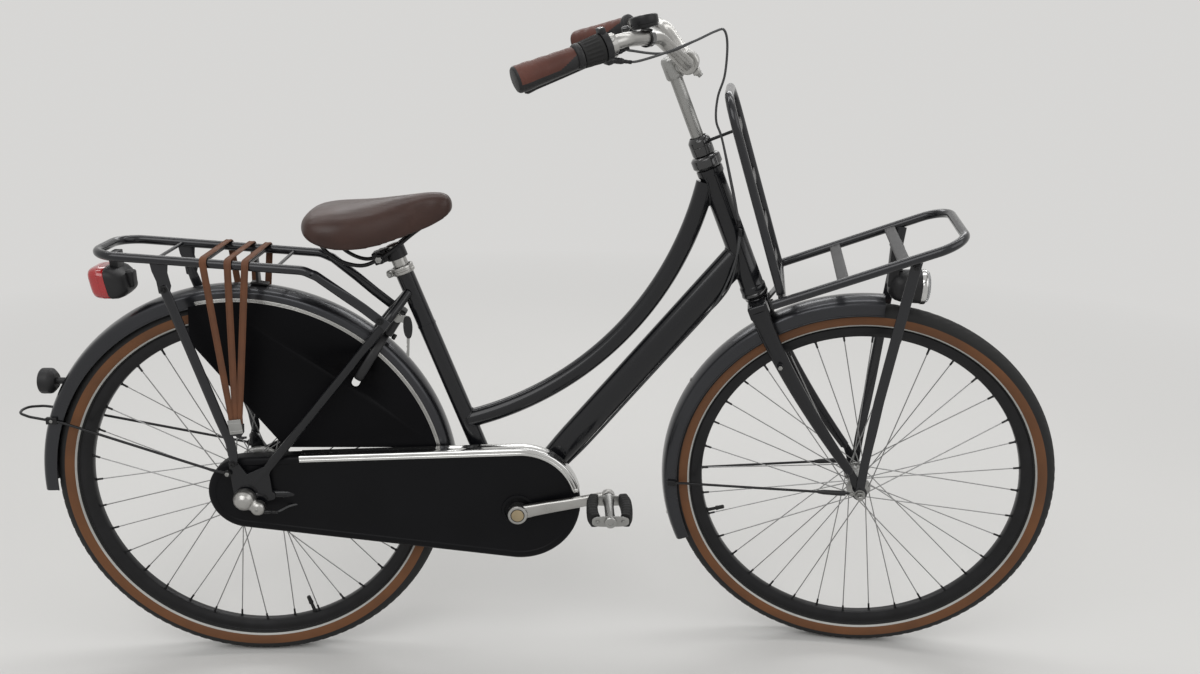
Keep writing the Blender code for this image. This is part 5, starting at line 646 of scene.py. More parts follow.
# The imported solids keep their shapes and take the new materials

SHELL = {
    "frame": ["main_frame", "fork"],
    "rack": ["rear_rack", "front_rack_platform", "front_rack_upright"],
    "fender": ["rear_fender", "front_fender"],
    "gloss": ["headset_lower_cup", "headset_upper_cup", "headset_lock_nut", "bell", "bell_striker"],
    "black_metal": ["saddle_frame", "kickstand_leg", "rear_roller_brake", "seat_clamp"],
    "black": ["rear_light_body", "rear_reflector", "ring_lock_housing", "shifter_housing", "headlight_body",
              "brake_lever"],
    "red": ["rear_light_lens"],
    "lens": ["headlight_lens"],
    "strap": ["elastic_straps"],
    "guard": ["coat_guard_right", "coat_guard_left"],
    "case": ["chain_case_outer", "chain_case_inner"],
    "chrome": ["chain_case_trim"],
    "steel": ["chain", "sprocket", "rear_axle", "front_axle", "bottom_bracket_unit", "ring_lock_shackle",
              "ring_lock_key"],
    "alloy": ["gear_click_box", "front_hub_with_spokes", "rear_hub_with_spokes"],
    "polished": ["crank_right", "crank_left", "seatpost", "stem", "handlebar", "brake_lever_bracket"],
    "cable": ["shift_cable_frame", "brake_cable_frame", "shift_cable_bar", "brake_cable_bar"],
    "saddle": ["saddle_cover"],
    "grip": ["grip_right", "grip_left"],
    "rubber": ["shifter_sleeve", "pedal_right", "pedal_left"],
    "wall": ["front_tyre", "rear_tyre"],
    "rim": ["front_rim", "rear_rim"],
}


def dress_solids():
    for finish, members in SHELL.items():
        for member in members:
            node = NODES[member]
            for index in range(len(node.data.materials)):
                node.data.materials[index] = MATS[finish].material
            weld_edges = node.modifiers.new("weld", "WELD")
            weld_edges.merge_threshold = 0.00001
            bevel(node, 0.0005, 2, 50.0)


# Wheels

TREAD_BLOCKS = 110
TYRE_STRIPS = ["tread", "wall", "stripe"]
SPOKES = 36
RIM_HOLE_R = 0.2968


def tread_wave(angle, index, level, radius):
    """Shallow slanting grooves across the black tread."""
    if 0.3480 < radius and abs(level) > 0.004:
        phase = angle * TREAD_BLOCKS / (2 * math.pi) + abs(level) * 60.0
        if phase % 1.0 < 0.40:
            radius -= 0.0010
    return level, radius


def build_tyre(name, axle, body):
    right = [(0.0095, 0.3105), (0.0105, 0.3150), (0.0128, 0.3180), (0.0156, 0.3196), (0.0170, 0.3206),
             (0.0188, 0.3224), (0.0197, 0.3236), (0.0210, 0.3258), (0.0222, 0.3290), (0.0234, 0.3345),
             (0.0233, 0.3400), (0.0224, 0.3446), (0.0214, 0.3470), (0.0190, 0.3508), (0.0160, 0.3536),
             (0.0126, 0.3556), (0.0090, 0.3569), (0.0052, 0.3577), (0.0030, 0.3580), (0.0, 0.3580)]
    strips = []
    for a, b in zip(right, right[1:]):
        middle = (a[1] + b[1]) / 2
        strips.append(0 if middle > 0.3420 or middle < 0.3206 else 2 if middle < 0.3236 else 1)
    profile = right + [(-a, r) for a, r in reversed(right[:-1])]
    strips = strips + list(reversed(strips))
    tyre = revolve("tyre", axle, Y_AXIS, profile, TYRE_STRIPS, 660, tread_wave, 38.0, strips, start=X_AXIS)
    dress(name, tyre, body)


def build_rim(name, axle, valve_angle, body):
    half = 0.0132
    right = [(0.0, 0.2962), (0.0058, 0.2964), (0.0080, 0.2974), (0.0112, 0.3030), (0.0128, 0.3060),
             (half, 0.3085), (half, 0.3150), (0.0137, 0.3158), (0.0137, 0.3166), (0.0130, 0.3171),
             (0.0121, 0.3166), (0.0117, 0.3120), (0.0, 0.3112)]
    profile = right + [(-a, r) for a, r in reversed(right[1:-1])]
    rim = revolve("rim", axle, Y_AXIS, profile, "rim", 216, smooth=32.0, closed=True)
    out = radial(valve_angle)
    stem = [(0.0, 0.0), (0.0, 0.0050), (0.0018, 0.0050), (0.0026, 0.0034), (0.018, 0.0031), (0.0182, 0.0044),
            (0.0220, 0.0044), (0.0225, 0.0040), (0.033, 0.0038), (0.0345, 0.0028), (0.0345, 0.0)]
    valve = revolve("valve", axle + out * RIM_HOLE_R, -out, stem, "rubber", 20)
    dress(name, [rim, valve], body)


def spoke_ends(axle, index, flange_y, flange_r):
    """A spoke's flange hole and the place where it meets the rim."""
    side = -1 if index % 2 else 1
    leading = (index // 2) % 2
    rim_angle = 2 * math.pi * index / SPOKES
    lean = 2 * math.pi * 6 / SPOKES
    hub_angle = rim_angle - lean if leading else rim_angle + lean
    reach = flange_r - 0.0035
    shift = 0.0019 if leading else -0.0019
    hub = Vector((reach * math.cos(hub_angle), side * (flange_y + shift), reach * math.sin(hub_angle)))
    rim = Vector((RIM_HOLE_R * math.cos(rim_angle), side * 0.0034, RIM_HOLE_R * math.sin(rim_angle)))
    return axle + hub, axle + rim, side, 1 if leading else -1


def build_hub(name, axle, flange, shell, body):
    """The hub shell, its 36 spokes with their heads, and a nipple at each rim hole."""
    flange_y, flange_r, flange_t = flange
    pieces = [revolve("shell", axle, Y_AXIS, shell, "alloy", 64, smooth=30.0)]
    for side in (-1, 1):
        y = side * flange_y
        t = flange_t / 2
        ring = [(y - t, flange_r - 0.008), (y - t, flange_r - 0.0008), (y - t + 0.0006, flange_r),
                (y + t - 0.0006, flange_r), (y + t, flange_r - 0.0008), (y + t, flange_r - 0.008)]
        pieces.append(revolve("flange", axle, Y_AXIS, ring, "alloy", 64))
    for index in range(SPOKES):
        hub, rim, side, sense = spoke_ends(axle, index, flange_y, flange_r)
        along = (rim - hub).normalized()
        elbow = hub + along * 0.0035
        path = [hub - Y_AXIS * side * sense * 0.0030, hub, elbow, elbow.lerp(rim, 0.5), rim - along * 0.004]
        pieces.append(tube("spoke", path, 0.00105, "spoke", 8, smooth=60.0))
        knob = [(-0.0012, 0.0), (-0.0010, 0.0015), (0.0, 0.0021), (0.0006, 0.0021), (0.0006, 0.0)]
        pieces.append(revolve("head", hub - Y_AXIS * side * sense * 0.0024, Y_AXIS * side * sense, knob,
                              "spoke", 10))
        nut = [(0.0, 0.0), (0.0, 0.0028), (0.0022, 0.0028), (0.0026, 0.0020), (0.0125, 0.0019),
               (0.0130, 0.0014), (0.0130, 0.0)]
        pieces.append(revolve("nipple", rim + along * 0.0004, -along, nut, "black_metal", 10))
    dress(name, pieces, body)


def build_axle(name, centre, half_l, inner, outer, nut_r, body):
    """The axle with its cones inside the frame ends, and washers and nuts outside them."""
    r = 0.005
    profile = both_ways([(half_l - 0.0008, r * 0.96), (half_l, r * 0.8), (half_l, 0.0)])
    pieces = [revolve("rod", centre, Y_AXIS, profile, "steel", 32)]
    for side in (-1, 1):
        out = Y_AXIS * side
        cone = [(inner - 0.012, r), (inner - 0.010, r * 1.7), (inner - 0.004, r * 1.9), (inner, r * 1.9),
                (inner, r)]
        pieces.append(revolve("cone", centre, out, cone, "steel", 24))
        washer = [(outer, r), (outer, nut_r * 1.12), (outer + 0.0010, nut_r * 1.12), (outer + 0.0014, nut_r),
                  (outer + 0.0014, r)]
        pieces.append(revolve("washer", centre, out, washer, "steel", 40))
        nut = [(outer + 0.0014, r), (outer + 0.0014, nut_r), (outer + 0.0075, nut_r),
               (outer + 0.0085, nut_r * 0.88), (outer + 0.0085, r)]
        pieces.append(revolve("nut", centre, out, nut, "steel", 6, smooth=15.0))
    dress(name, pieces, body)


def build_wheels():
    build_tyre("rear_tyre", REAR_AXLE, "rear_wheel")
    build_tyre("front_tyre", FRONT_AXLE, "front_wheel")
    build_rim("rear_rim", REAR_AXLE, -72, "rear_wheel")
    build_rim("front_rim", FRONT_AXLE, -162, "front_wheel")
    shell = both_ways([(0.014, 0.0140), (0.0225, 0.0150), (0.0272, 0.0185), (0.029, 0.0190), (0.031, 0.0118),
                       (0.0345, 0.0115), (0.036, 0.0105), (0.036, 0.0055)])
    build_hub("front_hub_with_spokes", FRONT_AXLE, (0.0290, 0.0225, 0.0030), shell, "front_wheel")
    shell = both_ways([(0.019, 0.0290), (0.023, 0.0295), (0.026, 0.0310), (0.0292, 0.0300), (0.031, 0.0200),
                       (0.033, 0.0100), (0.033, 0.0055)])
    build_hub("rear_hub_with_spokes", REAR_AXLE, (0.0275, 0.0370, 0.0034), shell, "rear_wheel")
    build_axle("rear_axle", REAR_AXLE, 0.082, 0.0632, 0.0698, 0.0095, "frame")
    build_axle("front_axle", FRONT_AXLE, 0.076, 0.0497, 0.0586, 0.0090, "steering")


# Fenders

REAR_CROWN_R, FRONT_CROWN_R = 0.382, 0.375
FENDER_HALF_W = 0.0295
DROPOUT_IN, DROPOUT_OUT = 0.0635, 0.0695
FORK_IN, FORK_OUT = 0.050, 0.055
STAY_R = 0.0025
GAP = 0.0003


def fender_half(crown_r):
    """Half of the fender's outer section, from its rolled edge to its crown."""
    points = [(0.0295, crown_r - 0.030), (0.0296, crown_r - 0.022), (0.0295, crown_r - 0.0145),
              (0.0280, crown_r - 0.0095), (0.0240, crown_r - 0.0057), (0.0183, crown_r - 0.0032),
              (0.0110, crown_r - 0.0012), (0.0050, crown_r - 0.0003), (0.0, crown_r)]
    return [(p.x, p.y) for p in catmull([(x, y, 0.0) for x, y in points], 3)]


def fender_shell(axle, crown_r, start, end):
    half = fender_half(crown_r)
    thick = 0.0013
    outer = [(-a, r) for a, r in half] + list(reversed(half))[1:]
    bead = [(0.0301, crown_r - 0.0305), (0.0296, crown_r - 0.0313), (0.0286, crown_r - 0.0313),
            (0.0280, crown_r - 0.0304)]
    inner = []
    for (a0, r0), (a1, r1) in zip(half, half[1:] + [(-half[-2][0], half[-2][1])]):
        run = Vector((a1 - a0, r1 - r0)).normalized()
        inner.append((a0 + run.y * -thick if run.y > 0.5 else a0 - thick * abs(run.y), r0 - thick * abs(run.x)))
    inner = [(min(a, FENDER_HALF_W - thick), r) for a, r in inner]
    section = outer + bead + inner + [(-a, r) for a, r in reversed(inner[:-1])]
    section += [(-a, r) for a, r in reversed(bead)]
    count = int(abs(end - start) / 1.5)
    rings = []
    for i in range(count + 1):
        out = radial(start + (end - start) * i / count)
        rings.append([axle + Y_AXIS * a + out * r for a, r in section])
    return loft("shell", rings, "fender", 50.0)


def edge_line(axle, radius, level, start, end, thick, material):
    path = [axle + Y_AXIS * level + radial(start + (end - start) * i / 80) * radius for i in range(81)]
    return tube("line", path, thick, material, 10)


def build_fenders():
    crown = REAR_CROWN_R
    pieces = [fender_shell(REAR_AXLE, crown, -2.0, 181.0)]
    for side in (-1, 1):
        pieces.append(edge_line(REAR_AXLE, crown - 0.0302, side * 0.0297, -2.0, 181.0, 0.0012, "fender"))
        # The polished and steel lines on the fender's side, over its upper front quarter, are a painted highlight of
        # the lit edge, drawn as bright metal.
        for radius, thick in ((crown - 0.0218, 0.0017), (crown - 0.0262, 0.0014)):
            pieces.append(edge_line(REAR_AXLE, radius, side * 0.0299, 2.0, 101.0, thick, "polished"))
        pieces.append(edge_line(REAR_AXLE, crown - 0.0241, side * 0.0297, 2.0, 101.0, 0.0019, "steel"))
    touch, clear = FENDER_HALF_W + STAY_R - 0.0006, DROPOUT_OUT + GAP + STAY_R
    half = [Vector((-0.030, clear, 0.404)), Vector((-0.060, clear - 0.002, 0.4115)),
            Vector((-0.325, touch + 0.0006, 0.486)), Vector((-0.345, touch, 0.490)),
            Vector((-0.385, 0.028, 0.4965)), Vector((-0.407, 0.017, 0.499)), Vector((-0.411, 0.0, 0.499))]
    path = half + [mirrored(p) for p in reversed(half[:-1])]
    pieces.append(tube("wire", rounded(path, 0.02, 6), 0.0024, "black_metal", 14))
    for side in (-1, 1):
        eye = Vector((-0.027, side * (clear + 0.0002), 0.4032))
        ring = both_ways([(0.0022, 0.0062), (0.0022, 0.0030)])
        pieces.append(revolve("eye", eye, Y_AXIS, ring, "black_metal", 24, closed=True))
        pieces.append(bolt("screw", eye + Y_AXIS * side * 0.0020, Y_AXIS * side, 0.0042, 0.0030))
        clip = Vector((-0.345, side * (touch - 0.001), 0.490))
        pieces.append(block("clip", clip, (0.020, 0.0075, 0.013), "black_metal", round_off=0.0012))
        pieces.append(bolt("rivet", clip + Y_AXIS * side * 0.0037, Y_AXIS * side, 0.0030, 0.0018, hexed=False))
    dress("rear_fender", pieces, "frame")

    crown = FRONT_CROWN_R
    pieces = [fender_shell(FRONT_AXLE, crown, 88.0, 203.7)]
    clear = FORK_OUT + 0.003 + 2 * GAP + STAY_R
    for side in (-1, 1):
        pieces.append(edge_line(FRONT_AXLE, crown - 0.0302, side * 0.0297, 88.0, 203.7, 0.0012, "fender"))
        path = [Vector((0.787, side * touch, 0.3375)), Vector((0.815, side * (touch + 0.0004), 0.3395)),
                Vector((1.105, side * (clear + 0.004), 0.362)), Vector((1.127, side * (clear + 0.004), 0.3632))]
        pieces.append(tube("wire", rounded(path, 0.05, 6), 0.0024, "black_metal", 14))
        sleeve = [Vector((1.066, side * 0.0606, 0.3590)), Vector((1.076, side * 0.0618, 0.3598)),
                  Vector((1.105, side * (clear + 0.004), 0.3620)), Vector((1.116, side * (clear + 0.004), 0.3627))]
        pieces.append(tube("sleeve", sleeve, [0.0032, 0.0046, 0.0050, 0.0048], "black", 18))
        pieces.append(block("clip", Vector((0.790, side * touch, 0.3377)), (0.016, 0.007, 0.011),
                            "black_metal", round_off=0.0012))
        pieces.append(bolt("screw", Vector((1.127, side * (clear + 0.0035), 0.3632)), Y_AXIS * side, 0.0046,
                           0.0040, washer=0.0058))
    for angle in (150.0, 196.0):
        out = radial(angle)
        pieces.append(bolt("rivet", FRONT_AXLE + out * (crown - 0.0002), out, 0.0034, 0.0020, hexed=False))
    dress("front_fender", pieces, "steering")


# Frame

STAY_ANGLE = math.atan2(0.730 - WHEEL_R, seat_at(0.730).x)
STAY_UP = Vector((math.cos(STAY_ANGLE), 0.0, math.sin(STAY_ANGLE)))
CHAIN_STAY_POINTS = [(0.472, 0.0290, 0.326), (0.420, 0.0310, 0.331), (0.330, 0.0385, 0.338),
                     (0.110, 0.0480, 0.3535), (0.042, 0.0590, 0.3575), (0.018, 0.0635, 0.358)]
DOWN_FOOT = BB + Vector((0.004, 0.0, 0.005))
DOWN_HEAD = steer_at(0.797)


def stay_point(r, y):
    return REAR_AXLE + STAY_UP * r + Y_AXIS * y


def top_tube_arc(steps):
    head = steer_at(0.930) - STEER_FORE * 0.014
    seat = seat_at(0.480)
    chord = head - seat
    across = Vector((-chord.z, 0.0, chord.x)).normalized()
    rise = math.sqrt(0.584 ** 2 - (chord.length / 2) ** 2)
    centre = (head + seat) / 2 + across * rise
    start = math.atan2(head.z - centre.z, head.x - centre.x)
    end = math.atan2(seat.z - centre.z, seat.x - centre.x)
    return [Vector((x, 0.0, z)) for x, z in arc((centre.x, centre.z), 0.584, start, end, steps)]


def down_half(t):
    """Half width and half height of the down tube at a share of its length."""
    wide = 0.019 * between([(0.0, 1.15), (0.25, 1.0), (1.0, 1.0)], t)
    tall = 0.027 * between([(0.0, 0.76), (0.26, 0.985), (1.0, 1.0)], t)
    return wide, tall


def build_frame():
    head_foot = steer_at(0.729)
    head_l = (0.950 - 0.729) / STEER_UP.z
    r = 0.0215
    ends = [(0.0, r - 0.004), (0.0, r + 0.0015), (0.0006, r + 0.002), (0.0100, r + 0.002), (0.0112, r + 0.0014),
            (0.0140, r)]
    ends += [(head_l - a, b) for a, b in reversed(ends)]
    pieces = [revolve("head", head_foot, STEER_UP, ends, "frame", 64)]
    top = top_tube_arc(64)
    top_r, sr, shell_r = 0.01725, 0.01625, 0.0210
    pieces.append(tube("top", top, top_r, sides=32, side=Y_AXIS))
    steps = 24
    down = [DOWN_FOOT.lerp(DOWN_HEAD, i / steps) for i in range(steps + 1)]
    halves = [down_half(i / steps) for i in range(steps + 1)]
    pieces.append(tube("down", down, [h[0] for h in halves], sides=40, up_r=[h[1] for h in halves],
                       side=Y_AXIS))
    seat_l = (0.772 - SEAT_FOOT.z) / SEAT_UP.z
    seam = (0.662 - SEAT_FOOT.z) / SEAT_UP.z
    profile = [(-0.004, sr), (seam, sr), (seam + 0.0002, sr + 0.0008), (seam + 0.0038, sr + 0.0008),
               (seam + 0.004, sr), (seat_l - 0.0006, sr), (seat_l, sr - 0.0006), (seat_l, sr - 0.0024)]
    pieces.append(revolve("seat", SEAT_FOOT, SEAT_UP, profile, "frame", 48))
    shell = both_ways([(0.0334, shell_r), (0.034, 0.0204), (0.034, 0.0172)])
    pieces.append(revolve("shell", BB, Y_AXIS, shell, "frame", 56))
    for side in (-1, 1):
        top_end = seat_at(0.730)
        stay_y = (DROPOUT_IN + DROPOUT_OUT) / 2
        path = [stay_point(0.030, side * stay_y), stay_point(0.100, side * stay_y),
                stay_point(0.145, side * 0.0650), stay_point(0.300, side * 0.0560),
                stay_point(0.390, side * 0.0505), stay_point(0.425, side * 0.0490),
                stay_point(0.452, side * 0.0300), Vector((top_end.x - 0.004, side * 0.013, top_end.z - 0.003))]
        path = finer(rounded(path, 0.045, 8), 0.012)
        far = shares(path)
        wide = vary(far, (0.0, 0.0040), (0.12, 0.0040), (0.30, 0.0080), (1.0, 0.0080))
        pieces.append(tube("seat_stay", path, wide, sides=24, up_r=0.0080, side=Y_AXIS))
        path = [Vector((x, side * y, z)) for x, y, z in CHAIN_STAY_POINTS]
        path = finer(rounded(path, 0.10, 8), 0.012)
        pieces.append(tube("chain_stay", path, 0.0080, sides=24, side=Y_AXIS))
        ear = REAR_AXLE + STAY_UP * 0.062
        outline = arc((0.0, WHEEL_R), 0.021, math.radians(200), math.radians(300), 12)
        outline += arc((0.046, WHEEL_R - 0.001), 0.0085, math.radians(-80), math.radians(70), 10)
        outline += arc((ear.x, ear.z), 0.009, math.radians(-40), math.radians(110), 10)
        outline += [(0.006, WHEEL_R + 0.042)]
        outline += arc((-0.016, WHEEL_R + 0.062), 0.009, math.radians(60), math.radians(190), 10)
        pieces.append(plate("dropout", outline, *apart(side, DROPOUT_IN, DROPOUT_OUT), "frame",
                            round_off=0.0008))
    bridge = stay_point(REAR_CROWN_R + GAP + 0.005, 0.0)
    pieces.append(tube("bridge", [bridge - Y_AXIS * 0.050, bridge + Y_AXIS * 0.050], 0.005, side=X_AXIS))
    pieces.append(bolt("bridge_bolt", bridge + STAY_UP * 0.0046, STAY_UP, 0.0048, 0.004, washer=0.0068))
    pieces.append(block("stand_plate", Vector((0.4225, 0.0, 0.329)), (0.050, 0.062, 0.006), "frame"))
    pieces.append(block("bracket", Vector((0.430, 0.033, 0.310)), (0.024, 0.026, 0.036), "frame",
                        round_off=0.0015))
    pin = [(0.0, 0.004), (0.0155, 0.004), (0.0155, 0.007), (0.0170, 0.007), (0.0175, 0.0062), (0.0175, 0.0)]
    pieces.append(revolve("pin", Vector((0.430, 0.044, 0.300)), Y_AXIS, pin, "steel", 24))
    pieces.append(block("fender_tab", Vector((0.3838, 0.0, 0.343)), (0.003, 0.018, 0.040), "frame"))
    pieces.append(block("tab_foot", Vector((0.3919, 0.0, 0.329)), (0.019, 0.018, 0.005), "frame"))
    last = top[-1] - top[-2]
    first = top[0] - top[1]
    head_ahead = (DOWN_HEAD - DOWN_FOOT).normalized()
    head_at = steer_at(0.85)
    pieces += [weld(top[1], first, top_r, top_r, head_at, STEER_UP, r),
               weld(top[-2], last, top_r, top_r, SEAT_FOOT, SEAT_UP, sr),
               weld(down[-6], head_ahead, *down_half(0.9), head_at, STEER_UP, r),
               weld(down[4], -head_ahead, *down_half(0.05), BB, Y_AXIS, shell_r),
               weld(SEAT_FOOT + SEAT_UP * 0.06, -SEAT_UP, sr, sr, BB, Y_AXIS, shell_r)]
    dress("main_frame", pieces, "frame")


def build_headset():
    bore = 0.0150
    foot = steer_at(0.729) - STEER_UP * 0.0003
    r = 0.0235
    low = [(0.0, bore), (0.0, r - 0.0005), (0.0005, r), (0.0048, r + 0.001), (0.0062, r + 0.0004),
           (0.0105, r - 0.0024), (0.012, r - 0.0034), (0.012, bore)]
    dress("headset_lower_cup", revolve("cup", foot, -STEER_UP, low, "gloss", 64), "frame")
    foot = steer_at(0.950) + STEER_UP * 0.0003
    r = 0.0265
    high = [(0.0, bore), (0.0, r - 0.005), (0.0045, r - 0.0012), (0.0060, r), (0.0190, r), (0.0208, r - 0.0012),
            (0.0235, r - 0.0044), (0.024, r - 0.0056), (0.024, bore)]
    dress("headset_upper_cup", revolve("cup", foot, STEER_UP, high, "gloss", 64), "frame")
    foot = steer_at(0.950) + STEER_UP * 0.0253
    n = 0.020
    nut = [(0.0, bore), (0.0, n - 0.002), (0.0010, n - 0.0006), (0.003, n), (0.0150, n), (0.0158, n - 0.0006),
           (0.0166, n), (0.025, n), (0.028, n - 0.0014), (0.0322, n - 0.0046), (0.033, n - 0.0056), (0.033, bore)]
    hook = upright_at(1.020) - UPRIGHT_FORE * 0.0018
    start = foot + STEER_UP * 0.020 + STEER_FORE * (n - 0.003)
    rod = tube("stay", [start, hook - X_AXIS * 0.0006], 0.0028, "black_metal", 16)
    dress("headset_lock_nut", [revolve("nut", foot, STEER_UP, nut, "gloss", 64), rod], "steering")


# Fork, stem and handlebar

CROWN_TOP = steer_at(0.729) - STEER_UP * (0.0003 + 0.012 + 0.001)
NUT_FOOT = steer_at(0.950) + STEER_UP * 0.0253
BAR_CENTRE = steer_at(1.118) + STEER_FORE * 0.028
BAR_POINTS = [(-0.044, 0.085, 0.048), (-0.087, 0.198, 0.054), (-0.234, 0.286, 0.002)]


def build_fork():
    centre = CROWN_TOP - STEER_UP * 0.013
    crown = block("crown", centre, (0.036, 0.106, 0.026), "frame", STEER_FORE, Y_AXIS, 0.0045)
    neck = [(0.0, 0.0143), (0.013, 0.0205), (0.0139, 0.0200), (0.0142, 0.0143)]
    pieces = [crown, revolve("seat", centre, STEER_UP, neck, "frame", 48)]
    boss_l = (centre - STEER_FOOT).length - math.sqrt((FRONT_CROWN_R + 0.0006) ** 2 - 0.050 ** 2)
    pieces.append(tube("boss", [centre, centre - STEER_UP * boss_l], 0.010, sides=24, side=Y_AXIS))
    foot_z, tip_y = FRONT_AXLE.z + 0.024, 0.0525
    for side in (-1, 1):
        path, wide, deep = [], [], []
        for i in range(33):
            t = i / 32
            z = 0.7046 + (foot_z - 0.7046) * t
            y = 0.046 + (tip_y + 0.002 - 0.046) * t
            path.append(steer_at(z) + STEER_FORE * (FORK_RAKE * t ** 1.65 * 0.93) + Y_AXIS * side * y)
            wide.append(0.010 + (0.0065 - 0.010) * t)
            deep.append(0.017 + (0.0085 - 0.017) * t)
        pieces.append(tube("blade", path, wide, sides=28, up_r=deep, side=Y_AXIS))
        foot = path[-1] - FRONT_AXLE
        outline = [(-0.012, 0.004)] + arc((0.0, 0.0), 0.014, math.radians(180), math.radians(390), 24)
        outline += [(foot.x + 0.007, foot.z + 0.003), (foot.x - 0.006, foot.z + 0.008)]
        pieces.append(plate("tip", outline, *apart(side, FORK_IN, FORK_OUT), "frame", FRONT_AXLE,
                            round_off=0.0007))
        cap = [(0.0, 0.0), (0.0, 0.0066), (0.004, 0.0060), (0.0075, 0.0036), (0.0085, 0.0)]
        pieces.append(revolve("blade_end", path[-1], -(path[-2] - path[-1]), cap, "frame", 24))
    plug = steer_at(0.606) + STEER_FORE * 0.004 - Y_AXIS * 0.050
    button = [(0.0, 0.006), (0.013, 0.006), (0.014, 0.0052), (0.014, 0.004), (0.0174, 0.004), (0.018, 0.0034),
              (0.018, 0.0)]
    pieces.append(revolve("plug", plug, -Y_AXIS, button, "frame", 24))
    pieces.append(bolt("plug_screw", plug - Y_AXIS * 0.0178, -Y_AXIS, 0.0042, 0.0022))
    column = (NUT_FOOT - centre).length + 0.031
    pieces.append(tube("steerer", [centre, centre + STEER_UP * column], 0.0141, sides=24, side=Y_AXIS))
    dress("fork", pieces, "steering")


def build_stem():
    head = steer_at(1.118)
    bottom = NUT_FOOT + STEER_UP * (0.034 - 0.215)
    quill_l = (head - bottom).length
    quill = [(0.0, 0.0), (0.0, 0.0111), (quill_l, 0.0111)]
    profile = [(-0.018, 0.0111), (-0.018, 0.0135), (-0.0150, 0.0156), (-0.0120, 0.0160), (0.0140, 0.0160),
               (0.0180, 0.0146), (0.0205, 0.0118), (0.0216, 0.0085), (0.0216, 0.0052), (0.0180, 0.0050),
               (0.0180, 0.0)]
    pieces = [revolve("quill", bottom, STEER_UP, quill, "steel", 40),
              revolve("head", head, STEER_UP, profile, "alloy", 48, smooth=45.0)]
    start = head - STEER_UP * 0.002
    path = [start.lerp(BAR_CENTRE, i / 6) for i in range(7)]
    pieces.append(tube("arm", path, [0.0150 - 0.0002 * i for i in range(7)], "alloy", 28,
                       [0.0138 - 0.0002 * i for i in range(7)], Y_AXIS))
    clamp = both_ways([(0.0166, 0.0190), (0.018, 0.0172), (0.018, 0.0129)])
    pieces.append(revolve("clamp", BAR_CENTRE, Y_AXIS, clamp, "polished", 48, closed=True))
    under = (STEER_FORE * 0.45 - STEER_UP).normalized()
    pieces.append(block("ear", BAR_CENTRE + under * 0.0205, (0.012, 0.026, 0.011), "polished",
                        STEER_FORE, Y_AXIS, 0.0022))
    pieces.append(bolt("clamp_bolt", BAR_CENTRE + under * 0.0255, under, 0.0048, 0.0055, "steel", False, 0.0062))
    dress("stem", pieces, "steering")


def bar_path(side):
    points = [BAR_CENTRE + Y_AXIS * side * 0.032]
    points += [BAR_CENTRE + Vector((x, side * y, z)) for x, y, z in BAR_POINTS]
    return rounded(points, 0.048, 16)


def bar_point(side, s):
    """The point and direction of the straight grip part at a distance from the bar's end."""
    end = BAR_CENTRE + Vector((BAR_POINTS[2][0], side * BAR_POINTS[2][1], BAR_POINTS[2][2]))
    bend = BAR_CENTRE + Vector((BAR_POINTS[1][0], side * BAR_POINTS[1][1], BAR_POINTS[1][2]))
    along = (bend - end).normalized()
    return end + along * s, along


def grip_frame(side):
    """Directions at the grip: along the bar, towards the middle of the bicycle, and up."""
    _, along = bar_point(side, 0.0)
    inward = Vector((-0.513, -side * 0.858, 0.0))
    inward = (inward - along * inward.dot(along)).normalized()
    up = (Z_AXIS - along * along.z).normalized()
    return along, inward, up


def build_handlebar():
    pieces = []
    for side in (1, -1):
        half = finer(bar_path(side), 0.01)
        thick = vary([abs(p.y) for p in half], (0.0, 0.0127), (0.040, 0.0127), (0.052, 0.0111), (9.0, 0.0111))
        pieces.append(tube("bar", half, thick, "polished", 28))
    pieces.append(tube("middle", [BAR_CENTRE - Y_AXIS * 0.033, BAR_CENTRE + Y_AXIS * 0.033], 0.0127,
                       "polished", 28, side=X_AXIS))
    dress("handlebar", pieces, "steering")


def build_grips():
    """Grips of brown imitation leather with soft ridges and a black end cap; the faces that turn down are black,
    more of them towards the inner end.
    """
    for side, name, length in ((-1, "grip_right", 0.1055), (1, "grip_left", 0.135)):
        end, along = bar_point(side, 0.0)
        _, inward, up = grip_frame(side)
        small, big = 0.0170, 0.0205
        profile = [(-0.0040, 0.0), (-0.0040, 0.0165), (-0.0034, 0.0182), (-0.0020, 0.0196), (0.0, 0.0203)]
        steps = 64
        girth = [(0.0, big), (0.012, big), (0.034, small + 0.0022), (0.070, small + 0.0011), (length - 0.010, small)]
        for i in range(steps + 1):
            s = 0.001 + (length - 0.012) * i / steps
            profile.append((s, between(girth, s)))
        profile += [(length - 0.0105, small - 0.0002), (length - 0.0100, small + 0.0012),
                    (length - 0.007, small + 0.003), (length - 0.001, small + 0.003),
                    (length, small + 0.0022), (length, 0.0112)]
        strips = [1] * 4 + [0] * (steps + 1) + [1] * 10

        def ridges(angle, index, level, radius, last=length):
            if 0.004 < level < last - 0.013:
                rise = max(0.0, math.cos(angle)) ** 0.5
                wave = 0.5 - 0.5 * math.cos(2 * math.pi * (level - 0.010) / 0.0225)
                radius += (0.0012 * wave - 0.0006) * rise
                lean = math.cos(angle - math.radians(200))
                radius += 0.0009 * max(0.0, lean)
            return level, radius

        grip = revolve("grip", end, along, profile, ["grip", "black"], 64, ridges, 60.0, strips, start=inward)
        for polygon in grip.data.polygons:
            level = (polygon.center - end).dot(along)
            out = polygon.center - end - along * level
            edge = -0.30 + 2.4 * max(0.0, level / length - 0.60)
            if out.dot(up) < edge * out.length:
                polygon.material_index = 1
        seam = []
        for i in range(60):
            s = 0.004 + (length - 0.018) * i / 59
            seam.append(end + along * s - up * (between(girth, s) + 0.0001))
        pieces = [grip, tube("seam", seam, 0.0006, "black", 8)]
        dress(name, pieces, "steering")


# Front carrier and lamp

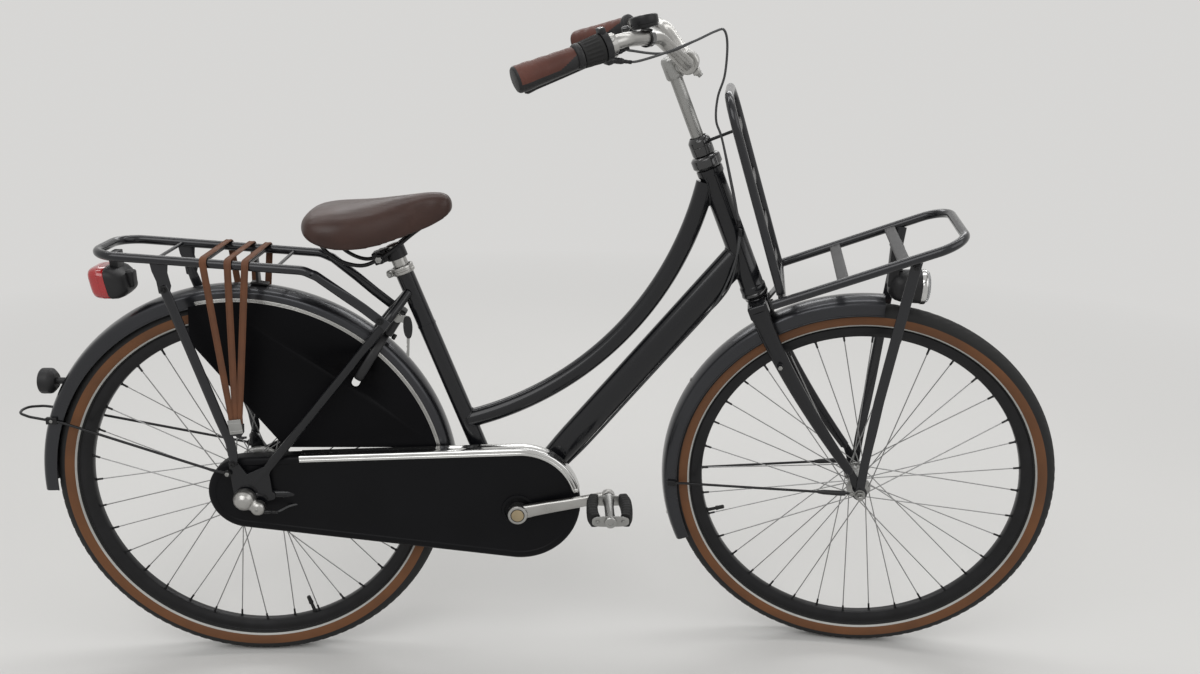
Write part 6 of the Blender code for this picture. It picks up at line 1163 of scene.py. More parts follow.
CARRIER_SLOPE = math.radians(22.2)
CARRIER_FORE = Vector((math.cos(CARRIER_SLOPE), 0.0, math.sin(CARRIER_SLOPE)))
CARRIER_UP = Vector((-math.sin(CARRIER_SLOPE), 0.0, math.cos(CARRIER_SLOPE)))
CARRIER_BACK = Vector((0.955, 0.0, 0.741))
CARRIER_L = 0.335
UPRIGHT_TOP = Vector((0.862, 0.0, 1.083))
UPRIGHT_FOOT = Vector((0.972, 0.0, 0.741 + 0.017 * math.tan(CARRIER_SLOPE))) + CARRIER_UP * 0.0083
UPRIGHT_RISE = (UPRIGHT_TOP - UPRIGHT_FOOT).normalized()
UPRIGHT_FORE = UPRIGHT_RISE.cross(Y_AXIS) * -1


def carrier_point(along, y, rise=0.0):
    return CARRIER_BACK + CARRIER_FORE * along + Y_AXIS * y + CARRIER_UP * rise


def upright_at(z, y=0.0):
    share = (z - UPRIGHT_FOOT.z) / (UPRIGHT_TOP.z - UPRIGHT_FOOT.z)
    return UPRIGHT_FOOT.lerp(UPRIGHT_TOP, share) + Y_AXIS * y


def build_front_rack():
    half = 0.112
    corners = [carrier_point(0.0, -half), carrier_point(CARRIER_L, -half), carrier_point(CARRIER_L, half),
               carrier_point(0.0, half)]
    path = finer(rounded(corners, 0.050, 16), 0.02)
    pieces = [tube("loop", path, 0.008, "rack", 24, side=CARRIER_UP)]
    for side in (-1, 1):
        cap = [(-0.002, 0.0), (-0.002, 0.0080), (0.0005, 0.0084), (0.0026, 0.0070), (0.0032, 0.0)]
        pieces.append(revolve("end_cap", carrier_point(0.0, side * half), -CARRIER_FORE, cap, "black", 24))
    back = 0.018
    pieces.append(tube("back_bar", [carrier_point(back, -half), carrier_point(back, half)], 0.007, "rack",
                       24, side=CARRIER_UP))
    for along in (0.125, 0.228):
        pieces.append(strip("cross", [carrier_point(along, -half, 0.001), carrier_point(along, half, 0.001)],
                            0.020, 0.0045, CARRIER_FORE, "black_metal"))
    crown_face = CROWN_TOP - STEER_UP * 0.013 + STEER_FORE * 0.0183
    tab_end = carrier_point(back, 0.0)
    tab_foot = crown_face + STEER_FORE * 0.0015
    pieces.append(block("tab", tab_foot, (0.003, 0.036, 0.024), "rack", STEER_FORE, Y_AXIS))
    pieces.append(strip("neck", [tab_foot + STEER_FORE * 0.0010 + STEER_UP * 0.006, tab_end], 0.036, 0.004,
                        Y_AXIS))
    pieces.append(bolt("tab_bolt", tab_foot + STEER_FORE * 0.0013 - STEER_UP * 0.005, STEER_FORE, 0.0050,
                       0.0045, washer=0.0070))
    for side in (-1, 1):
        top = carrier_point(0.250, side * (half - 0.007), -0.004)
        eye_y = FORK_OUT + GAP + 0.0015
        eye = FRONT_AXLE + Y_AXIS * side * eye_y
        path = [top, Vector((1.172, side * 0.085, 0.690)), Vector((1.158, side * 0.0615, 0.550)),
                Vector((1.146, side * eye_y, 0.420)), eye + Z_AXIS * 0.008]
        path = finer(rounded(path, 0.12, 10), 0.02)
        far = shares(path)
        thick = vary(far, (0.0, 0.0020), (0.7, 0.0020), (0.85, 0.0015), (1.0, 0.0015))
        wide = vary(far, (0.0, 0.0090), (0.7, 0.0090), (0.85, 0.0081), (1.0, 0.0081))
        pieces.append(tube("strut", path, thick, "rack", 24, wide, Y_AXIS, 0.35))
        pieces.append(plate("eyelet", disc(0.0125),
                            *apart(side, eye_y - 0.0015, eye_y + 0.0015), "rack", FRONT_AXLE, round_off=0.0004))
        pieces.append(bolt("strut_bolt", top + Vector((-0.001, side * 0.0042, -0.012)), Y_AXIS * side,
                           0.0042, 0.0036, "black_metal", washer=0.0058))
    dress("front_rack_platform", pieces, "steering")

    half = 0.092
    corners = [UPRIGHT_FOOT - Y_AXIS * half, UPRIGHT_TOP - Y_AXIS * half, UPRIGHT_TOP + Y_AXIS * half,
               UPRIGHT_FOOT + Y_AXIS * half]
    path = finer(rounded(corners, 0.050, 16), 0.02)
    pieces = [tube("loop", path, 0.0075, "rack", 24, side=UPRIGHT_FORE)]
    for z in (1.020, 0.930, 0.850, 0.780):
        pieces.append(strip("bar", [upright_at(z, -half), upright_at(z, half)], 0.018, 0.0045, UPRIGHT_RISE,
                            "black_metal"))
    dress("front_rack_upright", pieces, "steering")


LAMP_CENTRE = Vector((1.196, 0.0, 0.752))


def build_headlight():
    back = LAMP_CENTRE - X_AXIS * 0.036
    r = 0.030
    body = [(0.0, 0.0), (0.0, r * 0.42), (0.0015, r * 0.50), (0.006, r * 0.72), (0.013, r * 0.87),
            (0.022, r * 0.95), (0.034, r * 0.985), (0.050, r), (0.0617, r), (0.0617, r * 0.93),
            (0.0570, r * 0.90), (0.045, r * 0.55), (0.040, 0.0)]
    pieces = [revolve("body", back, X_AXIS, body, "black", 64, smooth=40.0)]
    ring = [(0.0545, r + 0.0002), (0.0548, r + 0.0010), (0.0560, r + 0.0014), (0.0618, r + 0.0014),
            (0.0635, r + 0.0008), (0.0642, r - 0.0004), (0.0635, r - 0.0022), (0.0617, r - 0.0026)]
    pieces.append(revolve("bezel", back, X_AXIS, ring, "chrome", 72, closed=True))
    foot = carrier_point(0.228, 0.0, -0.0008)
    pieces.append(block("hanger", foot - CARRIER_UP * 0.0025, (0.022, 0.040, 0.005), "black", CARRIER_FORE,
                        Y_AXIS, 0.0012))
    pieces.append(block("web", Vector((foot.x, 0.0, (foot.z + LAMP_CENTRE.z) / 2 - 0.003)),
                        (0.018, 0.028, foot.z - LAMP_CENTRE.z - 0.006), "black", round_off=0.003))
    button = [(0.0, 0.0065), (0.0012, 0.0060), (0.0020, 0.0046), (0.0020, 0.0)]
    pieces.append(revolve("switch", LAMP_CENTRE + Vector((-0.020, 0.0, r * 0.955)), Vector((-0.10, 0.0, 1.0)),
                          button, "rubber", 24))
    dress("headlight_body", pieces, "steering")
    face = back + X_AXIS * 0.062
    glass = [(-0.004, 0.0), (-0.004, r * 0.86), (0.0, r * 0.94), (0.004, r * 0.94), (0.0062, r * 0.90),
             (0.0082, r * 0.74), (0.0093, r * 0.45), (0.0098, 0.0)]

    def flutes(angle, index, level, radius):
        if index in (0, 1):
            level += 0.0004 * math.sin(angle * 36)
        return level, radius

    lens = revolve("lens", face, X_AXIS, glass, "lens", 144, flutes, 45.0)
    dress("headlight_lens", lens, "steering")
    dish = [(-0.0185, 0.0), (-0.0180, 0.006), (-0.0140, 0.0140), (-0.0060, 0.0235), (-0.0045, 0.0262),
            (-0.0048, 0.0266), (-0.0150, 0.0160), (-0.0190, 0.007), (-0.0195, 0.0)]
    bulb = [(-0.019, 0.0), (-0.019, 0.0040), (-0.010, 0.0038), (-0.007, 0.0020), (-0.0065, 0.0)]
    done("headlight_mirror", [revolve("dish", face, X_AXIS, dish, "mirror", 72),
                              revolve("bulb", face, X_AXIS, bulb, "lens", 32)], "steering")


# Rear carrier, light and reflector

RACK_HALF_W = 0.070


def rack_height(x):
    return 0.806 + (x + 0.222) * math.tan(math.radians(-4.2))


def build_rear_rack():
    half = RACK_HALF_W
    bend = Vector((0.134, -half, rack_height(0.134)))
    side_path = [Vector((0.156, -half, 0.7695)), bend, Vector((-0.222, -half, 0.806))]
    corners = side_path + [mirrored(p) for p in reversed(side_path)]
    path = finer(rounded(corners, 0.045, 16), 0.02)
    pieces = [tube("loop", path, 0.008, "rack", 24)]
    for x in (-0.113, -0.035, 0.037, 0.087):
        z = rack_height(x)
        pieces.append(tube("rod", [Vector((x, -half, z)), Vector((x, half, z))], 0.003, "rack", 16, side=X_AXIS))
    foot = [(0.024, 0.7400), (0.054, 0.7372), (0.054, 0.7402), (0.0395, 0.7428), (0.0385, 0.787), (0.0350, 0.787),
            (0.0350, 0.7442), (0.024, 0.7430)]
    pieces.append(plate("foot", foot, -0.009, 0.009, "black_metal", round_off=0.0008))
    foot_y = DROPOUT_OUT + GAP + 0.0026
    for side in (-1, 1):
        path = [Vector((0.146, side * half, 0.7740)), Vector((0.153, side * half, 0.7720)),
                Vector((0.200, side * 0.0655, 0.7350)), Vector((0.230, side * 0.0597, 0.7105)),
                Vector((0.271, side * 0.0597, 0.6765))]
        path = finer(rounded(path, 0.05, 10), 0.008)
        far = shares(path)
        thin = vary(far, (0.0, 0.008), (0.15, 0.008), (0.62, 0.0022), (1.0, 0.0022))
        tall = vary(far, (0.0, 0.008), (0.5, 0.0088), (1.0, 0.0088))
        pieces.append(tube("tail", path, thin, "rack", 24, tall, Y_AXIS))
        pieces.append(bolt("tail_bolt", Vector((0.258, side * 0.0618, 0.6874)), Y_AXIS * side, 0.0048, 0.0044,
                           "black_metal", washer=0.0070))
        ear = [(-0.113, 0.739), (-0.104, 0.736), (-0.095, 0.739), (-0.091, 0.752), (-0.095, 0.775), (-0.092, 0.797),
               (-0.124, 0.799), (-0.121, 0.778), (-0.115, 0.760)]
        pieces.append(plate("ear", ear, *apart(side, half - 0.0015, half + 0.0015), "rack", round_off=0.0008))
        path = [Vector((-0.105, side * half, 0.752)), Vector((-0.099, side * (half - 0.0003), 0.732)),
                Vector((-0.030, side * 0.0745, 0.508)), Vector((-0.017, side * foot_y, 0.466)),
                Vector((-0.0135, side * foot_y, 0.434)), Vector((-0.0155, side * foot_y, 0.4190))]
        path = finer(rounded(path, 0.06, 10), 0.010)
        far = shares(path)
        thin = vary(far, (0.0, 0.0036), (0.05, 0.0045), (0.74, 0.0045), (0.82, 0.0026), (1.0, 0.0026))
        tall = vary(far, (0.0, 0.0076), (0.05, 0.0090), (0.93, 0.0090), (1.0, 0.0062))
        pieces.append(tube("strut", path, thin, "rack", 24, tall, Y_AXIS))
        pieces.append(bolt("foot_bolt", Vector((-0.0155, side * (foot_y + 0.0024), 0.4235)), Y_AXIS * side,
                           0.0048, 0.0042, "black_metal", washer=0.0068))
        pieces.append(bolt("ear_bolt", Vector((-0.103, side * (half + 0.0042), 0.7465)), Y_AXIS * side,
                           0.0044, 0.0040, "black_metal", washer=0.0062))
    dress("rear_rack", pieces, "frame")


def lamp_ring(x, share_y, share_z):
    """A rounded outline of the rear light, whose top leans to the rear."""
    ring = []
    sides = 64
    for k in range(sides):
        c, s = squarish(2 * math.pi * k / sides)
        rise = 0.0325 * share_z * s
        ring.append(Vector((x - rise * 0.16, 0.0425 * share_y * c, 0.7445 + rise)))
    return ring


def build_rear_light():
    rings = [lamp_ring(x, y, z) for x, y, z in
             ((-0.2155, 0.88, 0.80), (-0.2155, 0.93, 0.87), (-0.2145, 0.95, 0.89), (-0.205, 0.94, 0.87),
              (-0.197, 0.88, 0.78), (-0.190, 0.74, 0.62), (-0.186, 0.60, 0.50), (-0.1855, 0.42, 0.34))]
    body = loft("body", rings, "black", 30.0)
    top = 0.806 - 0.0083
    tab = block("tab", Vector((-0.207, 0.0, (top + 0.765) / 2)), (0.014, 0.030, top - 0.765), "black",
                round_off=0.0012)
    plug = block("plug", Vector((-0.189, 0.0, 0.748)), (0.022, 0.022, 0.030), "black", round_off=0.004)
    dress("rear_light_body", [body, tab, plug], "frame")
    rings = [lamp_ring(x, y, z) for x, y, z in
             ((-0.2156, 0.93, 0.86), (-0.2175, 0.95, 0.88), (-0.2250, 0.955, 0.885), (-0.2254, 0.945, 0.875),
              (-0.2262, 0.945, 0.875), (-0.2266, 0.955, 0.885), (-0.235, 0.93, 0.87), (-0.240, 0.88, 0.83),
              (-0.2435, 0.79, 0.76), (-0.2452, 0.66, 0.66), (-0.2456, 0.50, 0.50))]
    dress("rear_light_lens", loft("lens", rings, "red"), "frame")


def build_reflector():
    x0, x1, z, r = -0.366, -0.340, 0.556, 0.0235
    centre = Vector((x0, 0.0, z))
    cup = [(0.0006, 0.0), (0.0006, r - 0.0030), (0.0, r - 0.0026), (0.0, r - 0.0012), (0.0012, r - 0.0002),
           (0.004, r), (0.015, r), (0.0175, r - 0.0006), (0.022, r * 0.80), (x1 - x0, r * 0.60), (x1 - x0, 0.0)]
    pieces = [revolve("cup", centre, X_AXIS, cup, "black", 64)]
    pieces.append(revolve("face", centre, -X_AXIS, [(-0.0006, r - 0.0031), (0.0, r - 0.0034), (0.0002, 0.0)],
                          "reflex", 64))
    crown_x = -math.sqrt(REAR_CROWN_R ** 2 - (z - WHEEL_R) ** 2)
    pieces.append(tube("stem", [Vector((x1 - 0.006, 0.0, z)), Vector((crown_x + 0.002, 0.0, z))], 0.006,
                       "black", 24, side=Y_AXIS))
    dress("rear_reflector", pieces, "frame")


# Elastic straps over the rear carrier

def build_straps():
    half = RACK_HALF_W
    reach = 0.008 + 0.0013 + 0.00125
    pieces = []
    for i, x in enumerate((-0.031, 0.010, 0.039)):
        top = rack_height(x)
        low_x = (i - 1) * 0.0075
        side_path = [Vector((low_x, 0.0825, 0.498)), Vector((low_x, 0.0825, 0.518))]
        side_path += [Vector((x, half + reach * math.cos(a), top + reach * math.sin(a)))
                      for a in (math.radians(d) for d in (5, 18, 32, 46, 60, 74, 88))]
        path = [mirrored(p) for p in side_path] + list(reversed(side_path))
        path = finer(path, 0.012)
        wide = [between([(0.0, 0.0048), (0.05, 0.0054), (0.12, 0.0060), (9.0, 0.0060)], min(t, 1 - t))
                for t in shares(path)]
        pieces.append(tube("band", path, wide, "strap", 24, 0.00125, X_AXIS, 0.4, smooth=70.0))
        for side in (-1, 1):
            for level in (-0.0038, 0.0038):
                line = [p + X_AXIS * level + (Y_AXIS * side if abs(p.y) > half + 0.004 else Z_AXIS) * 0.0013
                        for p in path if p.y * side > 0.0]
                pieces.append(tube("stitch", line, 0.0005, "strap", 6))
    for side in (-1, 1):
        at = Vector((0.0, side * 0.0825, 0.492))
        outline = [(-0.014, 0.012), (-0.013, -0.004), (-0.008, -0.011), (0.008, -0.011), (0.013, -0.004),
                   (0.014, 0.012)]
        pieces.append(plate("end", outline, -0.00225, 0.00225, "black", at, X_AXIS, Z_AXIS, 0.0009))
        hook = [at + Vector(p) for p in ((0.0, 0.0, -0.006), (0.0006, 0.0, -0.0105), (0.0040, 0.0, -0.0140),
                                         (0.0095, 0.0, -0.0150), (0.0160, 0.0, -0.0140))]
        pieces.append(tube("hook", hook, [0.0034, 0.0032, 0.0028, 0.0025, 0.0020], "black", 16))
        clasp = at + Vector((-0.001, side * 0.0026, 0.007))
        lean = Vector((-0.12, 0.0, 0.993))
        wide = Y_AXIS.cross(lean)
        pieces.append(block("clasp", clasp, (0.0235, 0.0270, 0.0020), "alloy", wide, lean, 0.0006))
        for level in (-0.008, 0.007):
            ridge = [clasp + lean * level + wide * share + Y_AXIS * side * 0.0010 for share in (-0.0105, 0.0105)]
            pieces.append(tube("ridge", ridge, 0.0008, "alloy", 10))
    dress("elastic_straps", pieces, "frame")


# Chain case

CASE_FRONT = (0.500, 0.332)
CASE_REAR_R, CASE_FRONT_R = 0.070, 0.111
CASE_FACE = 0.0615


def case_loop(shrink):
    return belt((0.0, WHEEL_R), CASE_REAR_R - shrink, CASE_FRONT, CASE_FRONT_R - shrink, 48)


def build_chain_case():
    """A closed shell with a rounded rim, a sunk field on its face and a collar round the crank."""
    face, foot = CASE_FACE, 0.0345
    rise = [(foot, 0.0), (face - 0.0075, 0.0), (face - 0.0045, 0.0006), (face - 0.0020, 0.0022),
            (face - 0.0006, 0.0046), (face, 0.0078), (face, 0.0130), (face - 0.0004, 0.0142),
            (face - 0.0012, 0.0148), (face - 0.0016, 0.0162), (face - 0.0016, 0.0400)]
    rings = [[Vector((x, -y, z)) for x, z in case_loop(shrink)] for y, shrink in rise]
    pieces = [loft("case", rings, "case", 40.0)]
    collar = [(0.0, 0.0245), (0.0, 0.0310), (0.0022, 0.0300), (0.0028, 0.0285), (0.0028, 0.0250), (0.0, 0.0245)]
    pieces.append(revolve("collar", Vector((0.495, -face + 0.0016, 0.322)), -Y_AXIS, collar, "case", 64))
    dress("chain_case_outer", pieces, "frame")


def build_case_trim():
    """The bright strip along the case's upper outer edge, with a rivet at its front end."""
    along = math.atan2(CASE_FRONT[1] - WHEEL_R, CASE_FRONT[0])
    spread = math.acos((CASE_REAR_R - CASE_FRONT_R) / math.hypot(CASE_FRONT[0], CASE_FRONT[1] - WHEEL_R))
    top_angle = along + spread
    normal = (math.cos(top_angle), math.sin(top_angle))
    foot = (CASE_REAR_R * normal[0], WHEEL_R + CASE_REAR_R * normal[1])
    head = (CASE_FRONT[0] + CASE_FRONT_R * normal[0], CASE_FRONT[1] + CASE_FRONT_R * normal[1])
    share = (0.100 - foot[0]) / (head[0] - foot[0])
    stations = []
    for i in range(24):
        t = share + (1.0 - share) * i / 23
        stations.append(((foot[0] + (head[0] - foot[0]) * t, foot[1] + (head[1] - foot[1]) * t), normal))
    end = math.radians(14)
    for i in range(1, 29):
        angle = top_angle + (end - top_angle) * i / 28
        out = (math.cos(angle), math.sin(angle))
        stations.append(((CASE_FRONT[0] + CASE_FRONT_R * out[0], CASE_FRONT[1] + CASE_FRONT_R * out[1]), out))
    face = -CASE_FACE
    section = [(face - 0.0015, -0.0105), (face - 0.0019, -0.0095), (face - 0.0019, -0.0070),
               (face - 0.0010, -0.0058), (face - 0.0019, -0.0046), (face - 0.0019, -0.0034),
               (face - 0.0017, -0.0016), (face - 0.0008, 0.0007), (face + 0.0010, 0.0018),
               (face + 0.0040, 0.0021), (face + 0.0110, 0.0018), (face + 0.0135, 0.0011), (face + 0.0160, 0.0018),
               (face + 0.0262, 0.0021), (face + 0.0262, 0.0004), (face + 0.0060, 0.0004), (face + 0.0032, -0.0004),
               (face + 0.0006, -0.0026), (face - 0.0002, -0.0056), (face - 0.0003, -0.0105)]
    rings = []
    for (x, z), out in stations:
        rings.append([Vector((x + out[0] * up, y, z + out[1] * up)) for y, up in section])
    pieces = [loft("trim", rings, "chrome", 50.0)]
    out = Vector((math.cos(end), 0.0, math.sin(end)))
    spot = Vector((CASE_FRONT[0], face, CASE_FRONT[1])) + out * 0.1065 + Vector((0.0, -0.0012, 0.004))
    pieces.append(bolt("rivet", spot, -Y_AXIS, 0.0034, 0.0016, "chrome", False))
    dress("chain_case_trim", pieces, "frame")


# Saddle

SADDLE_STATIONS = [(0.1310, 0.050, 0.862, 0.850), (0.1360, 0.074, 0.871, 0.841), (0.151, 0.095, 0.8795, 0.831),
                   (0.178, 0.1025, 0.8845, 0.821), (0.210, 0.0990, 0.8865, 0.817), (0.245, 0.0830, 0.889, 0.818),
                   (0.280, 0.0600, 0.894, 0.825), (0.310, 0.0430, 0.899, 0.834), (0.340, 0.0320, 0.904, 0.844),
                   (0.362, 0.0265, 0.905, 0.855), (0.376, 0.0200, 0.901, 0.864), (0.3835, 0.0100, 0.890, 0.874)]


def saddle_half(x):
    """Half width, top and low edge of the saddle at a place along it."""
    values = []
    for k in (1, 2, 3):
        fine = catmull([Vector((s[0], s[k], 0.0)) for s in SADDLE_STATIONS], 12)
        for a, b in zip(fine, fine[1:]):
            if a.x <= x <= b.x:
                values.append(a.y + (b.y - a.y) * (x - a.x) / (b.x - a.x))
                break
        else:
            values.append(SADDLE_STATIONS[-1 if x > fine[-1].x else 0][k])
    return values


def saddle_ring(x):
    """The cover's section, a little small because the cloth run swells it."""
    half, top, low = saddle_half(x)
    half -= 0.0010
    top -= 0.0010
    low += 0.0005
    tall = top - low
    depth = min(0.018, 0.35 * tall) * min(1.0, max(0.12, (half - 0.022) / 0.035))
    base = low + depth
    right = [(0.0, top), (0.20, top - tall * 0.008), (0.38, top - tall * 0.035), (0.55, top - tall * 0.075),
             (0.70, top - tall * 0.13), (0.82, top - tall * 0.21), (0.915, top - tall * 0.33),
             (0.970, top - tall * 0.47), (0.995, top - tall * 0.62), (1.0, top - tall * 0.76),
             (0.975, low + tall * 0.12), (0.940, low + tall * 0.03), (0.88, low),
             (0.80, low + min(tall * 0.05, depth * 0.5)), (0.74, base), (0.40, base), (0.0, base)]
    section = right + [(-a, z) for a, z in reversed(right[1:-1])]
    return [Vector((x, a * half, z)) for a, z in section]


def build_saddle():
    """The padded cover, swollen by a cloth run, with the piping along its low edge."""
    low_x, high_x = SADDLE_STATIONS[0][0], SADDLE_STATIONS[-1][0]
    xs = [low_x + (high_x - low_x) * (0.5 - 0.5 * math.cos(math.pi * i / 46)) for i in range(47)]
    cover = loft("cover", [saddle_ring(x) for x in xs], "saddle", 180.0)
    swell(cover, 0.0032, 3.5, 0.003)
    even = cover.modifiers.new("even", "SMOOTH")
    even.factor = 0.5
    even.iterations = 6
    subdivide = cover.modifiers.new("smooth", "SUBSURF")
    subdivide.levels = 1
    subdivide.render_levels = 1
    recast(cover, "saddle")
    cover = dress("saddle_cover", cover, "saddle_post")
    edge = [Vector((x, -saddle_half(x)[0] * 0.87, saddle_half(x)[2] + 0.0036)) for x in xs[7:-7]]
    path = edge + [mirrored(p) for p in reversed(edge)]
    piping = tube("piping", path, 0.0011, "saddle", 10, closed=True)
    done("saddle_piping", piping, "saddle_post")


def swell(obj, voxel, pressure, cap):
    """Blows an unplaced closed mesh up like stuffed fabric; no point moves further than the cap."""
    voxels(obj, voxel)
    bake(obj)
    rest = [v.co.copy() for v in obj.data.vertices]
    cloth = obj.modifiers.new("cloth", "CLOTH")
    settings = cloth.settings
    settings.quality = 5
    settings.mass = 0.25
    settings.tension_stiffness = 60
    settings.compression_stiffness = 60
    settings.shear_stiffness = 20
    settings.bending_stiffness = 8
    settings.use_pressure = True
    settings.uniform_pressure_force = pressure
    settings.effector_weights.gravity = 0.0
    cloth.collision_settings.use_self_collision = False
    scene = bpy.context.scene
    for number in range(1, 15):
        scene.frame_set(number)
    bake(obj)
    scene.frame_set(1)
    for vertex, place in zip(obj.data.vertices, rest):
        move = vertex.co - place
        if move.length > cap:
            vertex.co = place + move.normalized() * cap


def build_post():
    top = seat_at(0.812)
    r = 0.0135
    profile = [(0.0, 0.0), (0.0, r - 0.003), (0.0012, r - 0.0008), (0.0022, r), (0.25, r), (0.25, 0.0)]
    dress("seatpost", revolve("post", top, -SEAT_UP, profile, "polished", 48), "saddle_post")
    foot = seat_at(0.760)
    ring = [(0.0, 0.0166), (0.0, 0.0190), (0.0006, 0.0198), (0.0016, 0.0202), (0.0050, 0.0202),
            (0.0056, 0.0196), (0.0084, 0.0196), (0.0090, 0.0202), (0.0124, 0.0202), (0.0134, 0.0198),
            (0.014, 0.0190), (0.014, 0.0166)]
    pieces = [revolve("ring", foot, SEAT_UP, ring, "polished", 64, closed=True)]
    aft = Y_AXIS.cross(SEAT_UP)
    aft = aft if aft.x < 0 else -aft
    middle = foot + SEAT_UP * 0.007 + aft * 0.0235
    pieces.append(block("lug", middle, (0.012, 0.016, 0.013), "polished", aft, Y_AXIS, 0.0028))
    for side in (-1, 1):
        pieces.append(bolt("bolt", middle + aft * 0.001 + Y_AXIS * side * 0.0078, Y_AXIS * side, 0.0044, 0.0048,
                           "steel", side < 0, 0.0052))
    dress("seat_clamp", pieces, "frame")


def saddle_base(x):
    _, top, low = saddle_half(x)
    return low + min(0.018, 0.35 * (top - low))


def build_saddle_frame():
    centre = seat_at(0.797)
    ring = both_ways([(0.0104, 0.0186), (0.011, 0.0178), (0.011, 0.0138)])
    hub = Vector((0.2560, 0.0, 0.7900))
    fore = SEAT_UP.cross(Y_AXIS) * -1
    pieces = [revolve("ring", centre, SEAT_UP, ring, "black_metal", 48, closed=True),
              block("bridge", hub, (0.026, 0.030, 0.022), "black_metal", fore, Y_AXIS, 0.002)]
    barrel = both_ways([(0.0150, 0.0086), (0.0155, 0.0110), (0.0185, 0.0110), (0.0190, 0.0088), (0.0302, 0.0086),
                        (0.031, 0.0080), (0.031, 0.0)])
    pieces.append(revolve("barrel", hub, Y_AXIS, barrel, "black_metal", 40))
    front, rear = 0.357, 0.155
    front_top = saddle_base(front - 0.008) - 0.0006
    rear_top = min(saddle_base(rear - 0.008), saddle_base(rear + 0.008)) - 0.0006
    pieces.append(block("nose", Vector((front, 0.0, front_top - 0.0035)), (0.016, 0.030, 0.007), "black_metal"))
    pieces.append(block("tail", Vector((rear, 0.0, rear_top - 0.0035)), (0.016, 0.106, 0.007), "black_metal"))
    for side in (-1, 1):
        pieces.append(bolt("nut", hub + Y_AXIS * side * 0.030, Y_AXIS * side, 0.0064, 0.0045, "steel"))
        points = [Vector((front, side * 0.010, front_top - 0.0037)), Vector((0.318, side * 0.016, 0.836)),
                  Vector((0.283, side * 0.0235, 0.808)), Vector((0.256, side * 0.0240, 0.7900)),
                  Vector((0.226, side * 0.0260, 0.7785)), Vector((0.192, side * 0.0350, 0.7880)),
                  Vector((0.165, side * 0.0430, 0.8120)), Vector((rear, side * 0.0450, rear_top - 0.0037))]
        pieces.append(tube("rail", catmull(points, 8), 0.0035, "black_metal", 16))
    dress("saddle_frame", pieces, "saddle_post")


# Cables

CABLE_R = 0.0020
SHIFT_BAR = [(0.725, -0.180, 1.150), (0.760, -0.150, 1.159), (0.806, -0.120, 1.176), (0.835, -0.090, 1.188),
             (0.849, -0.075, 1.189), (0.855, -0.060, 1.164), (0.853, -0.045, 1.115), (0.843, -0.035, 1.077),
             (0.842, -0.030, 1.038), (0.854, -0.030, 1.005), (0.877, -0.030, 0.919), (0.892, -0.030, 0.8545)]
BRAKE_BAR_END = [(0.875, -0.022, 0.919), (0.891, -0.022, 0.8545)]
SHIFT_HEAD = [(0.888, -0.0340, 0.8475), (0.886, -0.0335, 0.812), (0.880, -0.0290, 0.780)]
BRAKE_HEAD = [(0.888, -0.0265, 0.8475), (0.8865, -0.0265, 0.812), (0.884, -0.0255, 0.782)]
SHIFT_WRAP = [(0.920, 22), (0.860, 52), (0.790, 74), (0.66, 75), (0.45, 75), (0.26, 75), (0.13, 76)]
BRAKE_WRAP = [(0.912, 45), (0.855, 76), (0.790, 94), (0.66, 94), (0.45, 94), (0.26, 94), (0.13, 94)]
SHIFT_TAIL = [(0.528, -0.0060, 0.3050), (0.495, -0.0070, 0.2960), (0.455, -0.0120, 0.2990),
              (0.400, -0.0200, 0.3110), (0.330, -0.0288, 0.3215), (0.275, -0.0345, 0.3260),
              (0.225, -0.0410, 0.3300), (0.160, -0.0500, 0.3345), (0.105, -0.0545, 0.3355),
              (0.078, -0.0635, 0.3345), (0.064, -0.0790, 0.3328)]
BRAKE_TAIL = [(0.528, 0.0015, 0.3050), (0.495, 0.0035, 0.2960), (0.455, 0.0100, 0.2985),
              (0.400, 0.0190, 0.3105), (0.330, 0.0290, 0.3235), (0.230, 0.0365, 0.3300),
              (0.130, 0.0430, 0.3365), (0.090, 0.0430, 0.3350)]
GEAR_CABLE = Vector((0.0490, -0.0835, 0.3325))
BRAKE_CABLE = Vector((0.0625, 0.0430, 0.3340))
CABLE_START = Vector((0.7025, -0.1965, 1.1505))


def down_tube_point(share, degrees):
    along = (DOWN_HEAD - DOWN_FOOT).normalized()
    under = Vector((along.z, 0.0, -along.x))
    lift = CABLE_R + 0.0010
    wide = 0.019 + lift
    high = 0.027 * min(1.0, 0.76 + share) + lift
    angle = math.radians(degrees)
    return (DOWN_FOOT.lerp(DOWN_HEAD, share) + under * (high * math.sin(angle))
            - Y_AXIS * (wide * math.cos(angle)))


def shifter_lobe():
    along, inward, up = grip_frame(-1)
    place, _ = bar_point(-1, 0.1415)
    return place + along * 0.0055 - up * 0.021 + inward * 0.004


def ferrule(at, ahead):
    """A crimped metal end on a cable's sleeve."""
    profile = [(0.0, 0.0), (0.0, 0.0026), (0.0006, 0.0030), (0.0048, 0.0030), (0.0054, 0.0027),
               (0.0072, 0.0027), (0.0078, 0.0030), (0.0114, 0.0030), (0.0120, 0.0025)]
    return revolve("ferrule", at, ahead, profile, "black_metal", 20)


def cable(name, points, body):
    path = catmull(points, 10)
    pieces = [tube("sleeve", path, CABLE_R, "cable", 14)]
    pieces.append(ferrule(path[0], (path[3] - path[0]).normalized()))
    pieces.append(ferrule(path[-1], (path[-4] - path[-1]).normalized()))
    dress(name, pieces, body)


def behind(points, gap):
    """The same route further from the camera, so that the two sleeves are seen as one line."""
    eye = STEERED.inverted() @ CAMERA_AT
    return [p + (p - eye).normalized() * gap for p in (Vector(q) for q in points)]


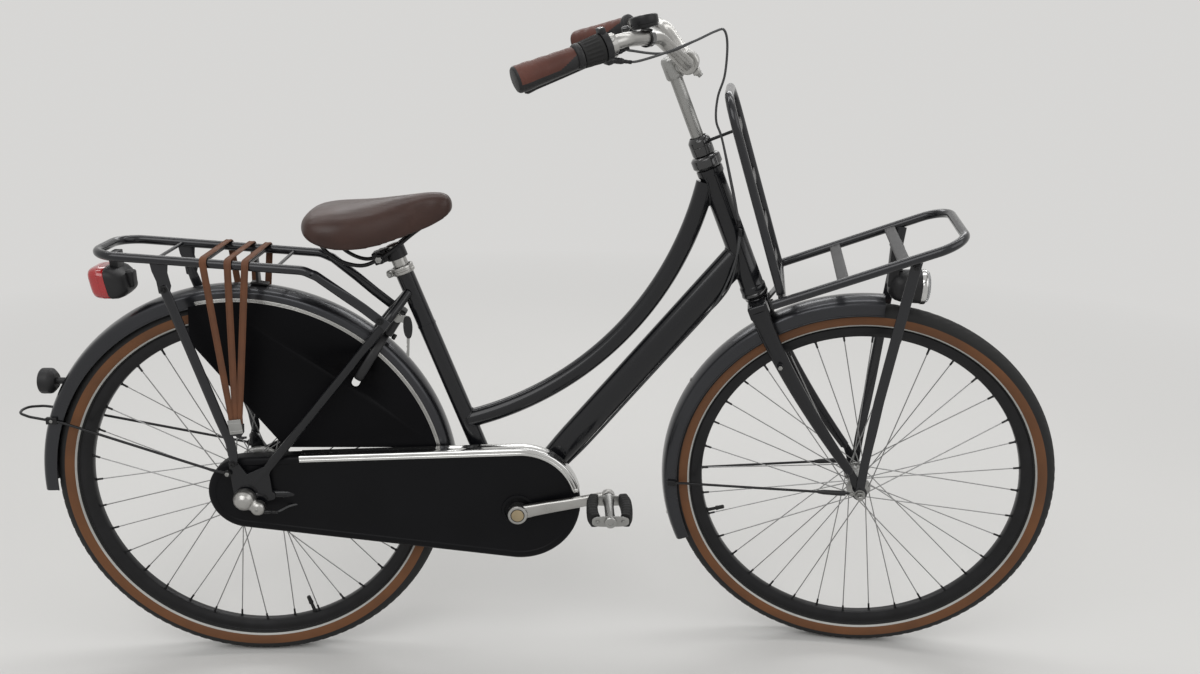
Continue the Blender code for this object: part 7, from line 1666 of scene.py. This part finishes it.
def build_cables():
    lead = (CABLE_START - shifter_lobe()).normalized()
    cable("shift_cable_bar", [CABLE_START + lead * 0.0003, CABLE_START + lead * 0.010] + SHIFT_BAR, "steering")
    along, inward, up = grip_frame(-1)
    centre, _ = bar_point(-1, 0.1585)
    start = centre + inward * 0.0095 - up * 0.0172 + along * 0.017
    cable("brake_cable_bar", [start, start + along * 0.007, start + along * 0.016 - Z_AXIS * 0.005]
          + behind(SHIFT_BAR[1:-2], 0.0065) + BRAKE_BAR_END, "steering")
    cable("shift_cable_frame", SHIFT_HEAD + [down_tube_point(*at) for at in SHIFT_WRAP] + SHIFT_TAIL
          + [GEAR_CABLE + X_AXIS * 0.007, GEAR_CABLE + X_AXIS * 0.0003], "frame")
    cable("brake_cable_frame", BRAKE_HEAD + [down_tube_point(*at) for at in BRAKE_WRAP] + BRAKE_TAIL
          + [BRAKE_CABLE + X_AXIS * 0.008, BRAKE_CABLE + X_AXIS * 0.0003], "frame")


# Cranks and pedals

CRANK_REST = math.radians(12.4)
CRANK_L, CRANK_FACE = 0.170, 0.0725
CRANK_FORE = Vector((math.cos(CRANK_REST), 0.0, math.sin(CRANK_REST)))


def build_crank(side):
    fore = CRANK_FORE if side < 0 else -CRANK_FORE
    out = Y_AXIS * side
    face = CRANK_FACE
    points = [BB + out * face, BB + fore * 0.045 + out * (face + 0.001),
              BB + fore * 0.110 + out * (face + 0.006), BB + fore * CRANK_L + out * (face + 0.008)]
    path = catmull(points, 12)
    far = shares(path)
    thick = vary(far, (0.0, 0.0070), (0.4, 0.0066), (1.0, 0.0063))
    deep = vary(far, (0.0, 0.0135), (0.25, 0.0118), (0.65, 0.0103), (1.0, 0.0097))
    pieces = [tube("arm", path, thick, "polished", 36, deep, Y_AXIS, 0.62)]
    eye = BB + fore * CRANK_L + out * (face + 0.008)
    ring = [(-0.0065, 0.0), (-0.0065, 0.0112), (-0.0052, 0.0125), (0.0054, 0.0125), (0.0070, 0.0112),
            (0.0070, 0.0)]
    pieces.append(revolve("eye", eye, out, ring, "polished", 48))
    spindle = [(0.0, 0.0), (0.0, 0.006), (0.012, 0.006), (0.012, 0.0074), (0.0155, 0.0074), (0.0155, 0.006),
               (0.100, 0.006), (0.100, 0.0)]
    pieces.append(revolve("spindle", eye, out, spindle, "steel", 32))
    boss = [(-0.011, 0.0), (-0.011, 0.0170), (0.0060, 0.0184), (0.0085, 0.0185), (0.0110, 0.0176),
            (0.0120, 0.0160), (0.0120, 0.0128), (0.0108, 0.0124), (0.0108, 0.0)]
    pieces.append(revolve("boss", BB + out * face, out, boss, "polished", 64))
    cap = [(0.0100, 0.0), (0.0100, 0.0118), (0.0118, 0.0120), (0.0130, 0.0112), (0.0136, 0.0090), (0.0138, 0.0)]
    pieces.append(revolve("cap", BB + out * face, out, cap, "gold", 64))
    pieces.append(revolve("cap_ring", BB + out * face, out,
                          [(0.0100, 0.0119), (0.0124, 0.0119), (0.0126, 0.0129), (0.0100, 0.0130)],
                          "black_metal", 64, closed=True))
    if side < 0:
        pieces.append(revolve("web", BB - Y_AXIS * 0.0435, -Y_AXIS,
                              [(0.0, 0.0105), (0.0, 0.0200), (0.024, 0.0165), (0.024, 0.0105)], "black_metal", 48))
        teeth = []
        for i in range(38 * 6):
            angle = 2 * math.pi * i / (38 * 6)
            r = 0.0127 / (2 * math.sin(math.pi / 38)) + 0.0030 * math.cos(angle * 38)
            teeth.append((BB.x + r * math.cos(angle), BB.z + r * math.sin(angle)))
        pieces.append(plate("ring", teeth, 0.0433, 0.0457, "steel"))
    else:
        pieces.append(tube("axle", [BB + Y_AXIS * 0.07, BB - Y_AXIS * 0.070], 0.0085, "steel", 32, side=X_AXIS))
    name = "crank_right" if side < 0 else "crank_left"
    dress(name, pieces, "crank")


def build_pedal(side):
    fore = CRANK_FORE if side < 0 else -CRANK_FORE
    out = Y_AXIS * side
    length = 0.092
    start = BB + fore * CRANK_L + out * (CRANK_FACE + 0.008 + 0.010)
    barrel = [(0.0, 0.0064), (0.0, 0.0108), (0.0010, 0.0115), (0.0120, 0.0104), (0.030, 0.0086), (0.060, 0.0085),
              (length - 0.008, 0.0090), (length - 0.004, 0.0100), (length, 0.0106), (length + 0.0040, 0.0102),
              (length + 0.0050, 0.0090), (length + 0.0050, 0.0050), (length + 0.0040, 0.0046),
              (length + 0.0040, 0.0)]
    pieces = [revolve("barrel", start, out, barrel, "alloy", 48)]
    for level in (0.008, length - 0.002):
        at = start + out * level
        rim = [squarish(2 * math.pi * k / 48, 0.55, 0.6) for k in range(48)]
        outline = [(0.0325 * c, 0.0098 * s) for c, s in rim]
        pieces.append(plate("end", outline, -0.0011, 0.0011, "steel", at, X_AXIS, Z_AXIS, 0.0004))
    for way in (-1, 1):
        points = [start + out * 0.004 + X_AXIS * way * 0.0265, start + out * (length * 0.30) + X_AXIS * way * 0.0305,
                  start + out * (length * 0.70) + X_AXIS * way * 0.0305,
                  start + out * (length - 0.006) + X_AXIS * way * 0.0265]
        path = finer(catmull(points, 8), 0.0022)
        far = shares(path)
        deep, tall = [], []
        for i, t in enumerate(far):
            grow = between([(0.0, 0.9), (0.3, 1.0), (0.7, 1.0), (1.0, 0.9)], t)
            groove = 0.0009 if (i // 2) % 3 == 0 and 1 < i < len(far) - 2 else 0.0
            deep.append(0.010 * grow - groove)
            tall.append(0.0135 * grow - groove)
        pieces.append(tube("rubber", path, deep, "rubber", 32, tall, X_AXIS, 0.5, smooth=30.0))
        for level in (0.0095, length - 0.0005):
            pieces.append(bolt("nut", start + out * level + X_AXIS * way * 0.0225, out, 0.0036, 0.0026))
    name = "pedal_right" if side < 0 else "pedal_left"
    dress(name, pieces, name)


# Bell, shifter and brake lever

def build_bell():
    bend = BAR_CENTRE + Vector((BAR_POINTS[0][0], -BAR_POINTS[0][1], BAR_POINTS[0][2]))
    outer = BAR_CENTRE + Vector((BAR_POINTS[1][0], -BAR_POINTS[1][1], BAR_POINTS[1][2]))
    along = (outer - bend).normalized()
    place = bend + along * 0.042
    axis = Vector((-0.22, 0.10, 0.97)).normalized()
    r = 0.0111
    ring = both_ways([(0.0052, r + 0.0035), (0.006, r + 0.0028), (0.006, r + 0.0004)])
    pieces = [revolve("ring", place, along, ring, "gloss", 48, closed=True)]
    pieces.append(tube("post", [place + axis * (r + 0.001), place + axis * (r + 0.009)], 0.007, "gloss", 24,
                       side=X_AXIS))
    drum = place + axis * 0.0155 + Vector((0.001, -0.004, 0.0))
    b = 0.0225
    dome = [(0.0, 0.0), (0.0, b * 0.90), (0.0012, b * 0.93), (0.0050, b * 0.94), (0.0055, b * 0.985), (0.0062, b),
            (0.0160, b), (0.0178, b * 0.98), (0.0190, b * 0.92), (0.0197, b * 0.80), (0.0200, b * 0.5),
            (0.0200, 0.0)]
    pieces.append(revolve("drum", drum, axis, dome, "black_metal", 72, smooth=40.0))
    dress("bell", pieces, "steering")
    aft = (axis * axis.x - X_AXIS).normalized()
    foot = drum + axis * 0.0050 + aft * (b + 0.0009)
    knob = [(0.0, 0.0), (0.0, 0.0020), (0.0025, 0.0020), (0.0028, 0.0040), (0.0040, 0.0048), (0.0110, 0.0048),
            (0.0130, 0.0042), (0.0140, 0.0028), (0.0140, 0.0)]
    dress("bell_striker", revolve("knob", foot, aft, knob, "gloss", 32), "bell_striker")


def build_shifter():
    """The rubber twist sleeve with its finger ribs, the housing with its scale window, and the adjuster."""
    along, inward, up = grip_frame(-1)
    start, _ = bar_point(-1, 0.1065)
    r, length = 0.022, 0.034
    profile = [(0.0, 0.0115), (0.0, 0.0192), (0.0010, 0.0200)]
    for i in range(25):
        s = 0.0015 + (length - 0.0035) * i / 24
        profile.append((s, between([(0.0, 0.0200), (0.014, 0.0208), (0.028, 0.0219), (9.0, 0.0219)], s)))
    profile += [(length - 0.0008, r - 0.0004), (length, r - 0.0012), (length, 0.0115)]

    def ribs(angle, index, level, radius):
        if 0.003 < level < length - 0.006:
            radius += 0.0007 * max(-0.4, math.sin(angle * 20)) - 0.0005
        return level, radius

    sleeve = revolve("sleeve", start, along, profile, "rubber", 160, ribs, 50.0)
    dress("shifter_sleeve", sleeve, "shifter_sleeve")
    place, _ = bar_point(-1, 0.1415)
    shell = [(0.0, 0.0115), (0.0, r + 0.0006), (0.0008, r + 0.0014), (0.0095, r + 0.0014), (0.0107, r - 0.0002),
             (0.011, r - 0.0020), (0.011, 0.0115)]
    pieces = [revolve("housing", place, along, shell, "black", 64, closed=True)]
    middle = place + along * 0.0050 + up * (r + 0.001)
    pieces.append(block("window", middle, (0.010, 0.018, 0.012), "black", along, inward, 0.0022))
    pieces.append(block("glass", middle + up * 0.0058, (0.0065, 0.0130, 0.0012), "lens", along, inward, 0.0004))
    pieces.append(block("pointer", middle + up * 0.0056 + inward * 0.0015, (0.0050, 0.0012, 0.0012), "red", along,
                        inward, 0.0002))
    lobe = shifter_lobe()
    pieces.append(block("lobe", lobe, (0.011, 0.022, 0.014), "black", along, inward, 0.0030))
    ahead = (CABLE_START - lobe).normalized()
    reach = (CABLE_START - lobe).length
    barrel = [(0.0, 0.0056)]
    for i in range(9):
        barrel.append((reach * 0.5 + i * reach * 0.045, 0.0050 if i % 2 else 0.0045))
    barrel += [(reach * 0.93, 0.0042), (reach - 0.0006, 0.0038), (reach, 0.0032), (reach, 0.0)]
    pieces.append(revolve("adjuster", lobe, ahead, barrel, "black", 24, smooth=25.0))
    dress("shifter_housing", pieces, "steering")


def lever_pivot():
    """The place and the axis of the pin that the brake lever turns on."""
    _, inward, up = grip_frame(-1)
    point, _ = bar_point(-1, 0.1650)
    return point + inward * 0.024 - up * 0.016, (inward * 0.55 + up * 0.83).normalized()


def build_lever_bracket():
    """The clamp round the bar, the forked arm that holds the lever's pin, and the cable's nozzle."""
    along, inward, up = grip_frame(-1)
    centre, _ = bar_point(-1, 0.1585)
    pivot, axis = lever_pivot()
    reach = (pivot - centre).normalized()
    length = (pivot - centre).length
    ring = both_ways([(0.0042, 0.0161), (0.0050, 0.0150), (0.0050, 0.0114)])
    pieces = [revolve("ring", centre, along, ring, "polished", 56, closed=True)]
    path = [centre + reach * 0.0125, centre + reach * (length * 0.6), pivot - reach * 0.0086]
    pieces.append(tube("arm", path, [0.0060, 0.0086, 0.0098], "polished", 28, 0.0050, axis, 0.6))
    for level in (-0.0083, 0.0083):
        at = pivot + axis * level
        outline = belt((-0.0100, 0.0), 0.0052, (0.0, 0.0), 0.0068, 16)
        across = axis.cross(reach).normalized()
        pieces.append(plate("cheek", outline, -0.0015, 0.0015, "polished", at, reach, across, 0.0005))
    pin = both_ways([(0.0098, 0.0042), (0.0108, 0.0036), (0.0108, 0.0)])
    pieces.append(revolve("pin", pivot, axis, pin, "steel", 24))
    start = centre + inward * 0.0095 - up * 0.0172 + along * 0.017
    nozzle = [(0.0003, 0.0), (0.0003, 0.0032), (0.0012, 0.0037), (0.0060, 0.0037), (0.0064, 0.0031),
              (0.0072, 0.0031), (0.0076, 0.0037), (0.0153, 0.0037), (0.0153, 0.0)]
    pieces.append(revolve("nozzle", start, -along, nozzle, "black_metal", 24))
    foot = centre + along * 0.0018
    drop = start - along * 0.0152 - foot
    pieces.append(tube("web", [foot + drop.normalized() * 0.0135, foot + drop], 0.0030, "polished", 18, side=along))
    screw = centre - reach * 0.0160
    pieces.append(bolt("screw", screw, -reach, 0.0034, 0.0030, "steel", False))
    dress("brake_lever_bracket", pieces, "steering")


def build_brake_lever():
    _, inward, up = grip_frame(-1)
    pivot, axis = lever_pivot()
    points = [pivot] + [bar_point(-1, s)[0] + inward * a - up * b for s, a, b in
                        ((0.135, 0.033, 0.022), (0.090, 0.037, 0.026), (0.045, 0.040, 0.029), (0.018, 0.044, 0.031))]
    path = catmull(points, 12)
    far = shares(path)
    broad = vary(far, (0.0, 0.0062), (0.2, 0.0052), (0.85, 0.0046), (0.97, 0.0056), (1.0, 0.0030))
    thin = vary(far, (0.0, 0.0040), (0.2, 0.0032), (0.88, 0.0030), (0.97, 0.0048), (1.0, 0.0028))
    hub = both_ways([(0.0058, 0.0075), (0.0065, 0.0068), (0.0065, 0.0044)])
    pieces = [tube("blade", path, broad, "black_metal", 24, thin, axis, 0.7),
              revolve("hub", pivot, axis, hub, "black_metal", 36, closed=True)]
    dress("brake_lever", pieces, "brake_lever")


# Guards, ring lock and key

LOCK_ANGLE = math.radians(45.0)
LOCK_TILT = math.radians(57.5)
LOCK_RING_R = 0.0550
LOCK_OUT = Vector((math.cos(LOCK_TILT), 0.0, math.sin(LOCK_TILT)))
LOCK_NORMAL = Vector((math.sin(LOCK_TILT), 0.0, -math.cos(LOCK_TILT)))
LOCK_FOOT = REAR_AXLE + Vector((math.cos(LOCK_ANGLE), 0.0, math.sin(LOCK_ANGLE))) * 0.2838
LOCK_CENTRE = LOCK_FOOT + LOCK_OUT * LOCK_RING_R
KEY_PIVOT = LOCK_CENTRE + LOCK_OUT * 0.094 + LOCK_NORMAL * 0.004 - Y_AXIS * 0.022


def build_guards():
    """Stiff black sheets inside the fender's edge, each with a slot for the lock's bar."""
    radius = 0.3545
    start = math.asin((0.436 - WHEEL_R) / radius)
    rim = arc((0.0, WHEEL_R), radius, start, math.radians(103.2), 60)
    cross = LOCK_CENTRE - LOCK_OUT * 0.0454
    for side, name, reach in ((-1, "coat_guard_right", 0.008), (1, "coat_guard_left", 0.030)):
        sheet = plate("sheet", rim + [(-0.085, 0.640), (0.068, 0.437)], *apart(side, 0.0298, 0.0310), "guard")
        far = (cross.x - reach * 0.49, cross.z - reach * 0.87)
        slot = plate("slot", belt(far, 0.0072, (cross.x, cross.z), 0.0082, 16), -0.05, 0.05, "guard")
        cut = sheet.modifiers.new("slot", "BOOLEAN")
        cut.operation = "DIFFERENCE"
        cut.solver = "EXACT"
        cut.object = slot
        bake(sheet)
        bpy.data.objects.remove(slot)
        pieces = [sheet]
        for degrees in (20.0, 62.0, 84.0, 100.0):
            place = REAR_AXLE + radial(degrees) * (radius - 0.009)
            pieces.append(bolt("rivet", place + Y_AXIS * side * 0.0310, Y_AXIS * side, 0.0030, 0.0010, "guard",
                               False))
        dress(name, pieces, "frame")


def lock_arc(start, end, steps):
    path = []
    for i in range(steps + 1):
        a = math.radians(start + (end - start) * i / steps)
        path.append(LOCK_CENTRE + LOCK_OUT * (LOCK_RING_R * math.cos(a)) + Y_AXIS * (LOCK_RING_R * math.sin(a)))
    return path


def build_lock():
    half_r = 0.0070
    pieces = [tube("shell", lock_arc(-125, 125, 80), 0.0080, "black", 32, half_r, LOCK_NORMAL, 0.55)]
    for end in (-125, 125):
        rim = lock_arc(end - math.copysign(5, end), end + math.copysign(0.4, end), 4)
        pieces.append(tube("end", rim, 0.0084, "black_metal", 32, half_r + 0.0004, LOCK_NORMAL, 0.6))
    slot = [p + LOCK_NORMAL * 0.0080 for p in lock_arc(-12.5, 121, 56)]
    pieces.append(tube("slot", slot, 0.0003, "rubber", 12, 0.0025, LOCK_NORMAL))
    rings = []
    for out, half in ((0.0590, 0.0330), (0.0600, 0.0345), (0.0640, 0.0338), (0.0780, 0.0285), (0.0920, 0.0228),
                      (0.1010, 0.0200), (0.1050, 0.0172), (0.1068, 0.0130), (0.1070, 0.0080)):
        ring = []
        for k in range(48):
            c, s = squarish(2 * math.pi * k / 48)
            shrink = min(1.0, half / 0.0172)
            ring.append(LOCK_CENTRE + LOCK_OUT * out + Y_AXIS * (half * c)
                        + LOCK_NORMAL * (0.00425 + 0.00825 * shrink * s))
        rings.append(ring)
    pieces.append(loft("box", rings, "black", 50.0))
    mount = LOCK_CENTRE + LOCK_OUT * 0.030 - LOCK_NORMAL * 0.0115
    lug_y = 0.0560 - ((mount - REAR_AXLE).dot(STAY_UP) - 0.300) * 0.0611 - 0.0126
    for side in (-1, 1):
        pieces.append(block("lug", mount + Y_AXIS * side * lug_y, (0.010, 0.008, 0.015), "black", LOCK_OUT, Y_AXIS,
                            0.0012))
        pieces.append(bolt("screw", mount + Y_AXIS * side * lug_y - LOCK_NORMAL * 0.0072, -LOCK_NORMAL, 0.0030,
                           0.0024))
    barrel = [(-0.0080, 0.0), (-0.0080, 0.0086), (0.0012, 0.0086), (0.0024, 0.0078), (0.0026, 0.0068),
              (0.0020, 0.0062), (0.0020, 0.0)]
    pieces.append(revolve("barrel", KEY_PIVOT, -Y_AXIS, barrel, "steel", 40))
    dress("ring_lock_housing", pieces, "frame")
    foot = lock_arc(-8, 0, 1)[0]
    knob = [(0.0, 0.0), (0.0, 0.0021), (0.0120, 0.0021), (0.0124, 0.0042), (0.0136, 0.0052), (0.0180, 0.0056),
            (0.0194, 0.0048), (0.0198, 0.0)]
    pieces = [tube("bar", lock_arc(-16, 121, 64), 0.00425, "steel", 20, side=LOCK_NORMAL),
              revolve("knob", foot, LOCK_NORMAL, knob, "black", 32)]
    dress("ring_lock_shackle", pieces, "lock_shackle")


def smooth_loop(points, steps=6):
    """A closed outline run smoothly through its corners."""
    count = len(points)
    loop = [Vector((x, z, 0.0)) for x, z in points]
    result = []
    for i in range(count):
        four = [loop[(i + k) % count] for k in (-1, 0, 1, 2)]
        result += [spline(*four, j / steps)[:2] for j in range(steps)]
    return result


def build_key():
    """The key in the lock, with a second one hanging from its ring."""
    p = KEY_PIVOT
    level = -p.y
    origin = Vector((p.x, 0.0, p.z))
    link = [(0.0, -0.003), (0.010, -0.008), (0.022, -0.006), (0.022, 0.002), (0.012, 0.006), (0.0, 0.004)]
    bow = [(0.012, 0.003), (0.009, -0.012), (0.0105, -0.028), (0.015, -0.036), (0.021, -0.036),
           (0.0245, -0.026), (0.025, -0.010), (0.021, 0.003)]
    blade = [(0.0145, -0.034), (0.0138, -0.046), (0.0146, -0.048), (0.0132, -0.052), (0.0142, -0.056),
             (0.0128, -0.062), (0.0125, -0.066), (0.0150, -0.074), (0.0175, -0.070), (0.0195, -0.034)]
    pieces = [plate("head", disc(0.0075), level + 0.003, level + 0.0065, "steel", origin, round_off=0.0005),
              plate("link", smooth_loop(link), level + 0.0035, level + 0.0060, "steel", origin, round_off=0.0006),
              plate("bow", smooth_loop(bow), level + 0.0030, level + 0.0068, "black", origin, round_off=0.0010),
              plate("blade", blade, level + 0.0038, level + 0.0060, "alloy", origin, round_off=0.0003)]
    dress("ring_lock_key", pieces, "lock_key")


# Gear box, roller brake, kickstand and bottom bracket

GEAR_FOOT = Vector((0.001, -0.0722, WHEEL_R - 0.003))
GEAR_LOBE = Vector((0.0250, -0.0745, WHEEL_R - 0.0185))


def build_gear_box():
    """Two domes that flow into each other, remeshed as one casting, with the cable's nozzle."""
    dome = [(0.0, 0.0), (0.0, 0.0195), (0.0020, 0.0205), (0.0090, 0.0203), (0.0150, 0.0180), (0.0205, 0.0135),
            (0.0245, 0.0075), (0.0260, 0.0)]
    lobe = [(0.0, 0.0), (0.0, 0.0125), (0.0020, 0.0136), (0.0110, 0.0134), (0.0150, 0.0110), (0.0178, 0.0065),
            (0.0186, 0.0)]
    level = Y_AXIS * 0.0075
    body = merge("body", [revolve("dome", GEAR_FOOT, -Y_AXIS, dome, "polished", 48),
                          revolve("lobe", GEAR_LOBE, -Y_AXIS, lobe, "polished", 48),
                          tube("neck", [GEAR_FOOT - level, GEAR_LOBE - level], 0.0085, "polished", 32, 0.0120,
                               Y_AXIS)])
    voxels(body, 0.0009)
    relax = body.modifiers.new("relax", "SMOOTH")
    relax.factor = 0.5
    relax.iterations = 14
    recast(body, "polished")
    nozzle = [(-0.0060, 0.0), (-0.0060, 0.0034), (0.0040, 0.0037), (0.0090, 0.0037), (0.0094, 0.0030),
              (0.0117, 0.0030), (0.0117, 0.0)]
    pieces = [body, revolve("nozzle", GEAR_CABLE - X_AXIS * 0.012, X_AXIS, nozzle, "black_metal", 24)]
    pieces.append(bolt("screw", GEAR_LOBE - Y_AXIS * 0.0178, -Y_AXIS, 0.0030, 0.0016, "steel", False))
    dress("gear_click_box", pieces, "frame")


def build_rear_brake():
    low, high, r = 0.0365, 0.0494, 0.048
    drum = [(low, 0.0055), (low, r - 0.009), (low + 0.0020, r - 0.002), (low + 0.0032, r)]
    for level in (0.0410, 0.0436, 0.0462):
        drum += [(level, r), (level + 0.0004, r - 0.0026), (level + 0.0014, r - 0.0026), (level + 0.0018, r)]
    drum += [(high - 0.0010, r - 0.0010), (high, r - 0.0030), (high, 0.0300), (high - 0.0012, 0.0280),
             (high - 0.0012, 0.0120), (high, 0.0110), (high, 0.0055)]
    pieces = [revolve("drum", REAR_AXLE, Y_AXIS, drum, "alloy", 96, smooth=30.0, closed=True)]
    stay = Vector((0.125, 0.0474, 0.3524))
    along = (Vector((0.110, 0.0480, 0.3535)) - Vector((0.330, 0.0385, 0.338))).normalized()
    pieces.append(block("arm", Vector((0.0825, 0.0360, 0.3534)), (0.105, 0.003, 0.016), "black_metal"))
    clamp = both_ways([(0.0054, 0.0117), (0.0060, 0.0112), (0.0060, 0.0083)])
    pieces.append(revolve("clamp", stay, along, clamp, "steel", 40, closed=True))
    pieces.append(bolt("clamp_bolt", stay + Vector((0.0, -0.0100, -0.0095)), -Z_AXIS, 0.0042, 0.0040))
    pieces.append(tube("stub", [BRAKE_CABLE - X_AXIS * 0.024, BRAKE_CABLE - X_AXIS * 0.0003], 0.0040, "steel", 20,
                       side=Y_AXIS))
    dress("rear_roller_brake", pieces, "frame")


def build_kickstand():
    hub = [(0.0, 0.0045), (0.0, 0.0118), (0.0008, 0.0125), (0.0120, 0.0125), (0.0128, 0.0117), (0.0128, 0.0045)]
    pieces = [revolve("hub", Vector((0.430, 0.0463, 0.300)), Y_AXIS, hub, "black_metal", 40, closed=True)]
    points = [(0.424, 0.0535, 0.3003), (0.290, 0.0540, 0.3085), (0.262, 0.0570, 0.3103), (0.165, 0.0880, 0.3165),
              (0.143, 0.0950, 0.3180)]
    path = finer(rounded(points, 0.06, 10), 0.008)
    far = shares(path)
    broad = vary(far, (0.0, 0.0060), (0.1, 0.0068), (1.0, 0.0066))
    pieces.append(tube("leg", path, broad, "black_metal", 24, 0.0068, Y_AXIS))
    tip = (path[-1] - path[-3]).normalized()
    pad = [(-0.026, 0.0066), (-0.0255, 0.0078), (-0.0020, 0.0080), (0.0, 0.0076), (0.0012, 0.0060), (0.0015, 0.0)]
    pieces.append(revolve("pad", path[-1], tip, pad, "rubber", 28))
    dress("kickstand_leg", pieces, "kickstand")


def build_bottom_bracket():
    ring = both_ways([(0.0342, 0.0169), (0.0350, 0.0165), (0.0360, 0.0148), (0.0360, 0.0088)])
    dress("bottom_bracket_unit", revolve("unit", BB, Y_AXIS, ring, "steel", 56, closed=True), "frame")


# Stage and light

FLOOR_Z = -0.0014
BACKDROP = (0.680, 0.674, 0.662, 1.0)


def combine(tree, operation, a, b):
    """One number from two, by a math node."""
    made = tree.nodes.new("ShaderNodeMath")
    made.operation = operation
    tree.links.new(a, made.inputs[0])
    tree.links.new(b, made.inputs[1])
    return made.outputs[0]


def pick_shader(tree, share, a, b, output):
    """Mixes shaders a and b by a share and shows the result."""
    pick = tree.nodes.new("ShaderNodeMixShader")
    for index, socket in enumerate((share, a, b)):
        tree.links.new(socket, pick.inputs[index])
    tree.links.new(pick.outputs[0], tree.nodes[output].inputs["Surface"])


def seen_directly(tree):
    """1 for the camera and for what shows in metal and glass, 0 for the light on the object."""
    rays = tree.nodes.new("ShaderNodeLightPath")
    total = rays.outputs["Is Camera Ray"]
    for kind in ("Is Glossy Ray", "Is Transmission Ray"):
        total = combine(tree, "MAXIMUM", total, rays.outputs[kind])
    return total


def floor_material():
    """A pale matt floor, faintly cloudy, that runs into the plain backdrop away from the object."""
    s = Shader("floor", (0.640, 0.636, 0.624), 0.75, 0.0, vary=0.015, patch=0.8, grain=60.0, depth=0.0001,
               Specular_IOR_Level=0.2)
    tree = s.tree
    away = tree.nodes.new("ShaderNodeVectorMath")
    away.operation = "LENGTH"
    tree.links.new(s.coords, away.inputs[0])
    fade = s.spread(away.outputs["Value"], 0.0, 1.0, 1.5, 3.6)
    plain = tree.nodes.new("ShaderNodeEmission")
    plain.inputs["Color"].default_value = BACKDROP
    share = combine(tree, "MULTIPLY", fade, seen_directly(tree))
    pick_shader(tree, share, s.shader.outputs[0], plain.outputs[0], "Material Output")
    return s.material


def build_floor():
    size = 60.0
    verts = [(-size, -size, 0.0), (size, -size, 0.0), (size, size, 0.0), (-size, size, 0.0)]
    mesh = bpy.data.meshes.new("floor")
    mesh.from_pydata(verts, [], [(0, 1, 2, 3)])
    mesh.materials.append(floor_material())
    floor = bpy.data.objects.new("floor", mesh)
    floor.location = (0.0, 0.0, FLOOR_Z)
    bpy.context.scene.collection.objects.link(floor)


def build_world():
    world = bpy.data.worlds.new("studio")
    bpy.context.scene.world = world
    world.use_nodes = True
    tree = world.node_tree
    light = tree.nodes["Background"]
    light.inputs["Color"].default_value = (0.885, 0.880, 0.870, 1.0)
    light.inputs["Strength"].default_value = 0.62
    shown = tree.nodes.new("ShaderNodeBackground")
    shown.inputs["Color"].default_value = BACKDROP
    pick_shader(tree, seen_directly(tree), light.outputs[0], shown.outputs[0], "World Output")


LAMPS = (("key", (-1.4, -2.8, 3.4), 3.2, 2.4, 56.0), ("fill", (3.0, -1.9, 2.6), 3.0, 2.4, 28.0),
         ("back", (0.2, 3.0, 3.0), 5.0, 0.7, 40.0), ("top", (0.0, 0.7, 3.4), 5.0, 0.5, 30.0))


def build_lamps():
    """Four soft boxes; the long narrow ones draw the highlights along the tubes and fenders."""
    for name, at, wide, deep, power in LAMPS:
        data = bpy.data.lights.new(name, "AREA")
        data.shape = "RECTANGLE"
        data.size = wide
        data.size_y = deep
        data.energy = power
        lamp = bpy.data.objects.new(name, data)
        bpy.context.scene.collection.objects.link(lamp)
        place = Vector(at)
        aim = Vector((0.0, 0.0, 0.55)) - place
        lamp.matrix_world = Matrix.Translation(place) @ aim.to_track_quat("-Z", "Y").to_matrix().to_4x4()


dress_solids()
build_wheels()
build_fenders()
build_frame()
build_headset()
build_fork()
build_stem()
build_handlebar()
build_grips()
build_front_rack()
build_headlight()
build_rear_rack()
build_rear_light()
build_reflector()
build_straps()
build_chain_case()
build_case_trim()
build_saddle()
build_post()
build_saddle_frame()
build_cables()
for side in (-1, 1):
    build_crank(side)
    build_pedal(side)
build_bell()
build_shifter()
build_lever_bracket()
build_brake_lever()
build_guards()
build_lock()
build_key()
build_gear_box()
build_rear_brake()
build_kickstand()
build_bottom_bracket()
build_floor()
build_world()
build_lamps()
